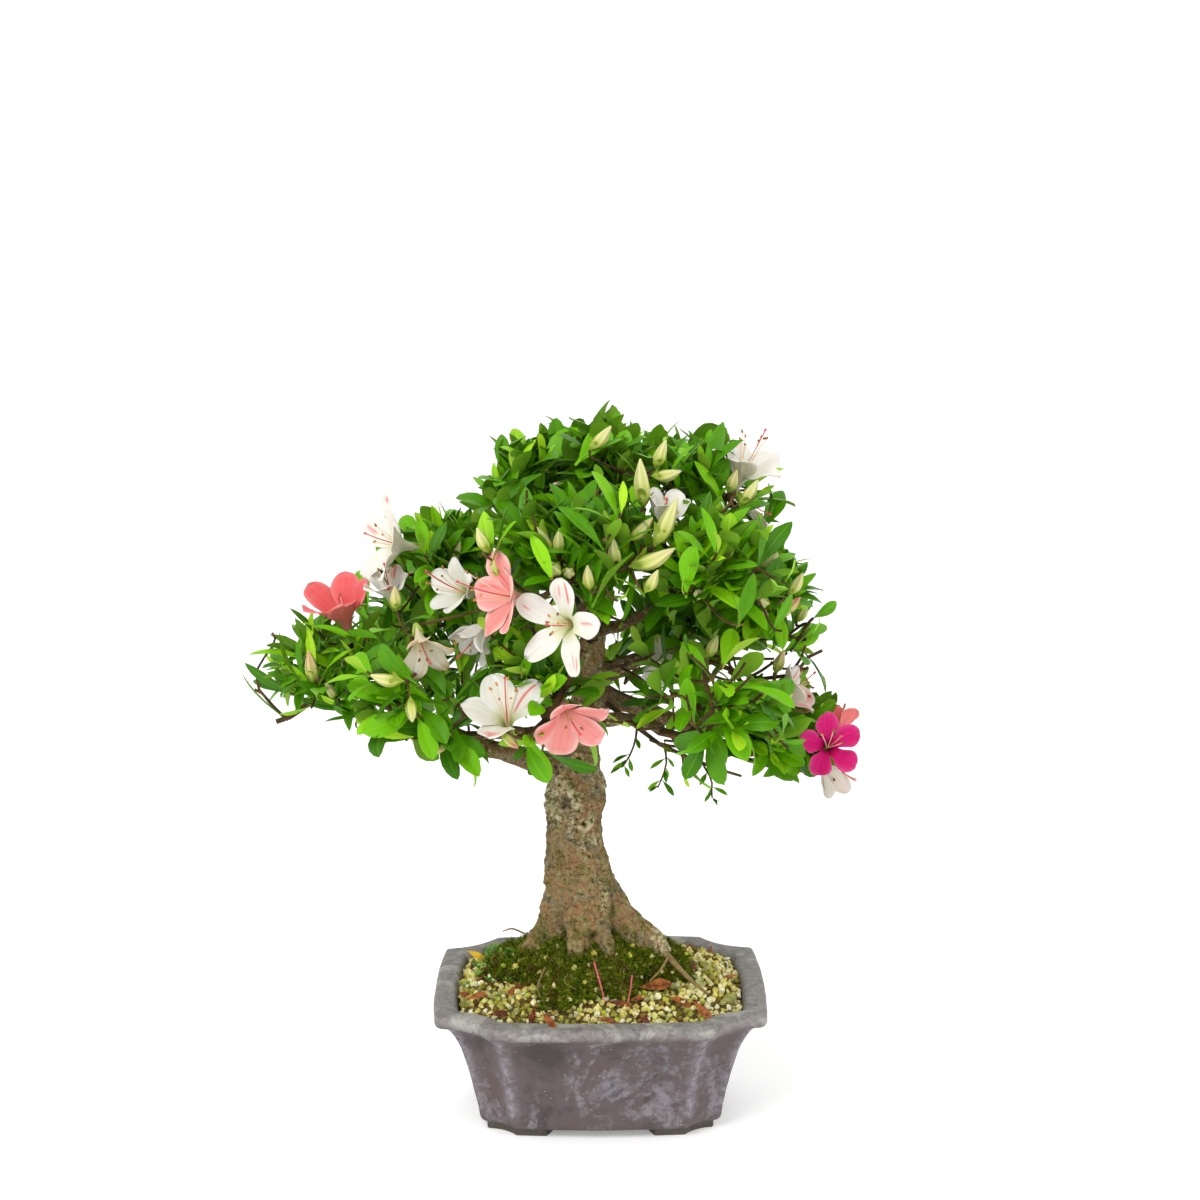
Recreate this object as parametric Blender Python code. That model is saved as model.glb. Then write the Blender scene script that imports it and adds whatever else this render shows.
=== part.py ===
"""Potted azalea bonsai in flower, in metres, +Z up.

An octagonal unglazed pot on four corner feet holds soil and a collar of moss. The trunk stands
on the soil and runs up through the crown. Each bough is one tapering limb, and carries one leafy
mass that keeps to its own space: an ellipsoid cut off halfway to its neighbours. In that space
twigs branch by a seeded rule from one stem, and end in whorls of leaves, buds and flowers.
"""

import itertools
import math
from typing import NamedTuple

import bmesh
import bpy
import numpy as np
from mathutils import Vector

# ---- Clearances ----
GAP = 0.0004  # between pieces that touch
SUNK = 0.001  # how far fused pieces run into each other

# ---- Pot ----
POT_HALF_LENGTH = 0.1042
POT_HALF_DEPTH = 0.0772
POT_HEIGHT = 0.0848
CUT_LENGTH = 0.036  # of a cut corner, along the long side, at the rim
CUT_DEPTH = 0.0224  # the same, along the short side
CUT_SHRINK = 13.5  # share of the cut lost for each metre that an outline is set in
CUT_BITE = 0.0045  # how far a cut corner is hollowed inwards
SIDE_BOW = 0.0030  # how far a side swells outwards
LIP_HEIGHT = 0.0086
LIP_WIDTH = 0.0125
UNDER_LIP = 0.0026  # set-in of the wall just under the lip
WALL_FLARE = 0.0226  # further set-in of the wall at its foot
FLARE_POWER = 0.47
WALL_FOOT = 0.0170  # height where the flare ends and the rounded base starts
FOOT_HEIGHT = 0.005
FOOT_INSET = 0.0304
FOOT_WIDTH = 0.012
FOOT_RUN = 2  # outline steps that a foot runs along each side of its corner
FLOOR_TOP = 0.0125
FLOOR_INSET = 0.0350
SIDE_SHARES = (0.0, 0.16, 0.32, 0.68, 0.84)  # where a side's outline has its points
CUT_SHARES = (0.0, 0.25, 0.5, 0.75)
CORNER_STEPS = len(SIDE_SHARES) + len(CUT_SHARES)

# ---- Soil and moss ----
SOIL_TOP = 0.0915  # of the mound that the trunk stands on
SOIL_EDGE_TOP = 0.0785
SOIL_SLOPE = ((0.006, 0.0850), (0.016, SOIL_TOP))  # from the wall inwards, and the height there
WALL_GAP = 0.0006  # between the soil and the pot's wall
MOSS_RISE = 0.0200
MOSS_REACH = 0.0100

# ---- Trunk ----
TRUNK_FOOT = SOIL_TOP + GAP
FLARE_LEVEL = 0.0795  # height that the flare's stations and roots are measured from
TRUNK_SIDES = 22


class Station(NamedTuple):
    """One level of the trunk: its centre and its half-width."""

    z: float
    x: float
    y: float
    radius: float


TRUNK = (
    Station(FLARE_LEVEL, -0.0030, 0.0000, 0.0340),
    Station(0.0950, -0.0038, 0.0000, 0.0300),
    Station(0.1100, -0.0040, 0.0000, 0.0270),
    Station(0.1250, -0.0060, 0.0000, 0.0240),
    Station(0.1520, -0.0132, 0.0000, 0.0200),
    Station(0.1780, -0.0150, 0.0000, 0.0185),
    Station(0.2040, -0.0157, 0.0000, 0.0180),
    Station(0.2240, -0.0157, 0.0000, 0.0140),
    Station(0.2450, -0.0125, 0.0005, 0.0115),
    Station(0.2750, -0.0060, 0.0010, 0.0090),
    Station(0.3100, -0.0045, 0.0010, 0.0072),
    Station(0.3450, -0.0020, 0.0000, 0.0055),
    Station(0.3720, 0.0040, 0.0000, 0.0036),
)
TRUNK_DEPTH_RATIO = 0.88  # depth over width


class Root(NamedTuple):
    """One buttress of the flare: its bearing, reach, angular half-width and height."""

    bearing: float
    reach: float
    spread: float
    height: float


ROOTS = (
    Root(-8, 0.0270, 20, 0.052),
    Root(188, 0.0260, 22, 0.046),
    Root(-112, 0.0120, 19, 0.042),
    Root(-66, 0.0090, 16, 0.034),
    Root(64, 0.0125, 20, 0.036),
    Root(128, 0.0110, 20, 0.038),
)

# ---- Boughs ----
BOUGH_ROUNDING = 1  # bevel resolution of a limb's section: six sides
BOUGH_STEPS = 5


class Bough(NamedTuple):
    """A tapering limb: the level where it leaves the trunk, its tip, the rise of its middle, its radii."""

    name: str
    level: float
    tip: tuple
    rise: float
    foot_radius: float
    tip_radius: float


BOUGHS = (
    Bough("bough_lower_left", 0.226, (-0.108, -0.010, 0.258), -0.004, 0.0080, 0.0036),
    Bough("bough_left_front", 0.238, (-0.070, -0.050, 0.262), 0.004, 0.0062, 0.0032),
    Bough("bough_left_back", 0.250, (-0.060, 0.046, 0.276), 0.003, 0.0060, 0.0032),
    Bough("bough_upper_left", 0.284, (-0.064, -0.003, 0.334), -0.006, 0.0052, 0.0028),
    Bough("bough_front", 0.254, (-0.029, -0.052, 0.276), 0.003, 0.0052, 0.0030),
    Bough("bough_right_front", 0.250, (0.036, -0.048, 0.264), 0.006, 0.0052, 0.0030),
    Bough("bough_lower_right", 0.272, (0.076, -0.008, 0.242), 0.004, 0.0064, 0.0032),
    Bough("bough_middle_right", 0.284, (0.060, -0.004, 0.302), 0.002, 0.0052, 0.0028),
    Bough("bough_right_back", 0.274, (0.036, 0.046, 0.286), 0.004, 0.0052, 0.0030),
    Bough("bough_back", 0.296, (-0.012, 0.054, 0.320), 0.000, 0.0048, 0.0028),
    Bough("bough_upper_front", 0.306, (-0.010, -0.044, 0.346), -0.004, 0.0044, 0.0026),
    Bough("bough_upper_right", 0.312, (0.036, -0.036, 0.336), -0.002, 0.0042, 0.0026),
    Bough("bough_upper_back", 0.326, (0.010, 0.040, 0.366), -0.004, 0.0040, 0.0024),
)

# ---- Crown ----


class Mass(NamedTuple):
    """A leafy mass: its ellipsoid, the bough or trunk level that it grows from, and its buds."""

    name: str
    centre: tuple
    radii: tuple
    carrier: object
    buds: int


MASSES = (
    Mass("foliage_far_left", (-0.156, -0.015, 0.288), (0.057, 0.060, 0.044), "bough_lower_left", 2),
    Mass("foliage_left_front", (-0.100, -0.076, 0.284), (0.054, 0.052, 0.046), "bough_left_front", 2),
    Mass("foliage_left_back", (-0.094, 0.072, 0.300), (0.060, 0.058, 0.048), "bough_left_back", 1),
    Mass("foliage_upper_left", (-0.098, -0.005, 0.357), (0.048, 0.052, 0.042), "bough_upper_left", 2),
    Mass("foliage_front", (-0.032, -0.092, 0.292), (0.048, 0.046, 0.050), "bough_front", 1),
    Mass("foliage_right_front", (0.062, -0.082, 0.288), (0.052, 0.048, 0.050), "bough_right_front", 1),
    Mass("foliage_far_right", (0.110, -0.012, 0.250), (0.048, 0.054, 0.038), "bough_lower_right", 1),
    Mass("foliage_middle_right", (0.096, -0.005, 0.338), (0.042, 0.052, 0.038), "bough_middle_right", 2),
    Mass("foliage_right_back", (0.064, 0.080, 0.302), (0.058, 0.054, 0.052), "bough_right_back", 1),
    Mass("foliage_back", (-0.016, 0.096, 0.344), (0.056, 0.050, 0.052), "bough_back", 1),
    Mass("foliage_upper_front", (-0.014, -0.086, 0.374), (0.050, 0.046, 0.044), "bough_upper_front", 2),
    Mass("foliage_upper_right", (0.062, -0.074, 0.364), (0.048, 0.044, 0.042), "bough_upper_right", 3),
    Mass("foliage_upper_back", (0.020, 0.072, 0.404), (0.060, 0.052, 0.040), "bough_upper_back", 1),
    Mass("foliage_top_left", (-0.050, -0.004, 0.406), (0.050, 0.052, 0.043), 0.338, 2),
    Mass("foliage_top_right", (0.064, -0.006, 0.402), (0.052, 0.054, 0.043), 0.350, 3),
    Mass("foliage_top", (0.006, -0.006, 0.412), (0.042, 0.050, 0.038), 0.369, 2),
)
SPACE_MARGIN = 0.0005  # that a mass keeps from the halfway plane to its neighbour
OUTLINE_SLACK = 1.15  # leaf tips may pass the ellipsoid by this
TIP_INSET = 0.032  # shoot tips stand this far inside the ellipsoid
SHOOTS = 6  # sites tried around each mass
STEM_RADIUS = 0.0028
STEM_SAG = 0.10  # of a stem from the trunk, over its run
TWIG_RADIUS = 0.0017
TWIG_TIP_RADIUS = 0.0015
MOST_TWIG = 0.070
LEAST_TWIG = 0.008
HEART_DROP = 0.18  # of a stem's end below its mass's centre, over the mass's half-height
ONWARD_RUN = 0.30  # share of a stem that carries straight on from its bough
JOINT_SHARES = (0.15, 0.4, 0.65, 0.9)  # of a twig, where others may branch off
STRAIGHT_ON = 0.35  # how much a joint that keeps the twig's direction is preferred
TWIG_PULL, OUTWARD_PULL, UPWARD_PULL = 0.55, 0.45, 0.25  # that turn a shoot's end
LIMB_CLEARANCE = 0.0008

# ---- Leaves, buds and flowers ----
LEAF_LENGTH = 0.046
LEAF_WIDTH = 0.0155
LEAF_THICKNESS = 0.0012
LEAF_BELLY = 0.56  # where it is widest, from its root
LEAF_SPINE = 0.40  # where it is thickest
LEAF_LIFT = (0.0001, 0.0007)  # of its sides over the line from root to tip
WHORL = 5
WHORL_TOP = 0.0008  # from the shoot's tip to the root of its first leaf
WHORL_STEP = 0.0011  # along the twig, from one leaf's root to the next
LEAF_SUNK = 0.0004  # past the twig's axis
LEAST_SPREAD, MOST_SPREAD = 26, 80  # degrees between a leaf and its shoot, top and bottom of a whorl
SPREAD_PLAY = 7  # degrees, either way
LENGTH_PLAY = (0.92, 1.06)
# Each try at a leaf's place: the share of its length, and its turn about the twig in radians.
LEAF_TRIES = ((1.0, 0.0), (0.95, 0.6), (0.90, -0.6), (0.75, 0.0), (0.75, 1.1), (0.70, -1.1))
GOLDEN_ANGLE = math.radians(137.5)
BUD_LENGTH = 0.023
BUD_WIDTH = 0.0085
BUD_SUNK = 0.003
BUD_LEAST_RISE = -0.2  # a shoot that points lower has no bud
PETALS = 5
PETAL_LENGTH = 0.031
PETAL_OUTLINE = ((0.80, -0.36), (1.0, 0.0), (0.80, 0.36), (0.36, 0.5))  # share of its length, of its sector
TUBE_LENGTH = 0.011
THROAT_DEPTH = 0.0075  # how far the hollow goes down the tube
FLOWER_REACH = 0.031  # of the ball of air that a flower keeps from other masses
OWN_REACH = 0.0192  # the same from its own mass
FLOWER_TWIG_END = 0.004  # how far a flower's twig runs into it
OPENING_PLAY = 5  # degrees, either way
PETAL_PLAY = (0.94, 1.05)


class Flower(NamedTuple):
    """A flower: its mass, the throat, the way it faces and how far its petals open, in degrees."""

    mass: str
    throat: tuple
    facing: tuple
    opening: float


FLOWERS = (
    Flower("foliage_front", (-0.018, -0.116, 0.341), (0.05, -1.0, 0.20), 68),
    Flower("foliage_upper_front", (-0.058, -0.098, 0.356), (-0.85, -0.45, 0.35), 38),
    Flower("foliage_front", (-0.058, -0.103, 0.297), (-0.30, -0.60, 0.75), 50),
    Flower("foliage_front", (-0.013, -0.098, 0.282), (0.05, -0.45, -0.90), 42),
    Flower("foliage_far_left", (-0.153, -0.020, 0.322), (-0.25, 0.10, 0.95), 34),
    Flower("foliage_upper_left", (-0.118, -0.010, 0.368), (-0.95, -0.20, 0.25), 38),
    Flower("foliage_left_front", (-0.106, -0.078, 0.322), (-0.10, -0.75, 0.45), 45),
    Flower("foliage_top_right", (0.088, -0.010, 0.415), (0.50, -0.15, 0.85), 38),
    Flower("foliage_upper_right", (0.037, -0.070, 0.394), (0.00, -0.60, 0.80), 48),
    Flower("foliage_middle_right", (0.121, -0.030, 0.300), (0.75, -0.55, 0.20), 40),
    Flower("foliage_far_right", (0.137, -0.055, 0.255), (0.60, -0.75, 0.05), 55),
    Flower("foliage_far_right", (0.140, -0.020, 0.236), (0.45, 0.10, -0.60), 34),
    Flower("foliage_left_back", (-0.108, 0.106, 0.318), (-0.40, 0.80, 0.40), 50),
    Flower("foliage_back", (-0.020, 0.128, 0.372), (-0.05, 0.85, 0.45), 60),
    Flower("foliage_right_back", (0.092, 0.104, 0.318), (0.50, 0.75, 0.30), 50),
)

# ---- Collections ----
PLANT = "potted_azalea_bonsai"
CUTTERS = "cutters"


# ---- Scene, meshes and materials ----


def clear_scene():
    """Remove every object of the opened file."""
    for thing in list(bpy.data.objects):
        bpy.data.objects.remove(thing, do_unlink=True)


def collection(name):
    """A collection of this name, linked to the scene."""
    made = bpy.data.collections.new(name)
    bpy.context.scene.collection.children.link(made)
    return made


def finish(name, colour, roughness, metallic=0.0):
    """A Principled material."""
    material = bpy.data.materials.new(name)
    material.use_nodes = True
    shader = material.node_tree.nodes["Principled BSDF"]
    shader.inputs["Base Color"].default_value = (*colour, 1.0)
    shader.inputs["Roughness"].default_value = roughness
    shader.inputs["Metallic"].default_value = metallic
    return material


def unit(vector):
    """The vector at length one, as an array."""
    vector = np.asarray(vector, float)
    return vector / np.linalg.norm(vector)


def object_from(name, points, faces, home, material=None):
    """A mesh object with its faces turned outwards."""
    mesh = bpy.data.meshes.new(name)
    mesh.from_pydata([tuple(map(float, p)) for p in points], [], faces)
    work = bmesh.new()
    work.from_mesh(mesh)
    bmesh.ops.recalc_face_normals(work, faces=work.faces)
    work.to_mesh(mesh)
    work.free()
    thing = bpy.data.objects.new(name, mesh)
    home.objects.link(thing)
    if material:
        mesh.materials.append(material)
    return thing


def loft_faces(rings, around, closed=False):
    """Faces that join each ring to the next, with both ends capped or the last joined to the first."""
    faces = []
    for ring in range(rings if closed else rings - 1):
        low, high = ring * around, (ring + 1) % rings * around
        for step in range(around):
            after = (step + 1) % around
            faces.append((low + step, low + after, high + after, high + step))
    if not closed:
        faces.append(tuple(reversed(range(around))))
        faces.append(tuple(range((rings - 1) * around, rings * around)))
    return faces


def loft(name, rings, home, material=None, closed=False):
    """A closed solid through rings of equal point count."""
    points = [point for ring in rings for point in ring]
    return object_from(name, points, loft_faces(len(rings), len(rings[0]), closed), home, material)


def shade_round(thing, degrees=40):
    """Smooth shading with the edges sharper than this angle kept."""
    thing.data.shade_smooth()
    thing.data.set_sharp_from_angle(angle=math.radians(degrees))


def boolean(thing, operation, home=None, other=None):
    """A live Boolean with one object or with all of a collection."""
    modifier = thing.modifiers.new(operation.lower(), "BOOLEAN")
    modifier.operation = operation
    if home:
        modifier.operand_type = "COLLECTION"
        modifier.collection = home
    else:
        modifier.object = other
    modifier.solver = "EXACT"
    return modifier


def applied(thing):
    """Replace the object's mesh by its evaluated one and drop its modifiers."""
    graph = bpy.context.evaluated_depsgraph_get()
    mesh = bpy.data.meshes.new_from_object(thing.evaluated_get(graph))
    thing.modifiers.clear()
    thing.data = mesh
    return thing


# ---- Pot ----


def outline(inset, z):
    """The pot's plan at a height, set in from the rim all round: bowed sides and hollowed corners."""
    half_x = POT_HALF_LENGTH - inset
    half_y = POT_HALF_DEPTH - inset
    cut_x = CUT_LENGTH * (1 - CUT_SHRINK * inset)
    cut_y = CUT_DEPTH * (1 - CUT_SHRINK * inset)
    side_x, side_y = half_x - SIDE_BOW, half_y - SIDE_BOW
    corners = (
        (-half_x + cut_x, -side_y),
        (half_x - cut_x, -side_y),
        (side_x, -half_y + cut_y),
        (side_x, half_y - cut_y),
        (half_x - cut_x, side_y),
        (-half_x + cut_x, side_y),
        (-side_x, half_y - cut_y),
        (-side_x, -half_y + cut_y),
    )
    points = []
    for index, start in enumerate(corners):
        end = corners[(index + 1) % len(corners)]
        is_side = index % 2 == 0
        bulge = SIDE_BOW if is_side else -CUT_BITE * (1 - CUT_SHRINK * inset)
        run = Vector((end[0] - start[0], end[1] - start[1], 0))
        outwards = Vector((run.y, -run.x, 0)).normalized()
        for share in SIDE_SHARES if is_side else CUT_SHARES:
            swell = bulge * (1 - (2 * share - 1) ** 2)
            points.append(Vector((*start, z)) + run * share + outwards * swell)
    return points


def wall_inset(z):
    """How far the outer wall stands in from the rim at a height between its foot and the lip."""
    wall_top = POT_HEIGHT - LIP_HEIGHT
    share = (wall_top - z) / (wall_top - WALL_FOOT)
    return UNDER_LIP + WALL_FLARE * share**FLARE_POWER


def inner_wall(share):
    """Inset and height of the inner wall, from the floor at 0 to the rounded rim at 1."""
    top_inset, top_z = LIP_WIDTH + 0.0012, POT_HEIGHT - 0.0014
    return FLOOR_INSET + (top_inset - FLOOR_INSET) * share, FLOOR_TOP + (top_z - FLOOR_TOP) * share


def pot_feet(home):
    """Four feet that each wrap a cut corner of the base."""
    around = 4 * CORNER_STEPS
    for corner in range(4):
        first_cut = corner * CORNER_STEPS + len(SIDE_SHARES)
        span = range(first_cut - FOOT_RUN, first_cut + len(CUT_SHARES) + FOOT_RUN + 1)
        rings = []
        for z in (0.0, FOOT_HEIGHT + SUNK):
            outer = outline(FOOT_INSET, z)
            inner = outline(FOOT_INSET + FOOT_WIDTH, z)
            strip = [outer[i % around] for i in span] + [inner[i % around] for i in reversed(span)]
            rings.append(strip)
        loft(f"foot_{corner}", rings, home)


def build_pot(home):
    """The pot: feet, rounded base, hollow flare, rounded lip and inner wall, as one solid."""
    wall_top = POT_HEIGHT - LIP_HEIGHT
    flare = [WALL_FOOT + (wall_top - WALL_FOOT) * s for s in (0.0, 0.38, 0.70, 0.92)]
    profile = [(FOOT_INSET - 0.0008, FOOT_HEIGHT), (0.0274, FOOT_HEIGHT + 0.0016)]
    profile += [(0.0258, FOOT_HEIGHT + 0.0050)]
    profile += [(wall_inset(z), z) for z in flare]
    profile += [(0.0026, wall_top), (0.0006, wall_top + 0.0018), (0.0, POT_HEIGHT - 0.0036)]
    profile += [(0.0010, POT_HEIGHT - 0.0010), (0.0038, POT_HEIGHT), (LIP_WIDTH - 0.0010, POT_HEIGHT)]
    profile += [inner_wall(1.0), inner_wall(0.0)]
    clay = finish("clay_grey", (0.115, 0.097, 0.100), 0.85)
    pot = loft("pot", [outline(inset, z) for inset, z in profile], home, clay)
    feet = collection("feet")
    pot_feet(feet)
    boolean(pot, "UNION", home=feet)
    applied(pot)
    drop(feet)
    shade_round(pot)
    return pot


def drop(home):
    """Remove a collection and all its objects."""
    for thing in list(home.objects):
        bpy.data.objects.remove(thing, do_unlink=True)
    bpy.data.collections.remove(home)


# ---- Soil and moss ----


def build_soil(home):
    """The soil that fills the pot, mounded up to a level top under the trunk."""
    low_inset, low_z = inner_wall(0.0)
    share = (SOIL_EDGE_TOP - FLOOR_TOP) / (inner_wall(1.0)[1] - FLOOR_TOP)
    edge_inset = inner_wall(share)[0]
    profile = (
        (low_inset + WALL_GAP, low_z + GAP),
        (edge_inset + WALL_GAP, SOIL_EDGE_TOP),
    )
    profile += tuple((edge_inset + inwards, height) for inwards, height in SOIL_SLOPE)
    soil = loft("soil", [outline(inset, z) for inset, z in profile], home)
    soil.data.materials.append(finish("soil_granules", (0.55, 0.50, 0.25), 0.95))
    return soil


def trunk_levels():
    """Ring heights of the trunk, close together over the root flare."""
    flare = [TRUNK_FOOT + h for h in (0.0, 0.0065, 0.013, MOSS_RISE, 0.031, 0.045)]
    above = list(np.linspace(0.152, TRUNK[-1].z, 10))
    return flare + above


def trunk_centre(z):
    """The trunk's axis at a height."""
    heights = [s.z for s in TRUNK]
    x = float(np.interp(z, heights, [s.x for s in TRUNK]))
    y = float(np.interp(z, heights, [s.y for s in TRUNK]))
    return np.array((x, y, z))


def trunk_radius(z):
    """The trunk's half-width at a height, without its roots."""
    return float(np.interp(z, [s.z for s in TRUNK], [s.radius for s in TRUNK]))


def turned(a, b):
    """The smaller angle between two bearings in degrees."""
    return abs((a - b + 180) % 360 - 180)


def trunk_ring(z, grow=0.0):
    """The trunk's outline at a height, grown outwards by a clearance."""
    centre = trunk_centre(z)
    ring = []
    for step in range(TRUNK_SIDES):
        bearing = 360 * step / TRUNK_SIDES
        reach = trunk_radius(z)
        for root in ROOTS:
            lobe = math.exp(-((turned(bearing, root.bearing) / root.spread) ** 2))
            reach += root.reach * lobe * math.exp(-(((z - FLARE_LEVEL) / root.height) ** 2))
        reach += grow
        angle = math.radians(bearing)
        offset = np.array((math.cos(angle), TRUNK_DEPTH_RATIO * math.sin(angle), 0.0))
        if grow:
            offset[1] = offset[1] * (reach - grow) / reach + math.sin(angle) * grow / reach
        ring.append(centre + reach * offset)
    return ring


def build_trunk(home):
    """The trunk, from its flat foot on the soil through the flare to its tip in the crown."""
    bark = finish("bark", (0.23, 0.17, 0.10), 0.9)
    trunk = loft("trunk", [trunk_ring(z) for z in trunk_levels()], home, bark)
    shade_round(trunk, 60)
    return trunk


def build_trunk_clearance(cutters):
    """The trunk grown by the gap, which boughs and stems are cut back to."""
    levels = trunk_levels()
    levels[0] -= GAP
    levels[-1] += GAP
    grown = loft("trunk_clearance", [trunk_ring(z, GAP) for z in levels], cutters)
    grown.hide_render = True
    grown.display_type = "WIRE"
    return grown


def build_moss(home):
    """A collar of moss on the soil, round the foot of the trunk and clear of it."""
    inner_levels = [z for z in trunk_levels() if z <= TRUNK_FOOT + MOSS_RISE]
    rings = [trunk_ring(z, GAP) for z in inner_levels]
    foot = trunk_ring(TRUNK_FOOT)
    centre = trunk_centre(TRUNK_FOOT)
    for reach, rise in ((0.30, 0.90), (0.66, 0.55), (1.0, 0.16), (1.0, 0.0)):
        ring = []
        for point in foot:
            outwards = unit(point - centre)
            out = point + outwards * MOSS_REACH * reach
            ring.append((out[0], out[1], TRUNK_FOOT + MOSS_RISE * rise))
        rings.append(ring)
    moss = loft("moss_mound", rings, home, finish("moss", (0.06, 0.11, 0.02), 0.95), closed=True)
    shade_round(moss)
    return moss


# ---- Boughs ----


def bough_path(bough):
    """Points along the bough's axis, from the trunk's axis to the tip, on one smooth bend."""
    foot = trunk_centre(bough.level)
    tip = np.array(bough.tip)
    middle = (foot + tip) / 2 + np.array((0.0, 0.0, bough.rise))
    shares = np.linspace(0.0, 1.0, BOUGH_STEPS + 1)[:, None]
    bend = 2 * middle - (foot + tip) / 2
    return (1 - shares) ** 2 * foot + 2 * shares * (1 - shares) * bend + shares**2 * tip


def bough_radii(bough):
    """The bough's radius at each of its points."""
    return np.linspace(bough.foot_radius, bough.tip_radius, BOUGH_STEPS + 1)


def build_bough(bough, home, clearance, bark):
    """One tapering limb, cut back to the trunk."""
    curve = bpy.data.curves.new(bough.name, "CURVE")
    curve.dimensions = "3D"
    curve.bevel_depth = 1.0
    curve.bevel_resolution = BOUGH_ROUNDING
    curve.use_fill_caps = True
    spline = curve.splines.new("POLY")
    path = bough_path(bough)
    spline.points.add(len(path) - 1)
    for place, point, radius in zip(spline.points, path, bough_radii(bough)):
        place.co = (*point, 1.0)
        place.radius = radius
    guide = bpy.data.objects.new(bough.name + "_line", curve)
    home.objects.link(guide)
    graph = bpy.context.evaluated_depsgraph_get()
    mesh = bpy.data.meshes.new_from_object(guide.evaluated_get(graph))
    bpy.data.objects.remove(guide, do_unlink=True)
    work = bmesh.new()
    work.from_mesh(mesh)
    bmesh.ops.remove_doubles(work, verts=work.verts, dist=1e-5)
    bmesh.ops.recalc_face_normals(work, faces=work.faces)
    work.to_mesh(mesh)
    work.free()
    limb = bpy.data.objects.new(bough.name, mesh)
    mesh.materials.clear()
    mesh.materials.append(bark)
    home.objects.link(limb)
    boolean(limb, "DIFFERENCE", other=clearance)
    applied(limb)
    shade_round(limb, 60)
    return limb


# ---- The space of each mass ----

CENTRES = np.array([mass.centre for mass in MASSES])
WEIGHTS = np.array([np.prod(mass.radii) ** (2 / 3) for mass in MASSES])


def room(index, points):
    """How far inside the halfway planes to its neighbours a mass's points are, least of all."""
    points = np.atleast_2d(points)
    power = ((points[:, None, :] - CENTRES[None]) ** 2).sum(axis=2) - WEIGHTS[None]
    apart = np.linalg.norm(CENTRES - CENTRES[index], axis=1)
    apart[index] = 1.0
    margin = (power - power[:, [index]]) / (2 * apart)
    margin[:, index] = np.inf
    return margin.min()


def within(mass, points, slack):
    """Whether all the points are inside the mass's ellipsoid, grown by the slack."""
    scaled = (np.atleast_2d(points) - np.array(mass.centre)) / (np.array(mass.radii) * slack)
    return bool(((scaled**2).sum(axis=1) <= 1.0).all())


def limb_segments():
    """Every straight piece of trunk and boughs as (start, end, radius)."""
    segments = []
    levels = trunk_levels()
    for low, high in zip(levels, levels[1:]):
        segments.append((trunk_centre(low), trunk_centre(high), trunk_radius(low)))
    for bough in BOUGHS:
        path, radii = bough_path(bough), bough_radii(bough)
        for step in range(BOUGH_STEPS):
            segments.append((path[step], path[step + 1], radii[step]))
    return segments


def segment_distance(a, b, c, d):
    """The least distance between the segments ab and cd, read at even steps along ab."""
    shares = np.linspace(0.0, 1.0, 9)[:, None]
    points = a + shares * (b - a)
    along = np.clip(((points - c) @ (d - c)) / ((d - c) @ (d - c)), 0.0, 1.0)[:, None]
    return float(np.linalg.norm(points - (c + along * (d - c)), axis=1).min())


LIMBS = limb_segments()


def clear_of_limbs(a, b, thickness):
    """Whether a straight piece of this half-thickness keeps clear of every limb."""
    for start, end, radius in LIMBS:
        if segment_distance(a, b, start, end) < radius + thickness + LIMB_CLEARANCE:
            return False
    return True


def clear_of_flowers(index, points):
    """Whether the points keep out of the air around every other mass's flowers, and most of its own."""
    for flower in FLOWERS:
        own = flower.mass == MASSES[index].name
        middle = np.array(flower.throat) + unit(flower.facing) * TUBE_LENGTH
        reach = OWN_REACH if own else FLOWER_REACH + SPACE_MARGIN
        if (np.linalg.norm(np.atleast_2d(points) - middle, axis=1) < reach).any():
            return False
    return True


# ---- Small pieces of a mass ----


def across(direction, turn=0.0):
    """Two unit vectors square to a direction and to each other, turned about it."""
    direction = unit(direction)
    helper = np.array((0.0, 0.0, 1.0)) if abs(direction[2]) < 0.9 else np.array((1.0, 0.0, 0.0))
    first = unit(np.cross(helper, direction))
    second = np.cross(direction, first)
    cosine, sine = math.cos(turn), math.sin(turn)
    return cosine * first + sine * second, cosine * second - sine * first


def blade(name, corners, face, thickness, lift, home):
    """A six-faced leaf from its root, tip and two sides: arched along its length, thickest by its root."""
    root, tip, left, right = corners
    direction = unit(tip - root)
    normal = unit(np.cross(np.cross(direction, face), direction))
    sides = (left + normal * lift, right + normal * lift)
    height = lift * LEAF_SPINE / LEAF_BELLY + thickness
    spine = root + LEAF_SPINE * (tip - root) + normal * height
    faces = [(0, 2, 4), (2, 1, 4), (1, 3, 4), (3, 0, 4), (0, 3, 2), (1, 2, 3)]
    return object_from(name, (root, tip, *sides, spine), faces, home)


def blade_points(root, direction, face, length, width, belly):
    """The root, tip and two sides of a blade."""
    direction = unit(direction)
    side = unit(np.cross(direction, face))
    widest = root + direction * length * belly
    return np.array((root, root + direction * length, widest + side * width / 2, widest - side * width / 2))


def spindle(name, root, direction, length, width, home):
    """An eight-faced bud."""
    first, second = across(direction)
    direction = unit(direction)
    middle = root + direction * length / 2
    ring = [middle + v * width / 2 for v in (first, second, -first, -second)]
    points = [root, *ring, root + direction * length]
    faces = [(0, 1, 2), (0, 2, 3), (0, 3, 4), (0, 4, 1), (5, 2, 1), (5, 3, 2), (5, 4, 3), (5, 1, 4)]
    return object_from(name, points, faces, home)


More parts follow.
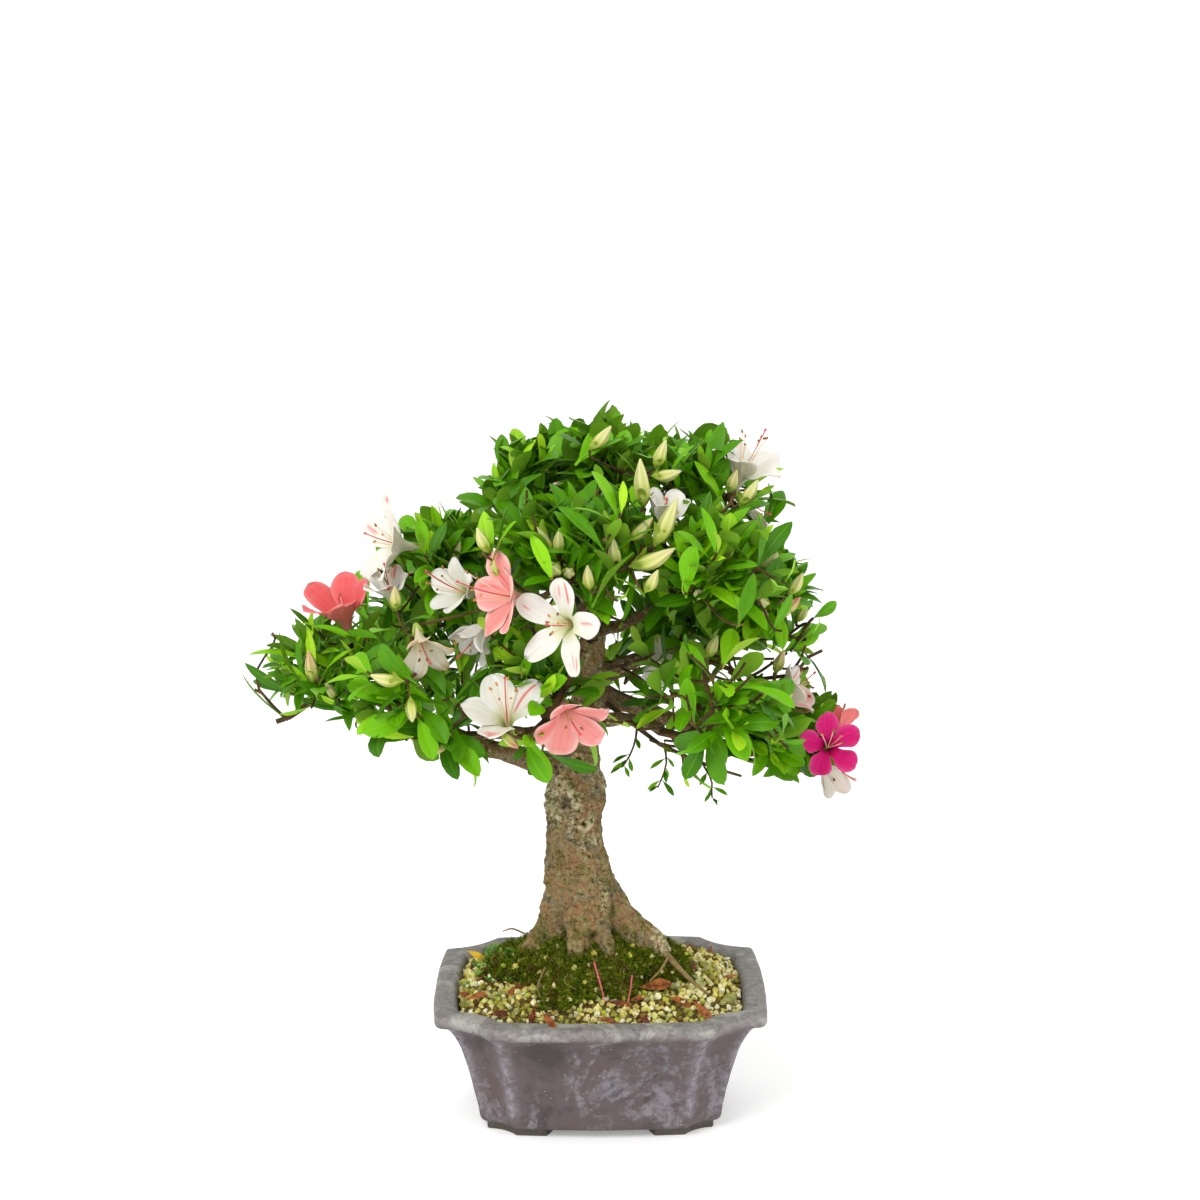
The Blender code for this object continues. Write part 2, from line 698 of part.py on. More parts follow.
def rod(name, path, radii, home):
    """A three-sided tapering twig along a path."""
    rings = []
    for step, (point, radius) in enumerate(zip(path, radii)):
        direction = unit(path[min(step + 1, len(path) - 1)] - path[max(step - 1, 0)])
        first, second = across(direction)
        ring = []
        for corner in range(3):
            angle = 2 * math.pi * corner / 3
            ring.append(point + radius * (math.cos(angle) * first + math.sin(angle) * second))
        rings.append(ring)
    return loft(name, rings, home)


# ---- Growing a mass ----


def stem_path(mass):
    """The stem's axis from its carrier to the heart of the mass, and whether it starts inside the trunk."""
    heart = np.array(mass.centre) - np.array((0.0, 0.0, HEART_DROP * mass.radii[2]))
    if isinstance(mass.carrier, float):
        start = trunk_centre(mass.carrier)
        sag = np.array((0.0, 0.0, STEM_SAG * np.linalg.norm((heart - start)[:2])))
        middle = start + 0.5 * (heart - start) - sag
        return np.array((start, middle, heart)), True
    bough = next(b for b in BOUGHS if b.name == mass.carrier)
    path = bough_path(bough)
    onwards = unit(path[-1] - path[-2])
    start = path[-1] + onwards * GAP
    onward_run = ONWARD_RUN * np.linalg.norm(heart - start)
    return np.array((start, start + onwards * onward_run, heart)), False


def shoot_sites(index, rng):
    """Seeded, evenly spread places for shoot tips, a little inside the mass's outline."""
    mass = MASSES[index]
    radii = np.array(mass.radii)
    turn = rng.uniform(0, 2 * math.pi)
    sites = []
    for number in range(SHOOTS):
        height = 1 - 2 * (number + 0.5) / SHOOTS
        level = math.sqrt(1 - height * height)
        angle = turn + number * GOLDEN_ANGLE
        out = np.array((level * math.cos(angle), level * math.sin(angle), height))
        point = np.array(mass.centre) + out * (radii - TIP_INSET)
        outwards = unit(out / radii)
        if room(index, point) > TWIG_TIP_RADIUS + SPACE_MARGIN:
            sites.append((point, outwards))
    return sites


def best_joint(target, skeleton):
    """The place on the twigs already grown where one to the target branches off most naturally."""
    best, best_cost = None, np.inf
    for a, b in skeleton:
        for share in JOINT_SHARES:
            joint = a + share * (b - a)
            run = target - joint
            length = np.linalg.norm(run)
            if length < LEAST_TWIG:
                continue
            cost = length * (1 + STRAIGHT_ON * (1 - float(unit(run) @ unit(b - a))))
            if cost < best_cost:
                best, best_cost = joint, cost
    return best


def crosses(blades, twigs, corners):
    """Whether a blade passes through one of these blades or twigs, or one of the blades through it."""
    mine = np.array([corners])
    if twigs and pierces(np.array(twigs), mine):
        return True
    if not blades:
        return False
    others = np.array(blades)
    return pierces(blade_edges(mine), others) or pierces(blade_edges(others), mine)


def blade_edges(blades):
    """The outline and spine of each blade, as (start, end)."""
    ends = ((0, 1), (0, 2), (0, 3), (1, 2), (1, 3))
    return np.array([(blade[a], blade[b]) for blade in blades for a, b in ends])


def pierces(lines, blades):
    """Whether any of the straight lines passes through either half of any of the blades."""
    halves = np.array([(blade[0], blade[1], blade[side]) for blade in blades for side in (2, 3)])
    run = (lines[:, 1] - lines[:, 0])[:, None]
    corner = halves[None, :, 0]
    one = halves[None, :, 1] - corner
    two = halves[None, :, 2] - corner
    across_run = np.cross(run, two)
    facing = (one * across_run).sum(axis=2)
    facing = np.where(np.abs(facing) < 1e-15, np.inf, facing)
    off = lines[:, None, 0] - corner
    across_off = np.cross(off, one)
    along_one = (off * across_run).sum(axis=2) / facing
    along_two = (run * across_off).sum(axis=2) / facing
    along_run = (two * across_off).sum(axis=2) / facing
    inside = (along_one > 0) & (along_two > 0) & (along_one + along_two < 1)
    return bool((inside & (along_run > 0) & (along_run < 1)).any())


def grow_whorl(index, tip, axis, rng, grown, twigs, home, counter):
    """A whorl of leaves round a shoot tip. A leaf that finds no place in the space is skipped."""
    mass = MASSES[index]
    axis = unit(axis)
    turn = rng.uniform(0, 2 * math.pi)
    others = [twig for twig in twigs if np.linalg.norm(twig[1] - tip) > WHORL_STEP]
    for number in range(WHORL):
        bearing = turn + number * GOLDEN_ANGLE
        opening = LEAST_SPREAD + (MOST_SPREAD - LEAST_SPREAD) * number / (WHORL - 1)
        for shortening, swing in LEAF_TRIES:
            spread = math.radians(opening + rng.uniform(-SPREAD_PLAY, SPREAD_PLAY))
            length = LEAF_LENGTH * shortening * rng.uniform(*LENGTH_PLAY)
            lift = rng.uniform(*LEAF_LIFT)
            radial, _ = across(axis, bearing + swing)
            direction = math.cos(spread) * axis + math.sin(spread) * radial
            face = math.cos(spread) * radial - math.sin(spread) * axis
            root = tip - axis * (WHORL_TOP + WHORL_STEP * number) - direction * LEAF_SUNK
            points = blade_points(root, direction, face, length, LEAF_WIDTH, LEAF_BELLY)
            keeps = room(index, points) > SPACE_MARGIN + lift
            keeps = keeps and within(mass, points[1:2], OUTLINE_SLACK)
            keeps = keeps and clear_of_flowers(index, points[1:])
            keeps = keeps and not crosses(grown, others, points)
            half = lift + LEAF_THICKNESS / 2
            keeps = keeps and all(clear_of_limbs(points[0], point, half) for point in points[1:])
            if keeps:
                grown.append(points)
                blade(f"leaf_{next(counter)}", points, -face, LEAF_THICKNESS, lift, home)
                break


def grow_twig(index, joint, tip, home, counter):
    """A twig from a joint to a tip, or nothing where it would leave the space or touch a limb."""
    steps = np.linspace(0.0, 1.0, 5)[:, None]
    points = joint + steps * (tip - joint)
    if room(index, points) < TWIG_RADIUS + SPACE_MARGIN or not clear_of_flowers(index, points[1:]):
        return False
    if np.linalg.norm(tip - joint) > MOST_TWIG or not clear_of_limbs(joint, tip, TWIG_RADIUS):
        return False
    rod(f"twig_{next(counter)}", np.array((joint, tip)), (TWIG_RADIUS, TWIG_TIP_RADIUS), home)
    return True


def flower_points(flower, rng):
    """A funnel of five lobes: its root, its hollow throat, and round its rim each lobe's outline."""
    facing = unit(flower.facing)
    first, second = across(facing, rng.uniform(0, 2 * math.pi))
    root = np.array(flower.throat) - facing * TUBE_LENGTH
    rim = []
    for lobe in range(PETALS):
        opening = math.radians(flower.opening + rng.uniform(-OPENING_PLAY, OPENING_PLAY))
        length = PETAL_LENGTH * rng.uniform(*PETAL_PLAY)
        for share, turn in PETAL_OUTLINE:
            angle = 2 * math.pi * (lobe + turn) / PETALS
            out = math.cos(angle) * first + math.sin(angle) * second
            run = math.cos(opening) * facing + math.sin(opening) * out
            rim.append(np.array(flower.throat) + run * length * share)
    hollow = np.array(flower.throat) - facing * THROAT_DEPTH
    return root, hollow, rim


def grow_flower(flower, skeleton, rng, grown, home, counter):
    """A flower on its own twig, whose two ends are returned."""
    facing = unit(flower.facing)
    root, hollow, rim = flower_points(flower, rng)
    joint = best_joint(root, skeleton)
    path = np.array((joint, root + facing * FLOWER_TWIG_END))
    rod(f"twig_{next(counter)}", path, (TWIG_RADIUS, TWIG_TIP_RADIUS), home)
    faces = []
    for step in range(len(rim)):
        here, after = 2 + step, 2 + (step + 1) % len(rim)
        faces += [(1, here, after), (0, after, here)]
        if step % len(PETAL_OUTLINE) == 1:
            grown.append(np.array((hollow, rim[step], rim[step - 1], rim[(step + 1) % len(rim)])))
    object_from(f"flower_{next(counter)}", [root, hollow, *rim], faces, home)
    return joint, root


def largest_shell(thing):
    """Keep only the outer shell of a fused mass: loose scraps go, and sealed hollows are filled."""
    work = bmesh.new()
    work.from_mesh(thing.data)
    left = set(work.verts)
    shells = []
    while left:
        shell, edge = set(), [left.pop()]
        while edge:
            vertex = edge.pop()
            shell.add(vertex)
            for link in vertex.link_edges:
                other = link.other_vert(vertex)
                if other in left:
                    left.discard(other)
                    edge.append(other)
        shells.append(shell)
    shells.sort(key=len)
    for shell in shells[:-1]:
        bmesh.ops.delete(work, geom=list(shell), context="VERTS")
    work.to_mesh(thing.data)
    work.free()


def build_mass(index, home, clearance, leaf_finish):
    """Grow one mass in its own space and fuse it into one solid."""
    mass = MASSES[index]
    rng = np.random.default_rng(100 + index)
    pieces = collection("pieces_" + mass.name)
    counter = itertools.count()
    path, from_trunk = stem_path(mass)
    stem = rod(mass.name, path, (STEM_RADIUS, STEM_RADIUS * 0.8, TWIG_TIP_RADIUS), home)
    if from_trunk:
        boolean(stem, "DIFFERENCE", other=clearance)
        applied(stem)
    skeleton = [(path[0] + 0.5 * (path[1] - path[0]), path[1]), (path[1], path[2])]
    grown = []
    for flower in FLOWERS:
        if flower.mass == mass.name:
            skeleton.append(grow_flower(flower, skeleton, rng, grown, pieces, counter))
    sites = sorted(shoot_sites(index, rng), key=lambda site: np.linalg.norm(site[0] - path[1]))
    shoots = [(path[2], unit(path[2] - path[1]))]
    buds_left = mass.buds
    for tip, outwards in sites:
        joint = best_joint(tip, skeleton)
        if joint is None or not grow_twig(index, joint, tip, pieces, counter):
            continue
        skeleton.append((joint, tip))
        axis = TWIG_PULL * unit(tip - joint) + OUTWARD_PULL * outwards + np.array((0.0, 0.0, UPWARD_PULL))
        axis = unit(axis)
        if buds_left and outwards[2] > BUD_LEAST_RISE:
            start = tip - axis * BUD_SUNK
            bud_tip = start + axis * BUD_LENGTH
            if room(index, bud_tip) > BUD_WIDTH / 2 and clear_of_flowers(index, bud_tip):
                spindle(f"bud_{next(counter)}", start, axis, BUD_LENGTH, BUD_WIDTH, pieces)
                buds_left -= 1
        shoots.append((tip, axis))
    for tip, axis in shoots:
        grow_whorl(index, tip, axis, rng, grown, skeleton, pieces, counter)
    boolean(stem, "UNION", home=pieces)
    applied(stem)
    drop(pieces)
    largest_shell(stem)
    stem.data.materials.clear()
    stem.data.materials.append(leaf_finish)
    return stem


# ---- The whole plant ----


def centre_on_origin(home):
    """Move every piece so that the plant stands on z = 0 with its box's centre over the origin."""
    nodes = list(home.objects)
    corners = np.array([v.co for node in nodes for v in node.data.vertices])
    low, high = corners.min(axis=0), corners.max(axis=0)
    shift = Vector((-(low[0] + high[0]) / 2, -(low[1] + high[1]) / 2, -low[2]))
    for node in nodes:
        for vertex in node.data.vertices:
            vertex.co += shift


def main():
    """Build the pot, its filling, the limbs and the crown."""
    clear_scene()
    home = collection(PLANT)
    cutters = collection(CUTTERS)
    build_pot(home)
    build_soil(home)
    build_moss(home)
    build_trunk(home)
    clearance = build_trunk_clearance(cutters)
    bark = finish("twig_bark", (0.15, 0.10, 0.06), 0.9)
    for bough in BOUGHS:
        build_bough(bough, home, clearance, bark)
    leaves = finish("leaf_green", (0.07, 0.25, 0.03), 0.35)
    for index in range(len(MASSES)):
        build_mass(index, home, clearance, leaves)
    bpy.data.objects.remove(clearance, do_unlink=True)
    centre_on_origin(home)


main()
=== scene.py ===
"""Potted azalea bonsai in flower: the looks of every piece, round the fixed frame.

Sizes are in metres and +Z is up. Everything is modelled round the middle of the pot's plan, and a
finished mesh is carried from there to the pot's place in the frame. The classes run from the
ground up: studio, pot, trunk, boughs, soil, moss, litter, blossom, leaves, buds and crown.
"""

import itertools
import logging
import math
from dataclasses import dataclass, field
from enum import Enum
from typing import NamedTuple, Sequence

import bpy
import numpy as np
from bpy.types import Material, NodeSocket, Object
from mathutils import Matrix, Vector


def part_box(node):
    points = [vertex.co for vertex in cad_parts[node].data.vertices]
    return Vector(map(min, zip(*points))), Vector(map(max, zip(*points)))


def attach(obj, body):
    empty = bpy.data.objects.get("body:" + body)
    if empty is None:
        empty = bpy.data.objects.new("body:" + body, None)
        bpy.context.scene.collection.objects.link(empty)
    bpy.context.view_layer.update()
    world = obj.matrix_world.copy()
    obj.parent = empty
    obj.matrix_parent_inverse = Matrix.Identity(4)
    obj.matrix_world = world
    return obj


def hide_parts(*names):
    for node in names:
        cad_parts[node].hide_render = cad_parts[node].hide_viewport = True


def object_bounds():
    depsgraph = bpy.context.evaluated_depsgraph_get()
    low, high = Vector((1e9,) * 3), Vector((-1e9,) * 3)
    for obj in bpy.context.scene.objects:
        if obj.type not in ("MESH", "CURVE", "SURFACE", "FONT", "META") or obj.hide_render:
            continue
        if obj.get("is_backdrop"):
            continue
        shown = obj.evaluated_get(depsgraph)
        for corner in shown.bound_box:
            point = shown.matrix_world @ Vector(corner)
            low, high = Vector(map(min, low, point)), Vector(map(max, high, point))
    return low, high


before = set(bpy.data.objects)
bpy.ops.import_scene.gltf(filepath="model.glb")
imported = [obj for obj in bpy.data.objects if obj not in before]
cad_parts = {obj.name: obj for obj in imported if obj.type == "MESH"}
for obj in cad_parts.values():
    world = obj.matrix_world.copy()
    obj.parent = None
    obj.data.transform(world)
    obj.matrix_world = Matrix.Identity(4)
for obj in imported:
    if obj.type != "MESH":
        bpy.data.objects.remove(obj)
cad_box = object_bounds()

LOG = logging.getLogger("potted_azalea")
BODY = "root"
POT_LOW, POT_HIGH = (np.array(corner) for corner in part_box("pot"))
HOME = np.array((*(POT_LOW + POT_HIGH)[:2] / 2, 0.0))
GOLDEN_ANGLE = math.radians(137.5)
TURN = 2 * math.pi
UP = np.array((0.0, 0.0, 1.0))
LEVEL = np.array((1.0, 1.0, 0.0))
Array = np.ndarray
Place = Sequence[float]


# ---- Small sums ----


def tone(*screen: float) -> tuple:
    """A colour named by its screen values, 0 to 255, as the shaders read it."""
    share = np.array(screen) / 255
    return (*map(float, np.where(share <= 0.04045, share / 12.92, ((share + 0.055) / 1.055) ** 2.4)), 1.0)


def unit(vectors: Array) -> Array:
    """The vectors at length one."""
    vectors = np.asarray(vectors, float)
    return vectors / np.maximum(np.linalg.norm(vectors, axis=-1, keepdims=True), 1e-12)


def hump(distance: Array, width: float) -> Array:
    """A smooth bell of height one at distance zero."""
    return np.exp(-((distance / width) ** 2))


def ease(value: Array, low: float, high: float) -> Array:
    """A smooth step from 0 at `low` to 1 at `high`."""
    share = np.clip((value - low) / (high - low), 0.0, 1.0)
    return share * share * (3 - 2 * share)


def bearing_gap(a: Array, b: float) -> Array:
    """The smaller angle between bearings, in degrees."""
    return np.abs((a - b + 180) % 360 - 180)


def across(way: Array) -> tuple[Array, Array]:
    """Two unit vectors square to a direction and to each other.

    Args:
        way: One direction, or an array of them.

    Returns:
        The two, in the same form.
    """
    way = unit(way)
    helper = np.where(np.abs(way[..., 2:]) < 0.9, UP, np.array((1.0, 0.0, 0.0)))
    first = unit(np.cross(helper, way))
    return first, np.cross(way, first)


def spokes(first: Array, second: Array, sides: int) -> Array:
    """Unit vectors all round an axis, from two that are square to it."""
    turn = TURN * np.arange(sides) / sides
    return np.cos(turn)[:, None] * first + np.sin(turn)[:, None] * second


def arc(start: Array, bend: Array, end: Array, share: Array) -> Array:
    """Points at shares of a curve that leaves its start towards the bend."""
    return (1 - share) ** 2 * start + 2 * share * (1 - share) * bend + share**2 * end


def through(marks: Sequence[Place], shares: Array) -> Array:
    """Points at shares of the way along straight lines through some marks."""
    knots, marks = np.linspace(0.0, 1.0, len(marks)), np.array(marks)
    return np.stack([np.interp(shares, knots, marks[:, axis]) for axis in range(3)], axis=-1)


def lattice(rows: int, around: int, wrap: bool = True) -> Array:
    """Quads that join each row of points to the next.

    Args:
        rows: How many rows there are.
        around: Points in a row.
        wrap: Whether a row's last point joins its first.

    Returns:
        The quads, facing outwards where the rows rise and run anticlockwise.
    """
    row, step = np.meshgrid(np.arange(rows - 1), np.arange(around if wrap else around - 1), indexing="ij")
    low, after = row * around, (step + 1) % around
    quads = (low + step, low + after, low + around + after, low + around + step)
    return np.stack(quads, axis=-1).reshape(-1, 4)


def fan(ring: Array, middle: int, upwards: bool) -> Array:
    """Triangles that close a ring of point numbers onto a middle point."""
    pair = (ring, np.roll(ring, -1)) if upwards else (np.roll(ring, -1), ring)
    return np.stack((*pair, np.full(len(ring), middle)), axis=-1)


def closed(rows: int, around: int, outwards: bool = True) -> tuple[Array, Array]:
    """The faces of a stack of rings whose two ends close on two more points.

    Args:
        rows: How many rings there are.
        around: Points in a ring.
        outwards: False where the rings run clockwise.

    Returns:
        The quads, and the triangles of both ends.
    """
    quads, ring, last = lattice(rows, around), np.arange(around), rows * around
    caps = np.concatenate((fan(ring, last, not outwards), fan(ring + last - around, last + 1, outwards)))
    return (quads if outwards else quads[:, ::-1]), caps


def capped(rings: Array) -> Array:
    """The points of a stack of rings, then the middles of its first and last."""
    return np.vstack((rings.reshape(-1, 3), rings[0].mean(axis=0), rings[-1].mean(axis=0)))


class Relief:
    """Smooth seeded noise in space, from about -1 to 1."""

    CELLS = 32

    def __init__(self, seed: int) -> None:
        """Draw the values that the noise runs between."""
        self.table = np.random.default_rng(seed).uniform(-1.0, 1.0, (self.CELLS,) * 3)

    def at(self, points: Array, size: object) -> Array:
        """The noise at some points.

        Args:
            points: Places in metres, the last axis x, y and z.
            size: Width of its features, one number or one for each axis.

        Returns:
            One value for each point.
        """
        place = points / np.asarray(size, float)
        cell = np.floor(place).astype(int)
        part = place - cell
        part = part * part * (3 - 2 * part)
        total = np.zeros(place.shape[:-1])
        for corner in itertools.product((0, 1), repeat=3):
            weight = np.where(corner, part, 1 - part).prod(axis=-1)
            spot = (cell + corner) % self.CELLS
            total += weight * self.table[spot[..., 0], spot[..., 1], spot[..., 2]]
        return total

    def layered(self, points: Array, size: object, layers: int = 4, fade: float = 0.5) -> Array:
        """Noise with finer noise on it: each layer is half as wide as the last, and `fade` as high."""
        size = np.asarray(size, float)
        return sum(self.at(points + 0.37 * step, size / 2**step) * fade**step for step in range(layers))

    def shifts(self, points: Array, size: float, layers: int = 1) -> Array:
        """A small random vector at each point."""
        return np.stack([self.layered(points + axis, size, layers) for axis in range(3)], axis=-1)


# ---- Meshes ----


class Shape:
    """Points and faces gathered for one mesh, with values kept on the points."""

    def __init__(self) -> None:
        """Start with nothing."""
        self.points: list[Array] = []
        self.faces: dict[int, list[Array]] = {3: [], 4: []}
        self.slots: dict[int, list[Array]] = {3: [], 4: []}
        self.values: dict[str, list[Array]] = {}
        self.count = 0

    def add(self, points: Array, *faces: Array, slot: object = 0, **values: object) -> None:
        """Take in one form: its points in any stack of rows, and the rest as for copies."""
        self.copies(np.asarray(points, float).reshape(1, -1, 3), *faces, slot=slot, **values)

    def copies(self, points: Array, *faces: Array, slot: object = 0, **values: object) -> None:
        """Take in many copies of one form.

        Args:
            points: The points of every copy, as (copies, points, 3).
            faces: Arrays of triangles or of quads that number the points of one copy from 0.
            slot: The material slot of the faces, or a list with an array of slots for each group.
            values: A number or an array of numbers for the points, kept under its name.
        """
        many, size = points.shape[:2]
        starts = (np.arange(many) * size)[:, None, None]
        for number, group in enumerate(faces):
            chosen = slot[number] if isinstance(slot, list) else slot
            sides = group.shape[1]
            self.faces[sides].append((group[None] + starts).reshape(-1, sides) + self.count)
            self.slots[sides].append(np.tile(np.broadcast_to(chosen, (len(group),)), many))
        for name, value in values.items():
            self.values.setdefault(name, []).append(np.broadcast_to(value, (many * size,)))
        self.points.append(points.reshape(-1, 3))
        self.count += many * size

    def made(self, name: str, *finishes: Material, sharp: float = 60.0) -> Object:
        """The finished mesh as an object at the origin, with its place in its mesh.

        Args:
            name: The object's name.
            finishes: One material for each slot.
            sharp: Edges sharper than this many degrees stay crisp.

        Returns:
            The new object.
        """
        mesh = bpy.data.meshes.new(name)
        points = np.concatenate(self.points) + HOME
        mesh.vertices.add(len(points))
        mesh.vertices.foreach_set("co", points.astype(np.float32).ravel())
        corners, starts, slots, place = [], [], [], 0
        for sides in (3, 4):
            if self.faces[sides]:
                group = np.concatenate(self.faces[sides])
                corners.append(group.ravel())
                starts.append(place + np.arange(len(group)) * sides)
                slots.append(np.concatenate(self.slots[sides]))
                place += group.size
        corners, starts, slots = (np.concatenate(part).astype(np.int32) for part in (corners, starts, slots))
        mesh.loops.add(len(corners))
        mesh.loops.foreach_set("vertex_index", corners)
        mesh.polygons.add(len(starts))
        mesh.polygons.foreach_set("loop_start", starts)
        mesh.polygons.foreach_set("material_index", slots)
        for key, parts in self.values.items():
            layer = mesh.attributes.new(key, "FLOAT", "POINT")
            layer.data.foreach_set("value", np.concatenate(parts).astype(np.float32))
        mesh.update(calc_edges=True)
        mesh.validate()
        for finish in finishes:
            mesh.materials.append(finish)
        mesh.shade_smooth()
        mesh.set_sharp_from_angle(angle=math.radians(sharp))
        return placed(name, mesh)


def placed(name: str, data: bpy.types.ID) -> Object:
    """A new object in the scene.

    Args:
        name: Its name.
        data: Its mesh, camera or light.

    Returns:
        The object.
    """
    made = bpy.data.objects.new(name, data)
    bpy.context.scene.collection.objects.link(made)
    return made


def tubes(shape: Shape, paths: Array, radii: Array, sides: int, slot: int = 0) -> None:
    """Round limbs along paths, closed at both ends.

    Args:
        shape: Where they go.
        paths: The axes, as (tubes, points, 3).
        radii: The half-widths, as (tubes, points).
        sides: Sides of each.
        slot: Their material slot.
    """
    many, steps = paths.shape[:2]
    run = unit(np.gradient(paths, axis=1))
    chord = unit(paths[:, -1] - paths[:, 0])[:, None]
    helper = np.where(np.abs(chord[..., 2:]) < 0.8, UP, np.array((1.0, 0.0, 0.0)))
    first = unit(np.cross(np.broadcast_to(helper, run.shape), run))
    second = np.cross(run, first)
    out = spokes(first[:, :, None], second[:, :, None], sides)
    rings = paths[:, :, None] + radii[:, :, None, None] * out
    points = np.concatenate((rings.reshape(many, -1, 3), paths[:, :1], paths[:, -1:]), axis=1)
    shape.copies(points, *closed(steps, sides), slot=slot)


def settle(piece: Object, slot: str, *nodes: str) -> None:
    """Hand a finished piece to the frame.

    Args:
        piece: The piece.
        slot: Not used.
        nodes: The nodes that it stands for.
    """
    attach(piece, BODY)
    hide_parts(*nodes)
    LOG.info("%s: %d faces", piece.name, len(piece.data.polygons))


# ---- Node trees ----


class Tree:
    """A node tree whose nodes are fed as they are made."""

    def __init__(self, tree: bpy.types.NodeTree, prefix: str = "") -> None:
        """Start from a tree, and from what its nodes' types begin with."""
        self.tree = tree
        self.prefix = prefix

    def put(self, value: object, socket: NodeSocket) -> None:
        """Feed a socket with another or with a constant.

        Args:
            value: The other socket, or the constant.
            socket: What it goes into.
        """
        if isinstance(value, NodeSocket):
            self.tree.links.new(value, socket)
        else:
            socket.default_value = value

    def node(self, kind: str, out: object, feeds: dict, **settings: object) -> NodeSocket:
        """A new node.

        Args:
            kind: Its type, after the prefix.
            out: The name or number of the output wanted.
            feeds: Sockets or constants for its inputs, by name or number.
            settings: Its other settings.

        Returns:
            That output.
        """
        made = self.tree.nodes.new(self.prefix + kind)
        for key, value in settings.items():
            setattr(made, key, value)
        for key, value in feeds.items():
            self.put(value, made.inputs[key])
        return made.outputs[out]


class Board(Tree):
    """A material's nodes, wired to its one shader."""

    def __init__(self, name: str, **constants: float) -> None:
        """Make the material.

        Args:
            name: The material's name.
            constants: Values of the shader's own sockets, with _ for a space.
        """
        self.material = bpy.data.materials.new(name)
        self.material.use_nodes = True
        super().__init__(self.material.node_tree, "ShaderNode")
        self.shader = self.tree.nodes["Principled BSDF"]
        for key, value in constants.items():
            self.shader.inputs[key.replace("_", " ").title().replace("Ior", "IOR")].default_value = value

    def place(self, stretch: Place = (1.0, 1.0, 1.0)) -> NodeSocket:
        """Object coordinates, multiplied on each axis.

        Args:
            stretch: What each axis is multiplied by.

        Returns:
            The coordinates.
        """
        return self.node(
            "Mapping", "Vector", {"Scale": stretch, "Vector": self.node("TexCoord", "Object", {})},
        )

    def noise(
        self, size: float, detail: float = 3.0, rough: float = 0.5, bend: float = 0.0, flat: float = 1.0
    ) -> NodeSocket:
        """Noise with features of about this size in metres, `flat` times as fine upwards."""
        feeds = {"Vector": self.place((1.0, 1.0, flat)), "Scale": 1 / size, "Detail": detail}
        return self.node("TexNoise", "Fac", {**feeds, "Roughness": rough, "Distortion": bend})

    def cells(self, size: float) -> NodeSocket:
        """Distance to the nearest of many scattered points about this far apart."""
        return self.node("TexVoronoi", "Distance", {"Vector": self.place(), "Scale": 1 / size})

    def kept(self, name: str) -> NodeSocket:
        """A value kept on the mesh's points."""
        return self.node("Attribute", "Fac", {}, attribute_name=name)

    def span(
        self, value: object, low: float, high: float, start: float = 0.0, end: float = 1.0,
    ) -> NodeSocket:
        """The value's run from low to high, as one from start to end."""
        feeds = {"Value": value, "From Min": low, "From Max": high, "To Min": start, "To Max": end}
        return self.node("MapRange", "Result", feeds, interpolation_type="SMOOTHSTEP")

    def sum(self, first: object, second: object, how: str = "ADD") -> NodeSocket:
        """Two values put together."""
        return self.node("Math", 0, {0: first, 1: second}, operation=how)

    def times(self, first: object, second: object) -> NodeSocket:
        """Two values multiplied."""
        return self.sum(first, second, "MULTIPLY")

    def ramp(self, value: object, *stops: tuple) -> NodeSocket:
        """A colour read from stops.

        Args:
            value: What is read.
            stops: Pairs of a value and its colour.

        Returns:
            The colour.
        """
        colour = self.node("ValToRGB", "Color", {"Fac": value})
        marks = colour.node.color_ramp.elements
        while len(marks) < len(stops):
            marks.new(0.5)
        for mark, (where, shade) in zip(marks, stops):
            mark.position = where
            mark.color = shade
        return colour

    def blend(self, share: object, first: object, second: object) -> NodeSocket:
        """Two colours mixed, by the share of the second."""
        return self.node("Mix", 2, {"Factor": share, 6: first, 7: second}, data_type="RGBA")

    def patch(
        self, value: object, low: float, high: float, share: float, first: object, second: object,
    ) -> NodeSocket:
        """The first colour, with up to a share of the second where a value runs from low to high."""
        return self.blend(self.span(value, low, high, 0.0, share), first, second)

    def bump(self, *layers: tuple) -> None:
        """Relief on the shader, from pairs of a height and its depth in metres.

        Args:
            layers: The pairs, each laid over the last.
        """
        feeds = {}
        for height, depth in layers:
            feeds["Normal"] = self.node("Bump", "Normal", {"Distance": depth, "Height": height, **feeds})
        self.put(feeds["Normal"], self.shader.inputs["Normal"])

    def dressed(self, colour: object, rough: object = None) -> Material:
        """Set the shader's colour and, where one is given, its roughness.

        Args:
            colour: A colour or a socket.
            rough: A socket, or nothing.

        Returns:
            The material.
        """
        self.put(colour, self.shader.inputs["Base Color"])
        if rough is not None:
            self.put(rough, self.shader.inputs["Roughness"])
        return self.material


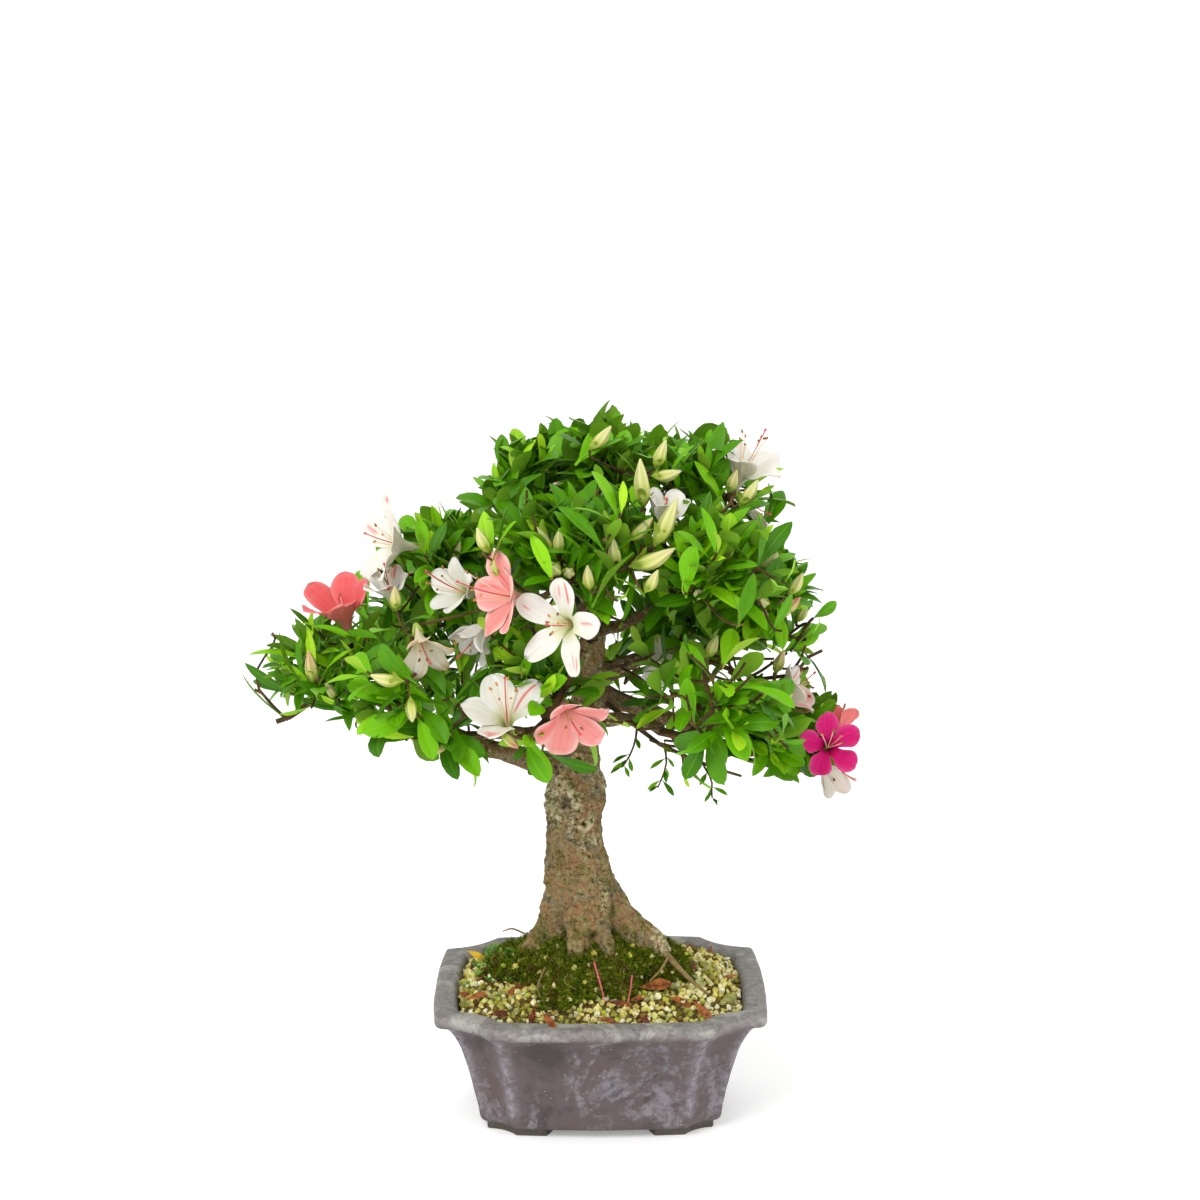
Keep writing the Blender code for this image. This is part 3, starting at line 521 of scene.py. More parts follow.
class Scatter(Tree):
    """Many small copies of one form strewn over a surface, each turned and sized at random."""

    def __init__(self, name: str) -> None:
        """Start the tree with its geometry sockets.

        Args:
            name: The tree's name.
        """
        super().__init__(bpy.data.node_groups.new(name, "GeometryNodeTree"))
        for way in ("INPUT", "OUTPUT"):
            self.tree.interface.new_socket("Geometry", in_out=way, socket_type="NodeSocketGeometry")
        self.sizes = {}
        self.inside, self.outside = (self.tree.nodes.new("NodeGroup" + end) for end in ("Input", "Output"))

    def size(self, name: str, value: float) -> NodeSocket:
        """A named input of the tree.

        Args:
            name: Its name.
            value: What the modifier gives it.

        Returns:
            Its socket inside.
        """
        socket = self.tree.interface.new_socket(name, in_out="INPUT", socket_type="NodeSocketFloat")
        self.sizes[socket.identifier] = value
        return self.inside.outputs[name]

    def form(self, kind: str, **sizes: float) -> NodeSocket:
        """The mesh of one copy, of a kind that a node makes.

        Args:
            kind: The kind.
            sizes: Its inputs, with _ for a space.

        Returns:
            The mesh.
        """
        return self.node(
            "GeometryNodeMesh" + kind, "Mesh", {key.replace("_", " "): n for key, n in sizes.items()},
        )

    def random(self, low: Place, high: Place, seed: int) -> NodeSocket:
        """A random vector for each copy.

        Args:
            low: The least value on each axis.
            high: The greatest.
            seed: Of the values.

        Returns:
            The vector.
        """
        feeds = {"Min": low, "Max": high, "Seed": seed}
        return self.node("FunctionNodeRandomValue", "Value", feeds, data_type="FLOAT_VECTOR")

    def spread(self, form: NodeSocket, spacing: float, seed: int, upright: bool) -> NodeSocket:
        """Strew a form over the carrier.

        Args:
            form: The geometry of one copy.
            spacing: The least distance between two copies.
            seed: Of the places, turns and sizes.
            upright: Whether copies stand square to the surface or lie in any way.

        Returns:
            The realized copies, each with its own value kept as `tint`.
        """
        ground = {"Mesh": self.inside.outputs["Geometry"], "Density Max": 1.4 / spacing**2, "Seed": seed}
        ground["Distance Min"] = self.size("Spacing", spacing)
        spots = self.node(
            "GeometryNodeDistributePointsOnFaces", "Points", ground, distribute_method="POISSON",
        )
        if upright:
            lean = {0: spots.node.outputs["Rotation"]}
            lean["Rotate By"] = self.random((-0.5, -0.5, 0.0), (0.5, 0.5, 6.28), seed + 2)
            turn = self.node("FunctionNodeRotateEuler", 0, lean, space="LOCAL")
        else:
            turn = self.random((0.0,) * 3, (6.28,) * 3, seed + 2)
        scale = self.random((0.62,) * 3, (1.25, 1.25, 1.1), seed + 1)
        feeds = {"Points": spots, "Instance": form, "Scale": scale, "Rotation": turn}
        strewn = self.node("GeometryNodeInstanceOnPoints", "Instances", feeds)
        tint = self.node("FunctionNodeRandomValue", 1, {"Seed": seed + 3}, data_type="FLOAT")
        feeds = {"Geometry": strewn, "Name": "tint", "Value": tint}
        kept = {"data_type": "FLOAT", "domain": "INSTANCE"}
        strewn = self.node("GeometryNodeStoreNamedAttribute", "Geometry", feeds, **kept)
        return self.node("GeometryNodeRealizeInstances", "Geometry", {"Geometry": strewn})

    def rough(self, source: NodeSocket, depth: float, width: float) -> NodeSocket:
        """Push the points of a geometry about with noise.

        Args:
            source: The geometry.
            depth: How far.
            width: Of the noise's features.

        Returns:
            The geometry, moved.
        """
        noise = self.node("ShaderNodeTexNoise", "Color", {"Scale": 1 / width})
        centred = self.node("ShaderNodeVectorMath", 0, {0: noise, 1: (0.5,) * 3}, operation="SUBTRACT")
        feeds = {0: centred, "Scale": self.size("Roughness", depth)}
        shift = self.node("ShaderNodeVectorMath", 0, feeds, operation="SCALE")
        return self.node("GeometryNodeSetPosition", "Geometry", {"Geometry": source, "Offset": shift})

    def over(self, carrier: Object, source: NodeSocket, finish: Material, name: str) -> Object:
        """Run the finished tree on a carrier, and keep only the result.

        Args:
            carrier: The surface, which is used up.
            source: The geometry that the tree ends in.
            finish: Its material.
            name: The new piece's name.

        Returns:
            The piece, as a plain mesh.
        """
        flat = self.node(
            "GeometryNodeSetShadeSmooth", "Geometry", {"Geometry": source, "Shade Smooth": False},
        )
        painted = self.node("GeometryNodeSetMaterial", "Geometry", {"Geometry": flat, "Material": finish})
        self.put(painted, self.outside.inputs["Geometry"])
        modifier = carrier.modifiers.new(name, "NODES")
        modifier.node_group = self.tree
        for identifier, value in self.sizes.items():
            modifier[identifier] = value
        graph = bpy.context.evaluated_depsgraph_get()
        mesh = bpy.data.meshes.new_from_object(carrier.evaluated_get(graph))
        bpy.data.objects.remove(carrier, do_unlink=True)
        mesh.name = name
        return placed(name, mesh)


# ---- Studio ----


@dataclass
class Studio:
    """A pale floor under soft light, and the camera."""

    lens: float = 61.23
    distance: float = 1.21
    eye: float = 0.602
    pitch: float = 12.6
    yaw: float = 0.6
    floor_reach: float = 1.9
    cove: float = 0.6
    wall: float = 1.5
    glow: float = 0.20
    sky: float = 0.66
    aim: float = 0.25
    floor_sides: int = 96

    def camera(self) -> None:
        """The camera in front of the plant, looking a little down on it."""
        data = bpy.data.cameras.new("camera")
        data.lens = self.lens
        data.sensor_width = 36.0
        data.clip_start = 0.05
        made = placed("camera", data)
        yaw, pitch = math.radians(self.yaw), math.radians(self.pitch)
        ahead = Vector((math.sin(yaw), math.cos(yaw), 0.0))
        made.location = Vector(HOME) - ahead * self.distance + Vector((0.0, 0.0, self.eye))
        look = ahead * math.cos(pitch) - Vector((0.0, 0.0, math.sin(pitch)))
        made.rotation_euler = look.to_track_quat("-Z", "Y").to_euler()
        bpy.context.scene.camera = made

    def floor(self) -> None:
        """A wide plain floor that curves up all round, like a bowl."""
        profile = [(radius, 0.0) for radius in np.linspace(0.0, self.floor_reach, 12)[1:]]
        bend = np.linspace(0.0, math.pi / 2, 16)[1:]
        profile += [
            (self.floor_reach + self.cove * math.sin(a), self.cove * (1 - math.cos(a))) for a in bend
        ]
        profile += [(self.floor_reach + self.cove, self.wall)]
        sides = self.floor_sides
        out = spokes(np.array((1.0, 0.0, 0.0)), np.array((0.0, 1.0, 0.0)), sides)
        rings = np.array([out * radius + (0.0, 0.0, z) for radius, z in profile])
        middle = fan(np.arange(sides), len(rings) * sides, True)
        shape = Shape()
        shape.add(
            np.vstack((rings.reshape(-1, 3), np.zeros(3))), lattice(len(rings), sides)[:, ::-1], middle,
        )
        board = Board("studio_floor", roughness=0.95, specular_ior_level=0.1, emission_strength=self.glow)
        board.shader.inputs["Emission Color"].default_value = (1.0, 1.0, 1.0, 1.0)
        shape.made("floor", board.dressed(tone(252, 252, 252)))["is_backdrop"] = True

    def lamp(self, name: str, place: Place, size: float, power: float) -> None:
        """A large soft light that faces the middle of the plant.

        Args:
            name: Its name.
            place: Where it stands, from the middle of the pot's foot.
            size: Its diameter.
            power: In watts.
        """
        data = bpy.data.lights.new(name, "AREA")
        data.shape = "DISK"
        data.size = size
        data.energy = power
        made = placed(name, data)
        made.location = Vector(HOME) + Vector(place)
        aim = Vector(HOME) + Vector((0.0, 0.0, self.aim)) - made.location
        made.rotation_euler = aim.to_track_quat("-Z", "Y").to_euler()

    def build(self) -> None:
        """Set up floor, lights, sky and camera."""
        self.camera()
        self.floor()
        self.lamp("key_light", (-0.7, -1.0, 1.5), 0.9, 15.0)
        self.lamp("fill_light", (1.2, -0.8, 1.1), 1.2, 4.0)
        self.lamp("back_light", (0.3, 1.1, 1.5), 1.2, 5.0)
        world = bpy.data.worlds.new("studio_sky")
        world.use_nodes = True
        sky = world.node_tree.nodes["Background"].inputs
        sky["Color"].default_value = (1.0, 1.0, 1.0, 1.0)
        sky["Strength"].default_value = self.sky
        bpy.context.scene.world = world
        bpy.context.scene.view_settings.view_transform = "Standard"


# ---- Pot ----


@dataclass(frozen=True)
class Clay:
    """Grey unglazed clay, rubbed pale in clouds, pale along its ridges from wear and a painted highlight,
    darker at the feet.
    """

    body: tuple = tone(94, 83, 84)
    dark: tuple = tone(70, 61, 62)
    warm: tuple = tone(92, 77, 75)
    pale: tuple = tone(150, 148, 155)
    # Rim and bloom: a paler tone on the lip band, and paler cream patches on it.
    rim: tuple = tone(140, 137, 134)
    bloom: tuple = tone(182, 180, 170)
    speck: tuple = tone(196, 196, 196)
    foot: tuple = tone(74, 71, 56)
    rim_level: tuple = (0.0745, 0.0830)
    foot_level: tuple = (0.010, 0.002)

    def material(self) -> Material:
        """The clay's material, for a mesh that keeps a `ridge` value.

        Returns:
            The material.
        """
        board = Board("grey_clay", roughness=0.8, specular_ior_level=0.3)
        ground = board.ramp(
            board.noise(0.028, 4, 0.6, 0.5), (0.34, self.dark), (0.50, self.body), (0.68, self.warm),
        )
        slant = board.noise(0.042, 5, 0.60, 1.6, 0.7)
        grain = board.noise(0.0050, 6, 0.8, 0.3)
        cloud = board.times(slant, board.span(grain, 0.2, 0.8, 0.75, 1.25))
        rubbed = board.span(cloud, 0.49, 0.72, 0.0, 0.6)
        # Pale along the upright ridges: rubbed wear, and a painted highlight that marks the creases.
        ridge_wear_and_highlight = board.times(board.kept("ridge"), board.span(grain, 0.36, 0.62, 0.1, 0.85))
        shade = board.blend(board.sum(rubbed, ridge_wear_and_highlight, "MAXIMUM"), ground, self.pale)
        level = board.node("SeparateXYZ", 2, {0: board.place()})
        # Paler on the lip band, with paler cream patches where the slanting noise runs high.
        lip = board.times(board.span(level, *self.rim_level), board.span(grain, 0.34, 0.60, 0.35, 1.0))
        shade = board.blend(lip, shade, self.rim)
        shade = board.blend(board.times(lip, board.span(slant, 0.50, 0.60, 0.0, 0.6)), shade, self.bloom)
        shade = board.patch(level, *self.foot_level, 0.75, shade, self.foot)
        specks = board.times(
            board.span(board.cells(0.0042), 0.13, 0.05), board.span(board.noise(0.010, 2), 0.52, 0.60),
        )
        shade = board.blend(board.times(specks, 0.6), shade, self.speck)
        board.bump((board.noise(0.0013, 4, 0.7), 0.00028), (board.noise(0.009, 3, 0.5), 0.0008))
        return board.dressed(shade, board.span(cloud, 0.4, 0.7, 0.68, 0.88))


@dataclass
class Pot:
    """An octagonal flared pot on four corner feet.

    The sizes are the frame's: half-lengths at the rim, cut corners, lip, wall and feet.
    """

    half_length: float = 0.1042
    half_depth: float = 0.0772
    height: float = 0.0848
    cut_length: float = 0.036
    cut_depth: float = 0.0224
    cut_shrink: float = 13.5
    cut_bite: float = 0.0045
    side_bow: float = 0.0030
    lip_height: float = 0.0086
    lip_width: float = 0.0125
    under_lip: float = 0.0026
    wall_flare: float = 0.0226
    flare_power: float = 0.47
    wall_foot: float = 0.0170
    foot_height: float = 0.005
    foot_inset: float = 0.0304
    foot_width: float = 0.012
    foot_run: float = 0.0185
    floor_top: float = 0.0125
    floor_inset: float = 0.0350
    nicks: tuple = ((-0.0800, 0.0010), (-0.0705, 0.0012))
    side_steps: int = 26
    cut_steps: int = 14
    relief: Relief = field(default_factory=lambda: Relief(11))

    def outline(self, inset: float) -> Array:
        """The plan, set in from the rim all round, with its ridges a little rounded.

        Args:
            inset: How far it is set in.

        Returns:
            Points (x, y), anticlockwise from the front left ridge.
        """
        half_x, half_y = self.half_length - inset, self.half_depth - inset
        keep = 1 - self.cut_shrink * inset
        cut_x, cut_y = self.cut_length * keep, self.cut_depth * keep
        side_x, side_y = half_x - self.side_bow, half_y - self.side_bow
        half = [(-half_x + cut_x, -side_y), (half_x - cut_x, -side_y)]
        half += [(side_x, -half_y + cut_y), (side_x, half_y - cut_y)]
        corners = np.array(half + [(-x, -y) for x, y in half])
        parts = []
        for index, start in enumerate(corners):
            run = corners[(index + 1) % 8] - start
            is_side = index % 2 == 0
            steps = self.side_steps if is_side else self.cut_steps
            share = (1 - np.cos(math.pi * np.arange(steps) / steps)) / 2
            swell = (self.side_bow if is_side else -self.cut_bite * keep) * (1 - (2 * share - 1) ** 2)
            out = np.array((run[1], -run[0])) / np.linalg.norm(run)
            parts.append(start + share[:, None] * run + swell[:, None] * out)
        ring = np.concatenate(parts)
        for _ in range(3):
            ring = (np.roll(ring, 1, axis=0) + 2 * ring + np.roll(ring, -1, axis=0)) / 4
        return ring

    def plan(self, inset: float, z: float) -> Array:
        """The plan as points at one height."""
        ring = self.outline(inset)
        return np.column_stack((ring, np.full(len(ring), z)))

    def wall_inset(self, z: Array) -> Array:
        """How far the outer wall stands in from the rim at a height.

        Args:
            z: The height.

        Returns:
            The inset.
        """
        top = self.height - self.lip_height
        share = np.clip((top - z) / (top - self.wall_foot), 0, 1)
        return self.under_lip + self.wall_flare * share**self.flare_power

    def inner_inset(self, z: float) -> float:
        """How far the inner wall stands in from the rim at a height."""
        run = self.lip_width + 0.0012 - self.floor_inset
        return self.floor_inset + run * (z - self.floor_top) / (self.height - 0.0014 - self.floor_top)

    def profile(self) -> Array:
        """The pot's section.

        Returns:
            (inset, height) from the middle of the underside, over the lip, to the floor inside.
        """
        top = self.height - self.lip_height
        base = [(0.0420, 0.0050), (0.0312, 0.0050), (0.0290, 0.0056), (0.0274, 0.0070), (0.0264, 0.0088)]
        base += [(0.0259, 0.0108)]
        flare = self.wall_foot + (top - self.wall_foot) * np.linspace(0.0, 0.985, 26) ** 0.9
        wall = [(float(self.wall_inset(z)), float(z)) for z in flare]
        lip = [
            (0.0029, top - 0.0004), (0.0021, top + 0.0002), (0.0010, top + 0.0012), (0.0003, top + 0.0026),
        ]
        lip += [
            (0.0000, top + 0.0042), (0.0001, top + 0.0058), (0.0006, top + 0.0072), (0.0016, top + 0.0081),
        ]
        lip += [(0.0030, self.height), (0.0065, self.height - 0.0001), (0.0095, self.height)]
        lip += [
            (0.0115, self.height - 0.0002), (0.0130, self.height - 0.0009), (0.0138, self.height - 0.0022),
        ]
        inner = [(self.inner_inset(z), z) for z in (0.080, 0.076, 0.068, 0.050, self.floor_top)]
        return np.array(base + wall + lip + inner)

    def body(self) -> Shape:
        """The flared body, closed under its base and on its floor inside.

        Returns:
            The shape, for the feet to be added to.
        """
        rings = np.array([self.plan(inset, z) for inset, z in self.profile()])
        middle = rings.mean(axis=1, keepdims=True)
        out = unit((rings - middle) * LEVEL)
        uneven = 0.00045 * self.relief.layered(rings, 0.026, 3)
        rings = rings + out * uneven[..., None]
        for x, depth in self.nicks:
            spot = np.array((x, -self.half_depth + 0.004, self.height - 0.001))
            rings[..., 2] -= depth * hump(np.linalg.norm(rings - spot, axis=-1), 0.0030)
        points = np.vstack((rings.reshape(-1, 3), middle[0], middle[-1]))
        shape = Shape()
        shape.add(points, *closed(*rings.shape[:2]), ridge=self.ridges(points))
        return shape

    def ridges(self, points: Array) -> Array:
        """How near points are to the wall's upright ridges.

        Args:
            points: The points.

        Returns:
            1 on a ridge, down to 0 away from it.
        """
        period = self.side_steps + self.cut_steps
        marks = [corner * period + step for corner in range(4) for step in (0, self.side_steps)]
        near = np.zeros(len(points))
        for z in np.linspace(self.wall_foot, self.height - self.lip_height, 24):
            spots = self.plan(float(self.wall_inset(z)), z)[marks]
            apart = np.linalg.norm(points[:, None] - spots[None], axis=2).min(axis=1)
            near = np.maximum(near, hump(apart, 0.0042))
        return near

    def foot(self, shape: Shape, corner: int) -> None:
        """One low foot that wraps a cut corner of the base, with a short run along each side.

        Args:
            shape: Where it goes.
            corner: Which corner, from the front right one anticlockwise.
        """
        top, width = self.foot_height + 0.0020, self.foot_width
        edges = (
            (0.0006, 0.0), (0.0, 0.0010), (0.0, top), (width, top), (width, 0.0010), (width - 0.0006, 0.0),
        )
        first = corner * (self.side_steps + self.cut_steps) + self.side_steps
        strips, half = [], self.side_steps // 2
        for inset, z in edges:
            ring = np.roll(self.plan(self.foot_inset + inset, z), -first, axis=0)
            cut = ring[: self.cut_steps + 1]
            before = unit(ring[-half] - cut[0]) * self.foot_run
            after = unit(ring[self.cut_steps + half] - cut[-1]) * self.foot_run
            strips.append(
                np.vstack((cut[0] + before, cut[0] + before / 2, cut, cut[-1] + after / 2, cut[-1] + after))
            )
        rows = np.stack(strips, axis=1)
        shape.add(capped(rows), *closed(len(rows), len(edges), outwards=False), ridge=0.0)

    def build(self) -> None:
        """Make the pot and dress it."""
        shape = self.body()
        for corner in range(4):
            self.foot(shape, corner)
        settle(shape.made("pot_clay", Clay().material(), sharp=50), "pot", "pot")


# ---- Trunk ----


class Station(NamedTuple):
    """One level of the trunk: its centre and its half-width."""

    z: float
    x: float
    y: float
    radius: float


class Swell(NamedTuple):
    """A rise or a dip of the trunk: bearing, level, reach, half-width in degrees and half-height."""

    bearing: float
    z: float
    reach: float
    spread: float
    height: float


FLARE_LEVEL = 0.0795
STATIONS = (
    Station(FLARE_LEVEL, -0.0030, 0.0000, 0.0340),
    Station(0.0950, -0.0038, 0.0000, 0.0300),
    Station(0.1100, -0.0040, 0.0000, 0.0270),
    Station(0.1250, -0.0060, 0.0000, 0.0240),
    Station(0.1520, -0.0132, 0.0000, 0.0200),
    Station(0.1780, -0.0150, 0.0000, 0.0185),
    Station(0.2040, -0.0157, 0.0000, 0.0180),
    Station(0.2240, -0.0157, 0.0000, 0.0140),
    Station(0.2450, -0.0125, 0.0005, 0.0115),
    Station(0.2750, -0.0060, 0.0010, 0.0090),
    Station(0.3100, -0.0045, 0.0010, 0.0072),
    Station(0.3450, -0.0020, 0.0000, 0.0055),
    Station(0.3720, 0.0040, 0.0000, 0.0036),
)
ROOTS = (
    Swell(-8, FLARE_LEVEL, 0.0270, 20, 0.052),
    Swell(188, FLARE_LEVEL, 0.0260, 22, 0.046),
    Swell(-112, FLARE_LEVEL, 0.0120, 19, 0.042),
    Swell(-66, FLARE_LEVEL, 0.0090, 16, 0.034),
    Swell(64, FLARE_LEVEL, 0.0125, 20, 0.036),
    Swell(128, FLARE_LEVEL, 0.0110, 20, 0.038),
)
LOBES = (
    Swell(-106, 0.128, 0.0064, 17, 0.014),
    Swell(-72, 0.117, 0.0050, 11, 0.010),
    Swell(-24, 0.118, 0.0045, 11, 0.017),
    Swell(-164, 0.114, 0.0040, 12, 0.018),
    Swell(20, 0.112, 0.0040, 13, 0.020),
    Swell(96, 0.118, 0.0045, 13, 0.020),
    Swell(152, 0.112, 0.0040, 11, 0.018),
    Swell(-44, 0.108, -0.0110, 11, 0.022),
    Swell(-141, 0.110, -0.0105, 11, 0.022),
    Swell(-88, 0.112, -0.0036, 5, 0.010),
    Swell(-88, 0.105, -0.0050, 30, 0.007),
    Swell(-8, 0.106, -0.0030, 5, 0.012),
    Swell(205, 0.100, -0.0040, 6, 0.016),
    Swell(58, 0.112, -0.0050, 8, 0.022),
    Swell(126, 0.112, -0.0050, 8, 0.022),
    Swell(-100, 0.150, 0.0024, 26, 0.012),
    Swell(-30, 0.160, 0.0022, 18, 0.014),
    Swell(-76, 0.212, 0.0020, 22, 0.010),
    Swell(-120, 0.187, 0.0018, 22, 0.010),
    Swell(-40, 0.196, -0.0014, 14, 0.008),
    Swell(-60, 0.174, 0.0018, 18, 0.009),
    Swell(-10, 0.204, 0.0016, 20, 0.007),
    Swell(-5, 0.182, -0.0010, 18, 0.006),
    Swell(-150, 0.214, 0.0012, 16, 0.008),
    Swell(-165, 0.166, 0.0014, 16, 0.010),
    Swell(150, 0.190, 0.0020, 26, 0.012),
    Swell(70, 0.176, 0.0020, 24, 0.012),
)


class Knot(NamedTuple):
    """A scar on the bark: where it is, the half-width of its dent, its depth and its rim."""

    place: tuple
    width: float
    depth: float
    rim: float


KNOTS = (
    Knot((-0.0136, -0.0130, 0.2319), 0.0034, 0.0030, 0.0022),
    Knot((-0.0216, -0.0150, 0.2067), 0.0046, 0.0012, 0.0020),
    Knot((-0.0320, -0.0070, 0.1940), 0.0032, 0.0036, 0.0014),
    Knot((-0.0106, -0.0160, 0.1941), 0.0016, 0.0026, 0.0006),
    Knot((-0.0051, -0.0150, 0.1960), 0.0014, 0.0018, 0.0005),
    Knot((-0.0014, -0.0140, 0.1821), 0.0013, 0.0018, 0.0004),
    Knot((-0.0060, 0.0160, 0.2080), 0.0036, 0.0030, 0.0014),
    Knot((-0.0240, 0.0150, 0.1720), 0.0030, 0.0024, 0.0012),
)


@dataclass(frozen=True)
class Bark:
    """Craggy tan bark, mottled green, grey and rosy, with a painted highlight where it bulges out and
    painted shade where it dips in.
    """

    tan: tuple = tone(160, 144, 94)
    grey: tuple = tone(118, 110, 64)
    rosy: tuple = tone(176, 128, 94)
    lilac: tuple = tone(152, 134, 112)
    green: tuple = tone(106, 108, 36)
    light: tuple = tone(188, 172, 126)
    # Pale flecks at random, and the painted highlight where the bark bulges out.
    pale: tuple = tone(226, 216, 170)
    # Dark specks at random, and the painted shade where the bark dips in.
    deep: tuple = tone(38, 32, 8)
    scale: float = 1.0

    def material(self, name: str) -> Material:
        """The bark's material. The mesh keeps its painted shade, its painted highlight and a `low` value.

        Args:
            name: The material's name.

        Returns:
            The material.
        """
        board = Board(name, roughness=0.88, specular_ior_level=0.2)
        size = self.scale
        ground = board.ramp(
            board.noise(0.017 * size, 6, 0.66, 0.8),
            (0.36, self.grey), (0.42, self.lilac), (0.48, self.tan), (0.54, self.rosy),
            (0.59, self.tan), (0.66, self.light),
        )
        fine = board.noise(0.0024 * size, 6, 0.8, 0.4)
        moss = board.sum(board.noise(0.011 * size, 6, 0.75, 0.8), board.times(board.kept("low"), 0.075))
        shade = board.patch(moss, 0.52, 0.62, 0.75, ground, self.green)
        # Painted highlight: paler where the bark bulges out, over pale flecks at random.
        light = board.sum(board.times(board.kept("crest"), 0.17), fine)
        shade = board.patch(light, 0.54, 0.74, 0.95, shade, self.pale)
        shade = board.patch(fine, 0.49, 0.37, 0.88, shade, self.deep)
        # Painted shade: darker where the bark dips in, in pits, furrows, knots and creases.
        shade = board.patch(board.kept("hollow"), 0.15, 1.0, 0.95, shade, self.deep)
        board.bump(
            (board.noise(0.0036 * size, 7, 0.8, 0.5), 0.0026 * size),
            (board.cells(0.0024 * size), 0.0004 * size),
        )
        return board.dressed(shade)


@dataclass
class Trunk:
    """The trunk, from its root flare on the soil to its tip in the crown."""

    depth_ratio: float = 0.88
    foot: float = 0.0900
    sides: int = 220
    rings: int = 300
    relief: Relief = field(default_factory=lambda: Relief(5))

    @staticmethod
    def centre(z: Array) -> Array:
        """The axis at some heights.

        Args:
            z: The heights.

        Returns:
            One point for each height.
        """
        heights = [s.z for s in STATIONS]
        z = np.asarray(z, float)
        axes = (np.interp(z, heights, [getattr(s, key) for s in STATIONS]) for key in ("x", "y"))
        return np.stack((*axes, z), axis=-1)

    @staticmethod
    def radius(z: Array) -> Array:
        """The half-width at some heights, without the roots."""
        return np.interp(z, [s.z for s in STATIONS], [s.radius for s in STATIONS])

    def reach(self, bearing: Array, z: Array, detail: bool = True) -> Array:
        """The half-width towards some bearings at some heights.

        Args:
            bearing: In degrees.
            z: The heights.
            detail: Whether the lobes count as well as the roots.

        Returns:
            One half-width for each.
        """
        reach = self.radius(z)
        for swell in (*ROOTS, *LOBES) if detail else ROOTS:
            side = hump(bearing_gap(bearing, swell.bearing), swell.spread)
            reach = reach + swell.reach * side * hump(z - swell.z, swell.height)
        return reach

    def surface(self, bearing: Array, z: Array, detail: bool = True, grow: float = 0.0) -> Array:
        """Points on the trunk's outside, without the bark's relief.

        Args:
            bearing: In degrees.
            z: The heights.
            detail: Whether the lobes count as well as the roots.
            grow: How far outside they lie.

        Returns:
            One point for each.
        """
        reach = self.reach(bearing, z, detail) + grow
        angle = np.radians(bearing)
        out = np.stack((np.cos(angle), self.depth_ratio * np.sin(angle), np.zeros_like(angle)), axis=-1)
        return self.centre(z) + reach[..., None] * out

    def build(self) -> None:
        """Make the trunk with its relief and dress it."""
        low = self.foot + (0.250 - self.foot) * np.linspace(0, 1, self.rings * 3 // 4)
        z = np.concatenate((low, np.linspace(0.2505, STATIONS[-1].z, self.rings // 4)))
        bearing = 360.0 * np.arange(self.sides) / self.sides
        bearing, z = np.meshgrid(bearing, z)
        points = self.surface(bearing, z)
        out = unit((points - self.centre(z)) * LEVEL)
        twist = np.stack((points[..., 0], points[..., 1], z), axis=-1)
        twist = twist + 0.004 * self.relief.at(points, 0.030)[..., None]
        size = np.clip(self.radius(z) / 0.020, 0.35, 1.0)
        lumps = 0.0034 * self.relief.layered(points, (0.019, 0.019, 0.024), 3, 0.45)
        burls = 0.0010 * ease(self.relief.layered(points, 0.0085, 2), 0.1, 0.8)
        grain = self.relief.layered(twist, (0.0070, 0.0070, 0.0090), 4, 0.62)
        ridges = 0.0007 * (1 - 2.2 * np.abs(grain))
        fine = 0.00045 * self.relief.layered(points, (0.0020, 0.0020, 0.0024), 3, 0.65)
        pits = ease(self.relief.layered(points, 0.0046, 3, 0.6), 0.62, 1.0)
        rise = (lumps + burls + ridges + fine - 0.0009 * pits) * size
        # Painted shade: how far each point lies down in a pit, furrow or dip.
        hollow = 0.5 * pits + ease(-ridges, 0.0005, 0.0013) * 0.4 + 0.5 * ease(-lumps, 0.0012, 0.0034)
        # Painted highlight: how far each point stands up on a lump, burl or ridge.
        crest = ease(0.6 * lumps + burls + ridges + fine, 0.0004, 0.0030)
        for knot in KNOTS:
            gap = points - knot.place
            radial = (gap * out).sum(axis=-1)
            apart = np.linalg.norm(gap - np.clip(radial, -0.009, 0.009)[..., None] * out, axis=-1)
            wobble = 1 + 0.35 * self.relief.at(points, 0.003)
            dent = hump(apart * wobble, knot.width)
            rim = np.exp(-(((apart * wobble - 1.8 * knot.width) / (0.6 * knot.width)) ** 2))
            rise += knot.rim * rim - knot.depth * dent
            # Painted shade in the knot's dent.
            hollow += 1.2 * ease(dent, 0.25, 0.8) * min(knot.depth / 0.0025, 1.0)
            # Painted highlight on the knot's rim.
            crest += 0.5 * rim
        # Painted shade in the creases where the lobes dip in.
        for swell in LOBES:
            if swell.reach < -0.0025:
                side = hump(bearing_gap(bearing, swell.bearing), swell.spread * 0.7)
                hollow += 0.8 * side * hump(z - swell.z, swell.height)
        points = points + out * rise[..., None]
        kept = {"hollow": np.append(hollow, (0.0, 0.0)), "crest": np.append(crest, (0.0, 0.0))}
        kept["low"] = np.append(ease(z, 0.165, 0.100), (1.0, 0.0))
        shape = Shape()
        shape.add(capped(points), *closed(*points.shape[:2]), **kept)
        settle(shape.made("trunk_bark", Bark().material("trunk_bark"), sharp=75), "trunk", "trunk")


# ---- Boughs ----


class Bough(NamedTuple):
    """A limb: the level where it leaves the trunk, its tip, the rise of its middle and its radii."""

    name: str
    level: float
    tip: tuple
    rise: float
    foot_radius: float
    tip_radius: float


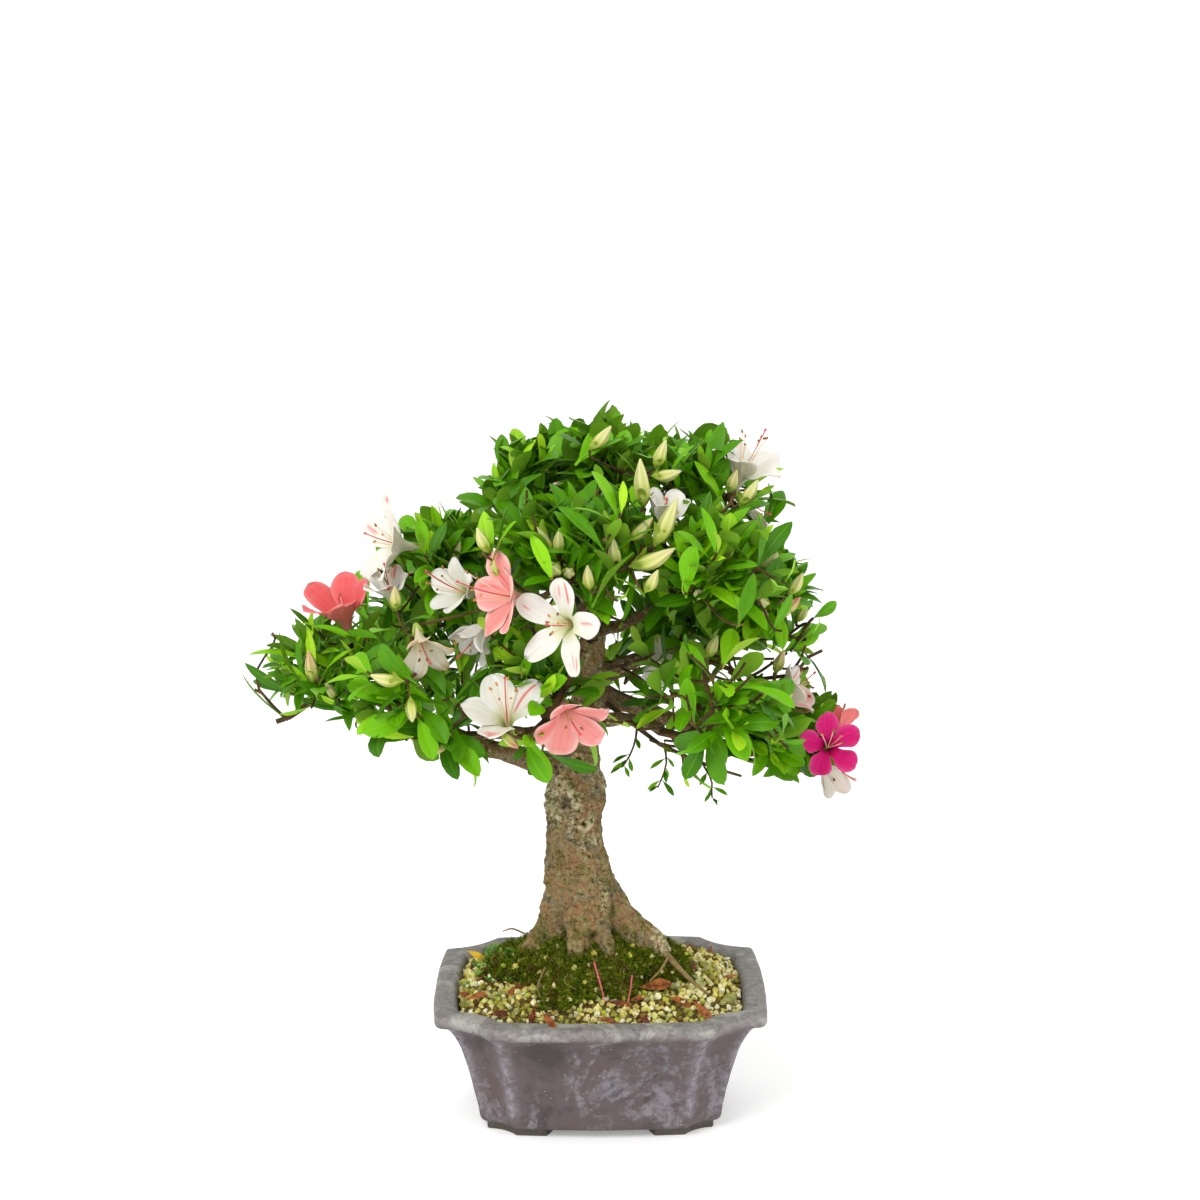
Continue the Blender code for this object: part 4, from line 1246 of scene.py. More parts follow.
BOUGHS = (
    Bough("bough_lower_left", 0.226, (-0.108, -0.010, 0.258), -0.004, 0.0080, 0.0036),
    Bough("bough_left_front", 0.238, (-0.070, -0.050, 0.262), 0.004, 0.0062, 0.0032),
    Bough("bough_left_back", 0.250, (-0.060, 0.046, 0.276), 0.003, 0.0060, 0.0032),
    Bough("bough_upper_left", 0.284, (-0.064, -0.003, 0.334), -0.006, 0.0052, 0.0028),
    Bough("bough_front", 0.254, (-0.029, -0.052, 0.276), 0.003, 0.0052, 0.0030),
    Bough("bough_right_front", 0.250, (0.036, -0.048, 0.264), 0.006, 0.0052, 0.0030),
    Bough("bough_lower_right", 0.272, (0.076, -0.008, 0.242), 0.004, 0.0064, 0.0032),
    Bough("bough_middle_right", 0.284, (0.060, -0.004, 0.302), 0.002, 0.0052, 0.0028),
    Bough("bough_right_back", 0.274, (0.036, 0.046, 0.286), 0.004, 0.0052, 0.0030),
    Bough("bough_back", 0.296, (-0.012, 0.054, 0.320), 0.000, 0.0048, 0.0028),
    Bough("bough_upper_front", 0.306, (-0.010, -0.044, 0.346), -0.004, 0.0044, 0.0026),
    Bough("bough_upper_right", 0.312, (0.036, -0.036, 0.336), -0.002, 0.0042, 0.0026),
    Bough("bough_upper_back", 0.326, (0.010, 0.040, 0.366), -0.004, 0.0040, 0.0024),
)


@dataclass
class Limbs:
    """The thirteen boughs, each one tapering, slightly crooked limb with a collar at the trunk."""

    sides: int = 20
    steps: int = 44
    crook: float = 0.0016
    collar: float = 0.45
    relief: Relief = field(default_factory=lambda: Relief(7))

    @staticmethod
    def path(bough: Bough, steps: int) -> Array:
        """The axis, from the trunk's to the tip, on one smooth bend.

        Args:
            bough: The bough.
            steps: Points along it.

        Returns:
            The points.
        """
        foot, tip = Trunk.centre(bough.level), np.array(bough.tip)
        middle = (foot + tip) / 2 + bough.rise * UP
        bend = 2 * middle - (foot + tip) / 2
        return arc(foot, bend, tip, np.linspace(0.0, 1.0, steps)[:, None])

    def build(self) -> None:
        """Make all the boughs as one mesh and dress it."""
        shape = Shape()
        share = np.linspace(0.0, 1.0, self.steps)
        for number, bough in enumerate(BOUGHS):
            path = self.path(bough, self.steps)
            shift = self.relief.shifts(path + number, 0.018, 2)
            path = path + self.crook * np.sin(math.pi * share)[:, None] * shift
            radius = bough.foot_radius + (bough.tip_radius - bough.foot_radius) * share
            radius = radius * (1 + self.collar * np.exp(-share / 0.10))
            first, second = across(np.gradient(path, axis=0))
            out = spokes(first[:, None], second[:, None], self.sides)
            rings = path[:, None] + radius[:, None, None] * out
            lumps = 0.13 * self.relief.layered(rings, 0.007, 3, 0.6)
            rings = path[:, None] + (radius[:, None] * (1 + lumps))[..., None] * out
            points = np.vstack((rings.reshape(-1, 3), path[0], path[-1]))
            # Painted shade in the dips of the bough's lumps.
            hollow = np.append(ease(-lumps, 0.05, 0.14), (0.0, 0.0))
            # Painted highlight on the bough's lumps.
            crest = np.append(ease(lumps, 0.05, 0.16), (0.0, 0.0))
            shape.add(points, *closed(self.steps, self.sides), hollow=hollow, crest=crest, low=0.0)
        finish = Bark(tan=tone(118, 96, 58), grey=tone(92, 76, 46), rosy=tone(126, 92, 58), scale=0.5)
        made = shape.made("bough_bark", finish.material("bough_bark"), sharp=75)
        settle(made, "boughs", *(bough.name for bough in BOUGHS))


# ---- Soil and moss ----


@dataclass(frozen=True)
class Granules:
    """Loose pumice granules, cream to yellow-green, some brown."""

    def material(self) -> Material:
        """The granules' material. Each keeps its own `tint`.

        Returns:
            The material.
        """
        board = Board("pumice_granules", roughness=0.9, specular_ior_level=0.15)
        shade = board.ramp(
            board.kept("tint"),
            (0.0, tone(84, 58, 20)), (0.10, tone(140, 112, 50)), (0.22, tone(204, 192, 92)),
            (0.42, tone(226, 214, 124)), (0.64, tone(246, 236, 182)), (0.82, tone(196, 200, 62)),
            (1.0, tone(252, 247, 220)),
        )
        stain = board.span(board.noise(0.016, 4, 0.6), 0.50, 0.60, 0.0, 0.60)
        shade = board.blend(stain, shade, tone(104, 114, 14))
        shade = board.patch(board.noise(0.0016, 4, 0.7), 0.53, 0.66, 0.6, shade, tone(96, 72, 28))
        board.bump((board.noise(0.0009, 3, 0.7), 0.0003))
        return board.dressed(shade)


@dataclass(frozen=True)
class Moss:
    """Short moss, dark green with yellow tips and brown threads."""

    def material(self, name: str, tufted: bool = False) -> Material:
        """The moss's material. Tufts each keep their own `tint`.

        Args:
            name: The material's name.
            tufted: Whether it is for the tufts.

        Returns:
            The material.
        """
        board = Board(name, roughness=0.95, specular_ior_level=0.1)
        shade = board.ramp(
            board.noise(0.0042, 6, 0.8, 0.8),
            (0.36, tone(24, 34, 1)), (0.46, tone(60, 82, 4)), (0.53, tone(98, 112, 12)),
            (0.60, tone(150, 146, 54)),
            (0.68, tone(196, 184, 118)),
        )
        shade = board.patch(board.noise(0.012, 4, 0.65), 0.52, 0.60, 0.85, shade, tone(78, 58, 22))
        if tufted:
            tip = board.ramp(
                board.kept("tint"), (0.0, tone(34, 48, 2)), (0.4, tone(84, 112, 8)),
                (0.75, tone(132, 148, 30)),
                (0.92, tone(122, 92, 44)), (1.0, tone(200, 190, 130)),
            )
            shade = board.blend(0.6, shade, tip)
        board.bump((board.noise(0.0010, 4, 0.8), 0.0009))
        return board.dressed(shade)


@dataclass
class Ground:
    """The soil in the pot, its granules, and the moss round the trunk's foot."""

    pot: Pot
    trunk: Trunk
    top: float = 0.0915
    edge_top: float = 0.0785
    slope: tuple = ((0.006, 0.0850), (0.016, 0.0915))
    wall_gap: float = 0.0006
    moss_reach: float = 0.0150
    granule: float = 0.0020
    moss_rise: float = 0.0255
    relief: Relief = field(default_factory=lambda: Relief(21))

    def edge_inset(self) -> float:
        """How far the soil's edge stands in from the rim."""
        return self.pot.inner_inset(self.edge_top) + self.wall_gap

    def height(self, inwards: Array) -> Array:
        """The soil's height at a distance in from its edge.

        Args:
            inwards: The distance.

        Returns:
            The height.
        """
        runs = [0.0, *(run for run, _ in self.slope)]
        tops = [self.edge_top, *(rise for _, rise in self.slope)]
        return np.interp(inwards, runs, tops) - 0.0022 * ease(inwards, 0.0, 0.006)

    def surface(self) -> Array:
        """Rings of the soil's top, from its edge inwards to the middle.

        Returns:
            The rings, as (rings, points, 3).
        """
        edge = self.edge_inset()
        rows = []
        for inwards in np.linspace(0.0, 0.0180, 22):
            rows.append(self.pot.plan(edge + inwards, float(self.height(inwards))))
        inner = rows[-1]
        for share in np.linspace(0.92, 0.06, 20):
            rows.append(inner * (share, share, 1.0))
        rings = np.array(rows)
        calm = ease(np.arange(len(rows)) * 0.0008, 0.0, 0.004)[:, None]
        rings[..., 2] += calm * (
            0.0012 * self.relief.layered(rings, 0.016, 3) + 0.0009 * self.relief.at(rings, 0.0024)
        )
        return rings

    def soil(self) -> None:
        """The bed of soil under the granules, closed below on the pot's floor."""
        rings = self.surface()
        floor = self.pot.plan(self.pot.floor_inset + self.wall_gap, self.pot.floor_top + 0.0004)
        rings = np.concatenate((floor[None], rings))
        shape = Shape()
        shape.add(capped(rings), *closed(*rings.shape[:2]))
        board = Board("damp_soil", roughness=0.95, specular_ior_level=0.2)
        shade = board.ramp(board.noise(0.003, 4, 0.7), (0.35, tone(58, 46, 26)), (0.62, tone(122, 104, 56)))
        board.bump((board.noise(0.002, 3, 0.7), 0.001))
        settle(shape.made("soil_bed", board.dressed(shade)), "soil", "soil")

    def carrier(self, name: str, lift: float) -> Object:
        """The soil's top as an open surface for the scatter to run over, lifted a little.

        Args:
            name: The surface's name.
            lift: How far it is lifted.

        Returns:
            The surface.
        """
        rings = self.surface()[1:34] + (0.0, 0.0, lift)
        shape = Shape()
        shape.add(rings, lattice(len(rings), rings.shape[1]))
        return shape.made(name)

    def strew(
        self, name: str, carrier: Object, radius: float, spacing: float, seed: int, uneven: float, node: str
    ) -> None:
        """Strew granules over a surface.

        Args:
            name: The piece's name.
            carrier: The surface.
            radius: Of one granule.
            spacing: The least distance between two.
            seed: Of their places.
            uneven: How rough they are.
            node: The frame's node that they stand for.
        """
        scatter = Scatter(name)
        form = scatter.form("UVSphere", Segments=6, Rings=5, Radius=radius)
        grains = scatter.rough(scatter.spread(form, spacing, seed, upright=False), uneven, 0.0022)
        settle(scatter.over(carrier, grains, Granules().material(), name), "soil", node)

    def granules(self) -> None:
        """Two layers of granules over the soil."""
        for name, seed, spacing, lift in (
            ("granules_under", 3, 0.0032, -0.0004), ("granules_top", 9, 0.0036, 0.0014),
        ):
            carrier = self.carrier(name + "_carrier", lift)
            self.strew(name, carrier, self.granule, spacing, seed, 0.0046, "soil")

    def moss_rings(self) -> Array:
        """Rings of the moss, from inside the trunk's foot outwards and down into the soil.

        Returns:
            The rings, as (rings, points, 3).
        """
        bearing = np.linspace(0, 360, 240, endpoint=False)
        foot = self.trunk.surface(bearing, np.full(bearing.shape, self.top))
        wall = self.trunk.surface(bearing, np.full(bearing.shape, self.top + self.moss_rise - 0.004))
        out = unit((foot - self.trunk.centre(self.top)) * LEVEL)
        ragged = 0.50 + 0.60 * self.relief.layered(foot, 0.016, 4, 0.6)
        ragged = ragged + 0.42 * hump(bearing_gap(bearing, -92), 60)
        ragged = ragged + 0.35 * self.relief.layered(foot, 0.0055, 3, 0.6)
        ragged = ragged + 0.35 * hump(bearing_gap(bearing, 90), 60)
        ragged = ragged - 0.30 * hump(bearing_gap(bearing, -22), 26)
        ragged = np.maximum(ragged, 0.12)
        climb = 0.90 + 0.12 * self.relief.at(foot, 0.018)
        for crease, wide in ((-46, 11), (-89, 7), (-139, 10), (58, 9), (126, 9)):
            climb = climb + 0.34 * hump(bearing_gap(bearing, crease), wide)
        rows = []
        for share in (-0.7, -0.3, *np.linspace(0.0, 1.06, 22)):
            slide = ease(np.full(bearing.shape, share), 0.0, 0.55)[:, None]
            grow = max(share, 0.0) * self.moss_reach * ragged + min(share, 0.0) * 0.006
            point = wall + (foot - wall) * slide + out * (grow + 0.0012)[:, None]
            drop = 1 - max(share, 0.0) ** 1.15
            point[:, 2] = self.top - 0.0012 + self.moss_rise * climb * drop
            rows.append(point)
        rings = np.array(rows)
        fade = np.clip(np.arange(len(rows)) / 4, 0, 1)[:, None]
        rings[..., 2] += fade * (
            0.0030 * self.relief.layered(rings, 0.010, 4, 0.6) + 0.0008 * self.relief.at(rings, 0.002)
        )
        return rings

    def moss(self) -> None:
        """The moss cushion and the short tufts on it."""
        rings = self.moss_rings()[::-1]
        around = rings.shape[1]
        under = rings * LEVEL + (0.0, 0.0, self.top - 0.004)
        whole = np.concatenate((under[:1], rings, under[-1:]))
        step = np.arange(around)
        after = (step + 1) % around
        last = (len(whole) - 1) * around
        seam = np.stack((after, last + after, last + step, step), axis=-1)
        shape = Shape()
        shape.add(whole, np.concatenate((lattice(len(whole), around), seam)))
        settle(shape.made("moss_cushion", Moss().material("moss_cushion")), "moss", "moss_mound")
        carrier = Shape()
        carrier.add(rings, lattice(len(rings), around))
        bed = carrier.made("loose_carrier")
        self.strew("granules_loose", bed, 0.8 * self.granule, 0.0072, 29, 0.0040, "moss_mound")
        scatter = Scatter("moss_tufts")
        form = scatter.form("Cone", Vertices=3, Radius_Top=0.0, Radius_Bottom=0.00055, Depth=0.0034)
        strewn = scatter.spread(form, 0.00094, 17, upright=True)
        finish = Moss().material("moss_tufts", tufted=True)
        settle(
            scatter.over(carrier.made("moss_carrier"), strewn, finish, "moss_tufts"), "moss", "moss_mound",
        )

    def build(self) -> None:
        """Fill the pot."""
        self.soil()
        self.granules()
        self.moss()


# ---- Litter ----


class Fallen(NamedTuple):
    """A fallen leaf: its place, length, the bearing it points along, width to length, and its colour."""

    x: float
    y: float
    length: float
    bearing: float
    slim: float
    colour: int


BROWN, RUSSET, OLIVE, YELLOW = range(4)
FALLEN = (
    Fallen(0.0210, -0.0340, 0.024, 8, 1.0, BROWN), Fallen(0.0020, -0.0460, 0.018, -12, 0.7, RUSSET),
    Fallen(0.0160, -0.0470, 0.016, 24, 0.7, BROWN), Fallen(0.0400, -0.0400, 0.019, -30, 0.8, BROWN),
    Fallen(0.0560, -0.0120, 0.016, 80, 0.9, RUSSET), Fallen(-0.0360, -0.0580, 0.019, -60, 0.7, BROWN),
    Fallen(-0.0400, -0.0500, 0.016, -100, 0.8, RUSSET), Fallen(-0.0620, -0.0360, 0.020, 36, 0.7, BROWN),
    Fallen(-0.0700, -0.0560, 0.016, 10, 0.9, RUSSET), Fallen(-0.0040, -0.0620, 0.016, -14, 0.8, BROWN),
    Fallen(0.0200, -0.0500, 0.017, -50, 0.7, RUSSET), Fallen(0.0560, -0.0440, 0.020, -58, 0.8, BROWN),
    Fallen(-0.0800, -0.0020, 0.017, 30, 0.8, BROWN), Fallen(-0.0500, 0.0240, 0.011, 70, 0.9, RUSSET),
    Fallen(-0.0840, -0.0390, 0.016, 14, 0.9, BROWN), Fallen(-0.0900, -0.0190, 0.012, -20, 0.9, RUSSET),
    Fallen(0.0870, 0.0010, 0.012, 210, 0.8, BROWN), Fallen(0.0500, 0.0040, 0.012, 40, 0.5, BROWN),
    Fallen(-0.0720, -0.0360, 0.017, 6, 1.0, OLIVE), Fallen(0.0720, -0.0400, 0.016, 34, 1.3, OLIVE),
    Fallen(-0.0860, 0.0240, 0.018, -34, 0.8, YELLOW), Fallen(-0.0300, 0.0560, 0.016, 110, 0.8, BROWN),
    Fallen(0.0400, 0.0600, 0.014, 200, 0.8, RUSSET), Fallen(0.0700, 0.0420, 0.015, 60, 0.8, BROWN),
    Fallen(-0.0720, 0.0480, 0.014, 20, 0.8, BROWN), Fallen(0.0100, 0.0700, 0.013, 170, 0.6, RUSSET),
)
# Each line is a thin thread on the ground: points along it, and its half-width at each end.
STALKS = (
    (((-0.0041, -0.0400, 0.1136), (-0.0006, -0.0480, 0.1040), (0.0025, -0.0550, 0.0940)), 0.0006, 0.0004),
    (((0.0191, -0.0450, 0.1071), (0.0182, -0.0500, 0.1010), (0.0164, -0.0550, 0.0940)), 0.0005, 0.0004),
)
ROOTLETS = (
    (
        (
            (0.0400, -0.0220, 0.1120), (0.0500, -0.0300, 0.1030), (0.0590, -0.0360, 0.0965),
            (0.0660, -0.0400, 0.0925),
        ),
        0.0022, 0.0006,
    ),
    (((0.0420, -0.0260, 0.1110), (0.0370, -0.0350, 0.1060), (0.0300, -0.0400, 0.1010)), 0.0011, 0.0004),
    (((-0.0440, -0.0040, 0.1160), (-0.0550, -0.0060, 0.1225), (-0.0610, -0.0080, 0.1210)), 0.0007, 0.0004),
    (((-0.0200, -0.0420, 0.1070), (-0.0230, -0.0460, 0.1030), (-0.0150, -0.0500, 0.1000)), 0.0004, 0.0002),
    (((-0.0340, -0.0300, 0.1060), (-0.0390, -0.0380, 0.0970), (-0.0370, -0.0460, 0.0930)), 0.0009, 0.0004),
)
WEEDS = (
    (-0.0720, 0.0170), (-0.0620, 0.0060), (-0.0740, -0.0050), (-0.0560, -0.0135), (-0.0680, 0.0260),
    (-0.0540, 0.0180),
)


@dataclass
class Litter:
    """Fallen leaves, dropped stalks, loose rootlets and small weeds on the soil and the moss."""

    weeds: int = 46
    weed_leaves: int = 6
    leaf_step: float = 0.0004
    leaf_gap: float = 0.0004
    start_lift: float = 0.0010
    weed_spread: float = 0.0048
    cover: tuple = ("granules_top", "moss_cushion", "soil_bed", "pot_clay")

    def drop(self, x: float, y: float) -> float:
        """The height of the ground at a place.

        Args:
            x: Across, from the pot's middle.
            y: Backwards from there.

        Returns:
            The height.
        """
        tops = []
        for name in self.cover:
            piece = bpy.data.objects[name]
            hit, place, _, _ = piece.ray_cast((x + HOME[0], y + HOME[1], 0.3), (0.0, 0.0, -1.0))
            tops += [place[2]] if hit else []
        return max(tops, default=0.09)

    def leaves(self, rng: np.random.Generator) -> None:
        """The fallen leaves, each a little curled.

        Args:
            rng: For their curl and tilt.
        """
        shape = Shape()
        quads, caps, _, _ = LeafForm.faces()
        for leaf in FALLEN:
            form = LeafForm(rng, broad=leaf.slim > 0.75).draw() / LeafForm.length * leaf.length
            turn = math.radians(leaf.bearing)
            run = unit(
                np.array((math.cos(turn), math.sin(turn), 0.40 * math.sin(turn) + rng.uniform(-0.05, 0.15)))
            )
            side = unit(np.cross(UP, run))
            side = unit(side + UP * math.copysign(rng.uniform(0.35, 1.0), side[1]))
            face = np.cross(run, side)
            root = np.array((leaf.x, leaf.y, self.drop(leaf.x, leaf.y) + self.start_lift))
            points = root + form[:, :1] * run + leaf.slim * form[:, 1:2] * side + form[:, 2:] * face
            gaps = sorted(point[2] - self.drop(point[0], point[1]) for point in points[::5])
            shape.add(points - UP * (gaps[2] + self.leaf_gap), quads, caps, slot=leaf.colour)
        finishes = []
        for name, light, dark in (
            ("brown", tone(166, 98, 44), tone(104, 54, 22)), ("russet", tone(132, 66, 36), tone(76, 36, 16)),
            ("olive", tone(158, 154, 84), tone(116, 120, 56)),
            ("yellow", tone(226, 182, 42), tone(190, 140, 20)),
        ):
            board = Board(f"fallen_{name}", roughness=0.6, specular_ior_level=0.3)
            shade = board.ramp(board.noise(0.004, 4, 0.6), (0.42, dark), (0.58, light))
            board.bump((board.noise(0.0015, 3, 0.6), 0.0002))
            finishes.append(board.dressed(shade))
        settle(shape.made("fallen_leaves", *finishes), "soil", "soil")

    def threads(self, name: str, lines: tuple, colour: tuple) -> None:
        """Stalks or rootlets as one mesh.

        Args:
            name: The piece's name.
            lines: The lines they follow, with the half-width at each end.
            colour: Their main colour.
        """
        shape = Shape()
        for marks, base, tip in lines:
            path = through(marks, np.linspace(0.0, 1.0, 9))
            path[1:-1] = (path[:-2] + path[1:-1] + path[2:]) / 3
            tubes(shape, path[None], np.linspace(base, tip, 9)[None], 6)
        board = Board(name, roughness=0.6, specular_ior_level=0.3)
        shade = board.patch(board.noise(0.003), 0.4, 0.7, 0.5, colour, tone(70, 50, 24))
        settle(shape.made(name, board.dressed(shade)), "soil", "soil")

    def sprouts(self, rng: np.random.Generator) -> None:
        """Rosettes of tiny leaves in the moss's edge.

        Args:
            rng: For their places and sizes.
        """
        shape = Shape()
        quads, caps, _, _ = LeafForm.faces()
        forms = [LeafForm(rng, broad=True).draw() / LeafForm.length for _ in range(4)]
        for number in range(self.weeds):
            middle = np.array(WEEDS[number % len(WEEDS)]) + rng.normal(0.0, self.weed_spread, 2)
            root = np.array((*middle, self.drop(*middle)))
            first = rng.uniform(0, 6.28)
            for leaf in range(self.weed_leaves):
                turn = first + leaf * GOLDEN_ANGLE
                out = np.array((math.cos(turn), math.sin(turn), 0.0))
                rise = rng.uniform(0.35, 1.3)
                run = unit(out + rise * UP)
                face = unit(UP - rise * out)
                side = np.cross(face, run)
                form = forms[leaf % 4] * rng.uniform(0.0034, 0.0062)
                points = root + UP * self.leaf_step * leaf + form[:, :1] * run
                points = points + form[:, 1:2] * side + form[:, 2:] * face
                shape.add(points, quads, caps)
        board = Board("weed_green", roughness=0.6, specular_ior_level=0.3)
        shade = board.ramp(board.noise(0.006, 3), (0.40, tone(62, 112, 20)), (0.60, tone(122, 164, 54)))
        settle(shape.made("weeds", board.dressed(shade)), "moss", "soil")

    def build(self) -> None:
        """Lay the litter on the finished ground."""
        rng = np.random.default_rng(8)
        self.leaves(rng)
        self.threads("dropped_stalks", STALKS, tone(214, 96, 104))
        self.threads("rootlets", ROOTLETS, tone(140, 118, 72))
        self.sprouts(rng)


# ---- The masses of the crown ----


class Habit(Enum):
    """How the leaves of a mass grow."""

    UPRIGHT = "upright"
    STRAP = "strap"
    BROAD = "broad"


class Mass(NamedTuple):
    """A leafy mass: its ellipsoid, the bough or trunk level that it grows from, and its habit."""

    name: str
    centre: tuple
    radii: tuple
    carrier: object
    habit: Habit


MASSES = (
    Mass(
        "foliage_far_left", (-0.156, -0.015, 0.288), (0.057, 0.060, 0.044), "bough_lower_left", Habit.STRAP,
    ),
    Mass(
        "foliage_left_front", (-0.100, -0.076, 0.284), (0.054, 0.052, 0.046), "bough_left_front",
        Habit.BROAD,
    ),
    Mass(
        "foliage_left_back", (-0.094, 0.072, 0.300), (0.060, 0.058, 0.048), "bough_left_back",
        Habit.UPRIGHT,
    ),
    Mass(
        "foliage_upper_left", (-0.098, -0.005, 0.357), (0.048, 0.052, 0.042), "bough_upper_left",
        Habit.UPRIGHT,
    ),
    Mass("foliage_front", (-0.032, -0.092, 0.292), (0.048, 0.046, 0.050), "bough_front", Habit.BROAD),
    Mass(
        "foliage_right_front", (0.062, -0.082, 0.288), (0.052, 0.048, 0.050), "bough_right_front",
        Habit.BROAD,
    ),
    Mass(
        "foliage_far_right", (0.110, -0.012, 0.250), (0.048, 0.054, 0.038), "bough_lower_right",
        Habit.BROAD,
    ),
    Mass(
        "foliage_middle_right", (0.096, -0.005, 0.338), (0.042, 0.052, 0.038), "bough_middle_right",
        Habit.BROAD,
    ),
    Mass(
        "foliage_right_back", (0.064, 0.080, 0.302), (0.058, 0.054, 0.052), "bough_right_back", Habit.BROAD,
    ),
    Mass("foliage_back", (-0.016, 0.096, 0.344), (0.056, 0.050, 0.052), "bough_back", Habit.UPRIGHT),
    Mass(
        "foliage_upper_front", (-0.014, -0.086, 0.374), (0.050, 0.046, 0.044), "bough_upper_front",
        Habit.UPRIGHT,
    ),
    Mass(
        "foliage_upper_right", (0.062, -0.074, 0.364), (0.048, 0.044, 0.042), "bough_upper_right",
        Habit.UPRIGHT,
    ),
    Mass(
        "foliage_upper_back", (0.020, 0.072, 0.404), (0.060, 0.052, 0.040), "bough_upper_back",
        Habit.UPRIGHT,
    ),
    Mass("foliage_top_left", (-0.050, -0.004, 0.406), (0.050, 0.052, 0.043), 0.338, Habit.UPRIGHT),
    Mass("foliage_top_right", (0.064, -0.006, 0.402), (0.052, 0.054, 0.043), 0.350, Habit.UPRIGHT),
    Mass("foliage_top", (0.006, -0.006, 0.412), (0.042, 0.050, 0.038), 0.369, Habit.UPRIGHT),
)
FOLIAGE = tuple(mass.name for mass in MASSES)
CENTRES = np.array([mass.centre for mass in MASSES])
WEIGHTS = np.array([np.prod(mass.radii) ** (2 / 3) for mass in MASSES])
CROWN_LOW, CROWN_HIGH = (np.array(corner) - HOME for corner in cad_box)


def room(index: int, points: Array) -> Array:
    """How far inside the halfway planes to its neighbours each of a mass's points is.

    Args:
        index: Which mass.
        points: Places in or near it.

    Returns:
        One distance for each point, below zero past a plane.
    """
    power = ((points[:, None, :] - CENTRES[None]) ** 2).sum(axis=2) - WEIGHTS[None]
    apart = np.linalg.norm(CENTRES - CENTRES[index], axis=1)
    apart[index] = 1.0
    margin = (power - power[:, [index]]) / (2 * apart)
    margin[:, index] = np.inf
    return margin.min(axis=1)


def nearest_mass(place: Place) -> int:
    """The number of the mass that a place belongs to."""
    power = ((np.array(place) - CENTRES) ** 2).sum(axis=1) - WEIGHTS
    return int(np.argmin(power))


def within(mass: Mass, points: Array, slack: float) -> Array:
    """Which points are inside the mass's ellipsoid, grown by the slack."""
    scaled = (points - np.array(mass.centre)) / (np.array(mass.radii) * slack)
    return (scaled**2).sum(axis=1) <= 1.0


def limb_clearance(points: Array) -> Array:
    """How far each point is from the surface of the nearest limb.

    Args:
        points: The points.

    Returns:
        One distance for each.
    """
    heights = np.linspace(0.20, STATIONS[-1].z, 24)
    axes = [(Trunk.centre(heights), Trunk.radius(heights))]
    for bough in BOUGHS:
        axes.append((Limbs.path(bough, 9), np.linspace(bough.foot_radius, bough.tip_radius, 9)))
    nearest = np.full(len(points), np.inf)
    for path, radii in axes:
        start, run = path[:-1], np.diff(path, axis=0)
        share = ((points[:, None] - start) * run).sum(axis=2) / (run**2).sum(axis=1)
        share = np.clip(share, 0.0, 1.0)
        spot = start + share[..., None] * run
        radius = radii[:-1] + share * np.diff(radii)
        nearest = np.minimum(nearest, (np.linalg.norm(points[:, None] - spot, axis=2) - radius).min(axis=1))
    return nearest


# ---- Flowers ----


class Tint(Enum):
    """The colours of a flower."""

    WHITE = "white"
    SALMON = "salmon"
    CORAL = "coral"
    MAGENTA = "magenta"
    FADING = "fading"


class Streak(NamedTuple):
    """A red streak: petal, place across it from -1 to 1, start and end along it, half-width, strength."""

    petal: int
    side: float
    start: float
    end: float
    width: float
    strength: float


class Bloom(NamedTuple):
    """A flower: its mass, throat, the way it faces, opening and turn in degrees, size and colours."""

    name: str
    mass: str
    throat: tuple
    facing: tuple
    opening: float
    turn: float
    length: float
    width: float
    tint: Tint
    streaks: tuple = ()
    curl: float = 18.0
    stamens: int = 5
    reach: float = 0.024
    missing: tuple = ()
    opens: tuple = (0, 0, 0, 0, 0)
    veiled: bool = False


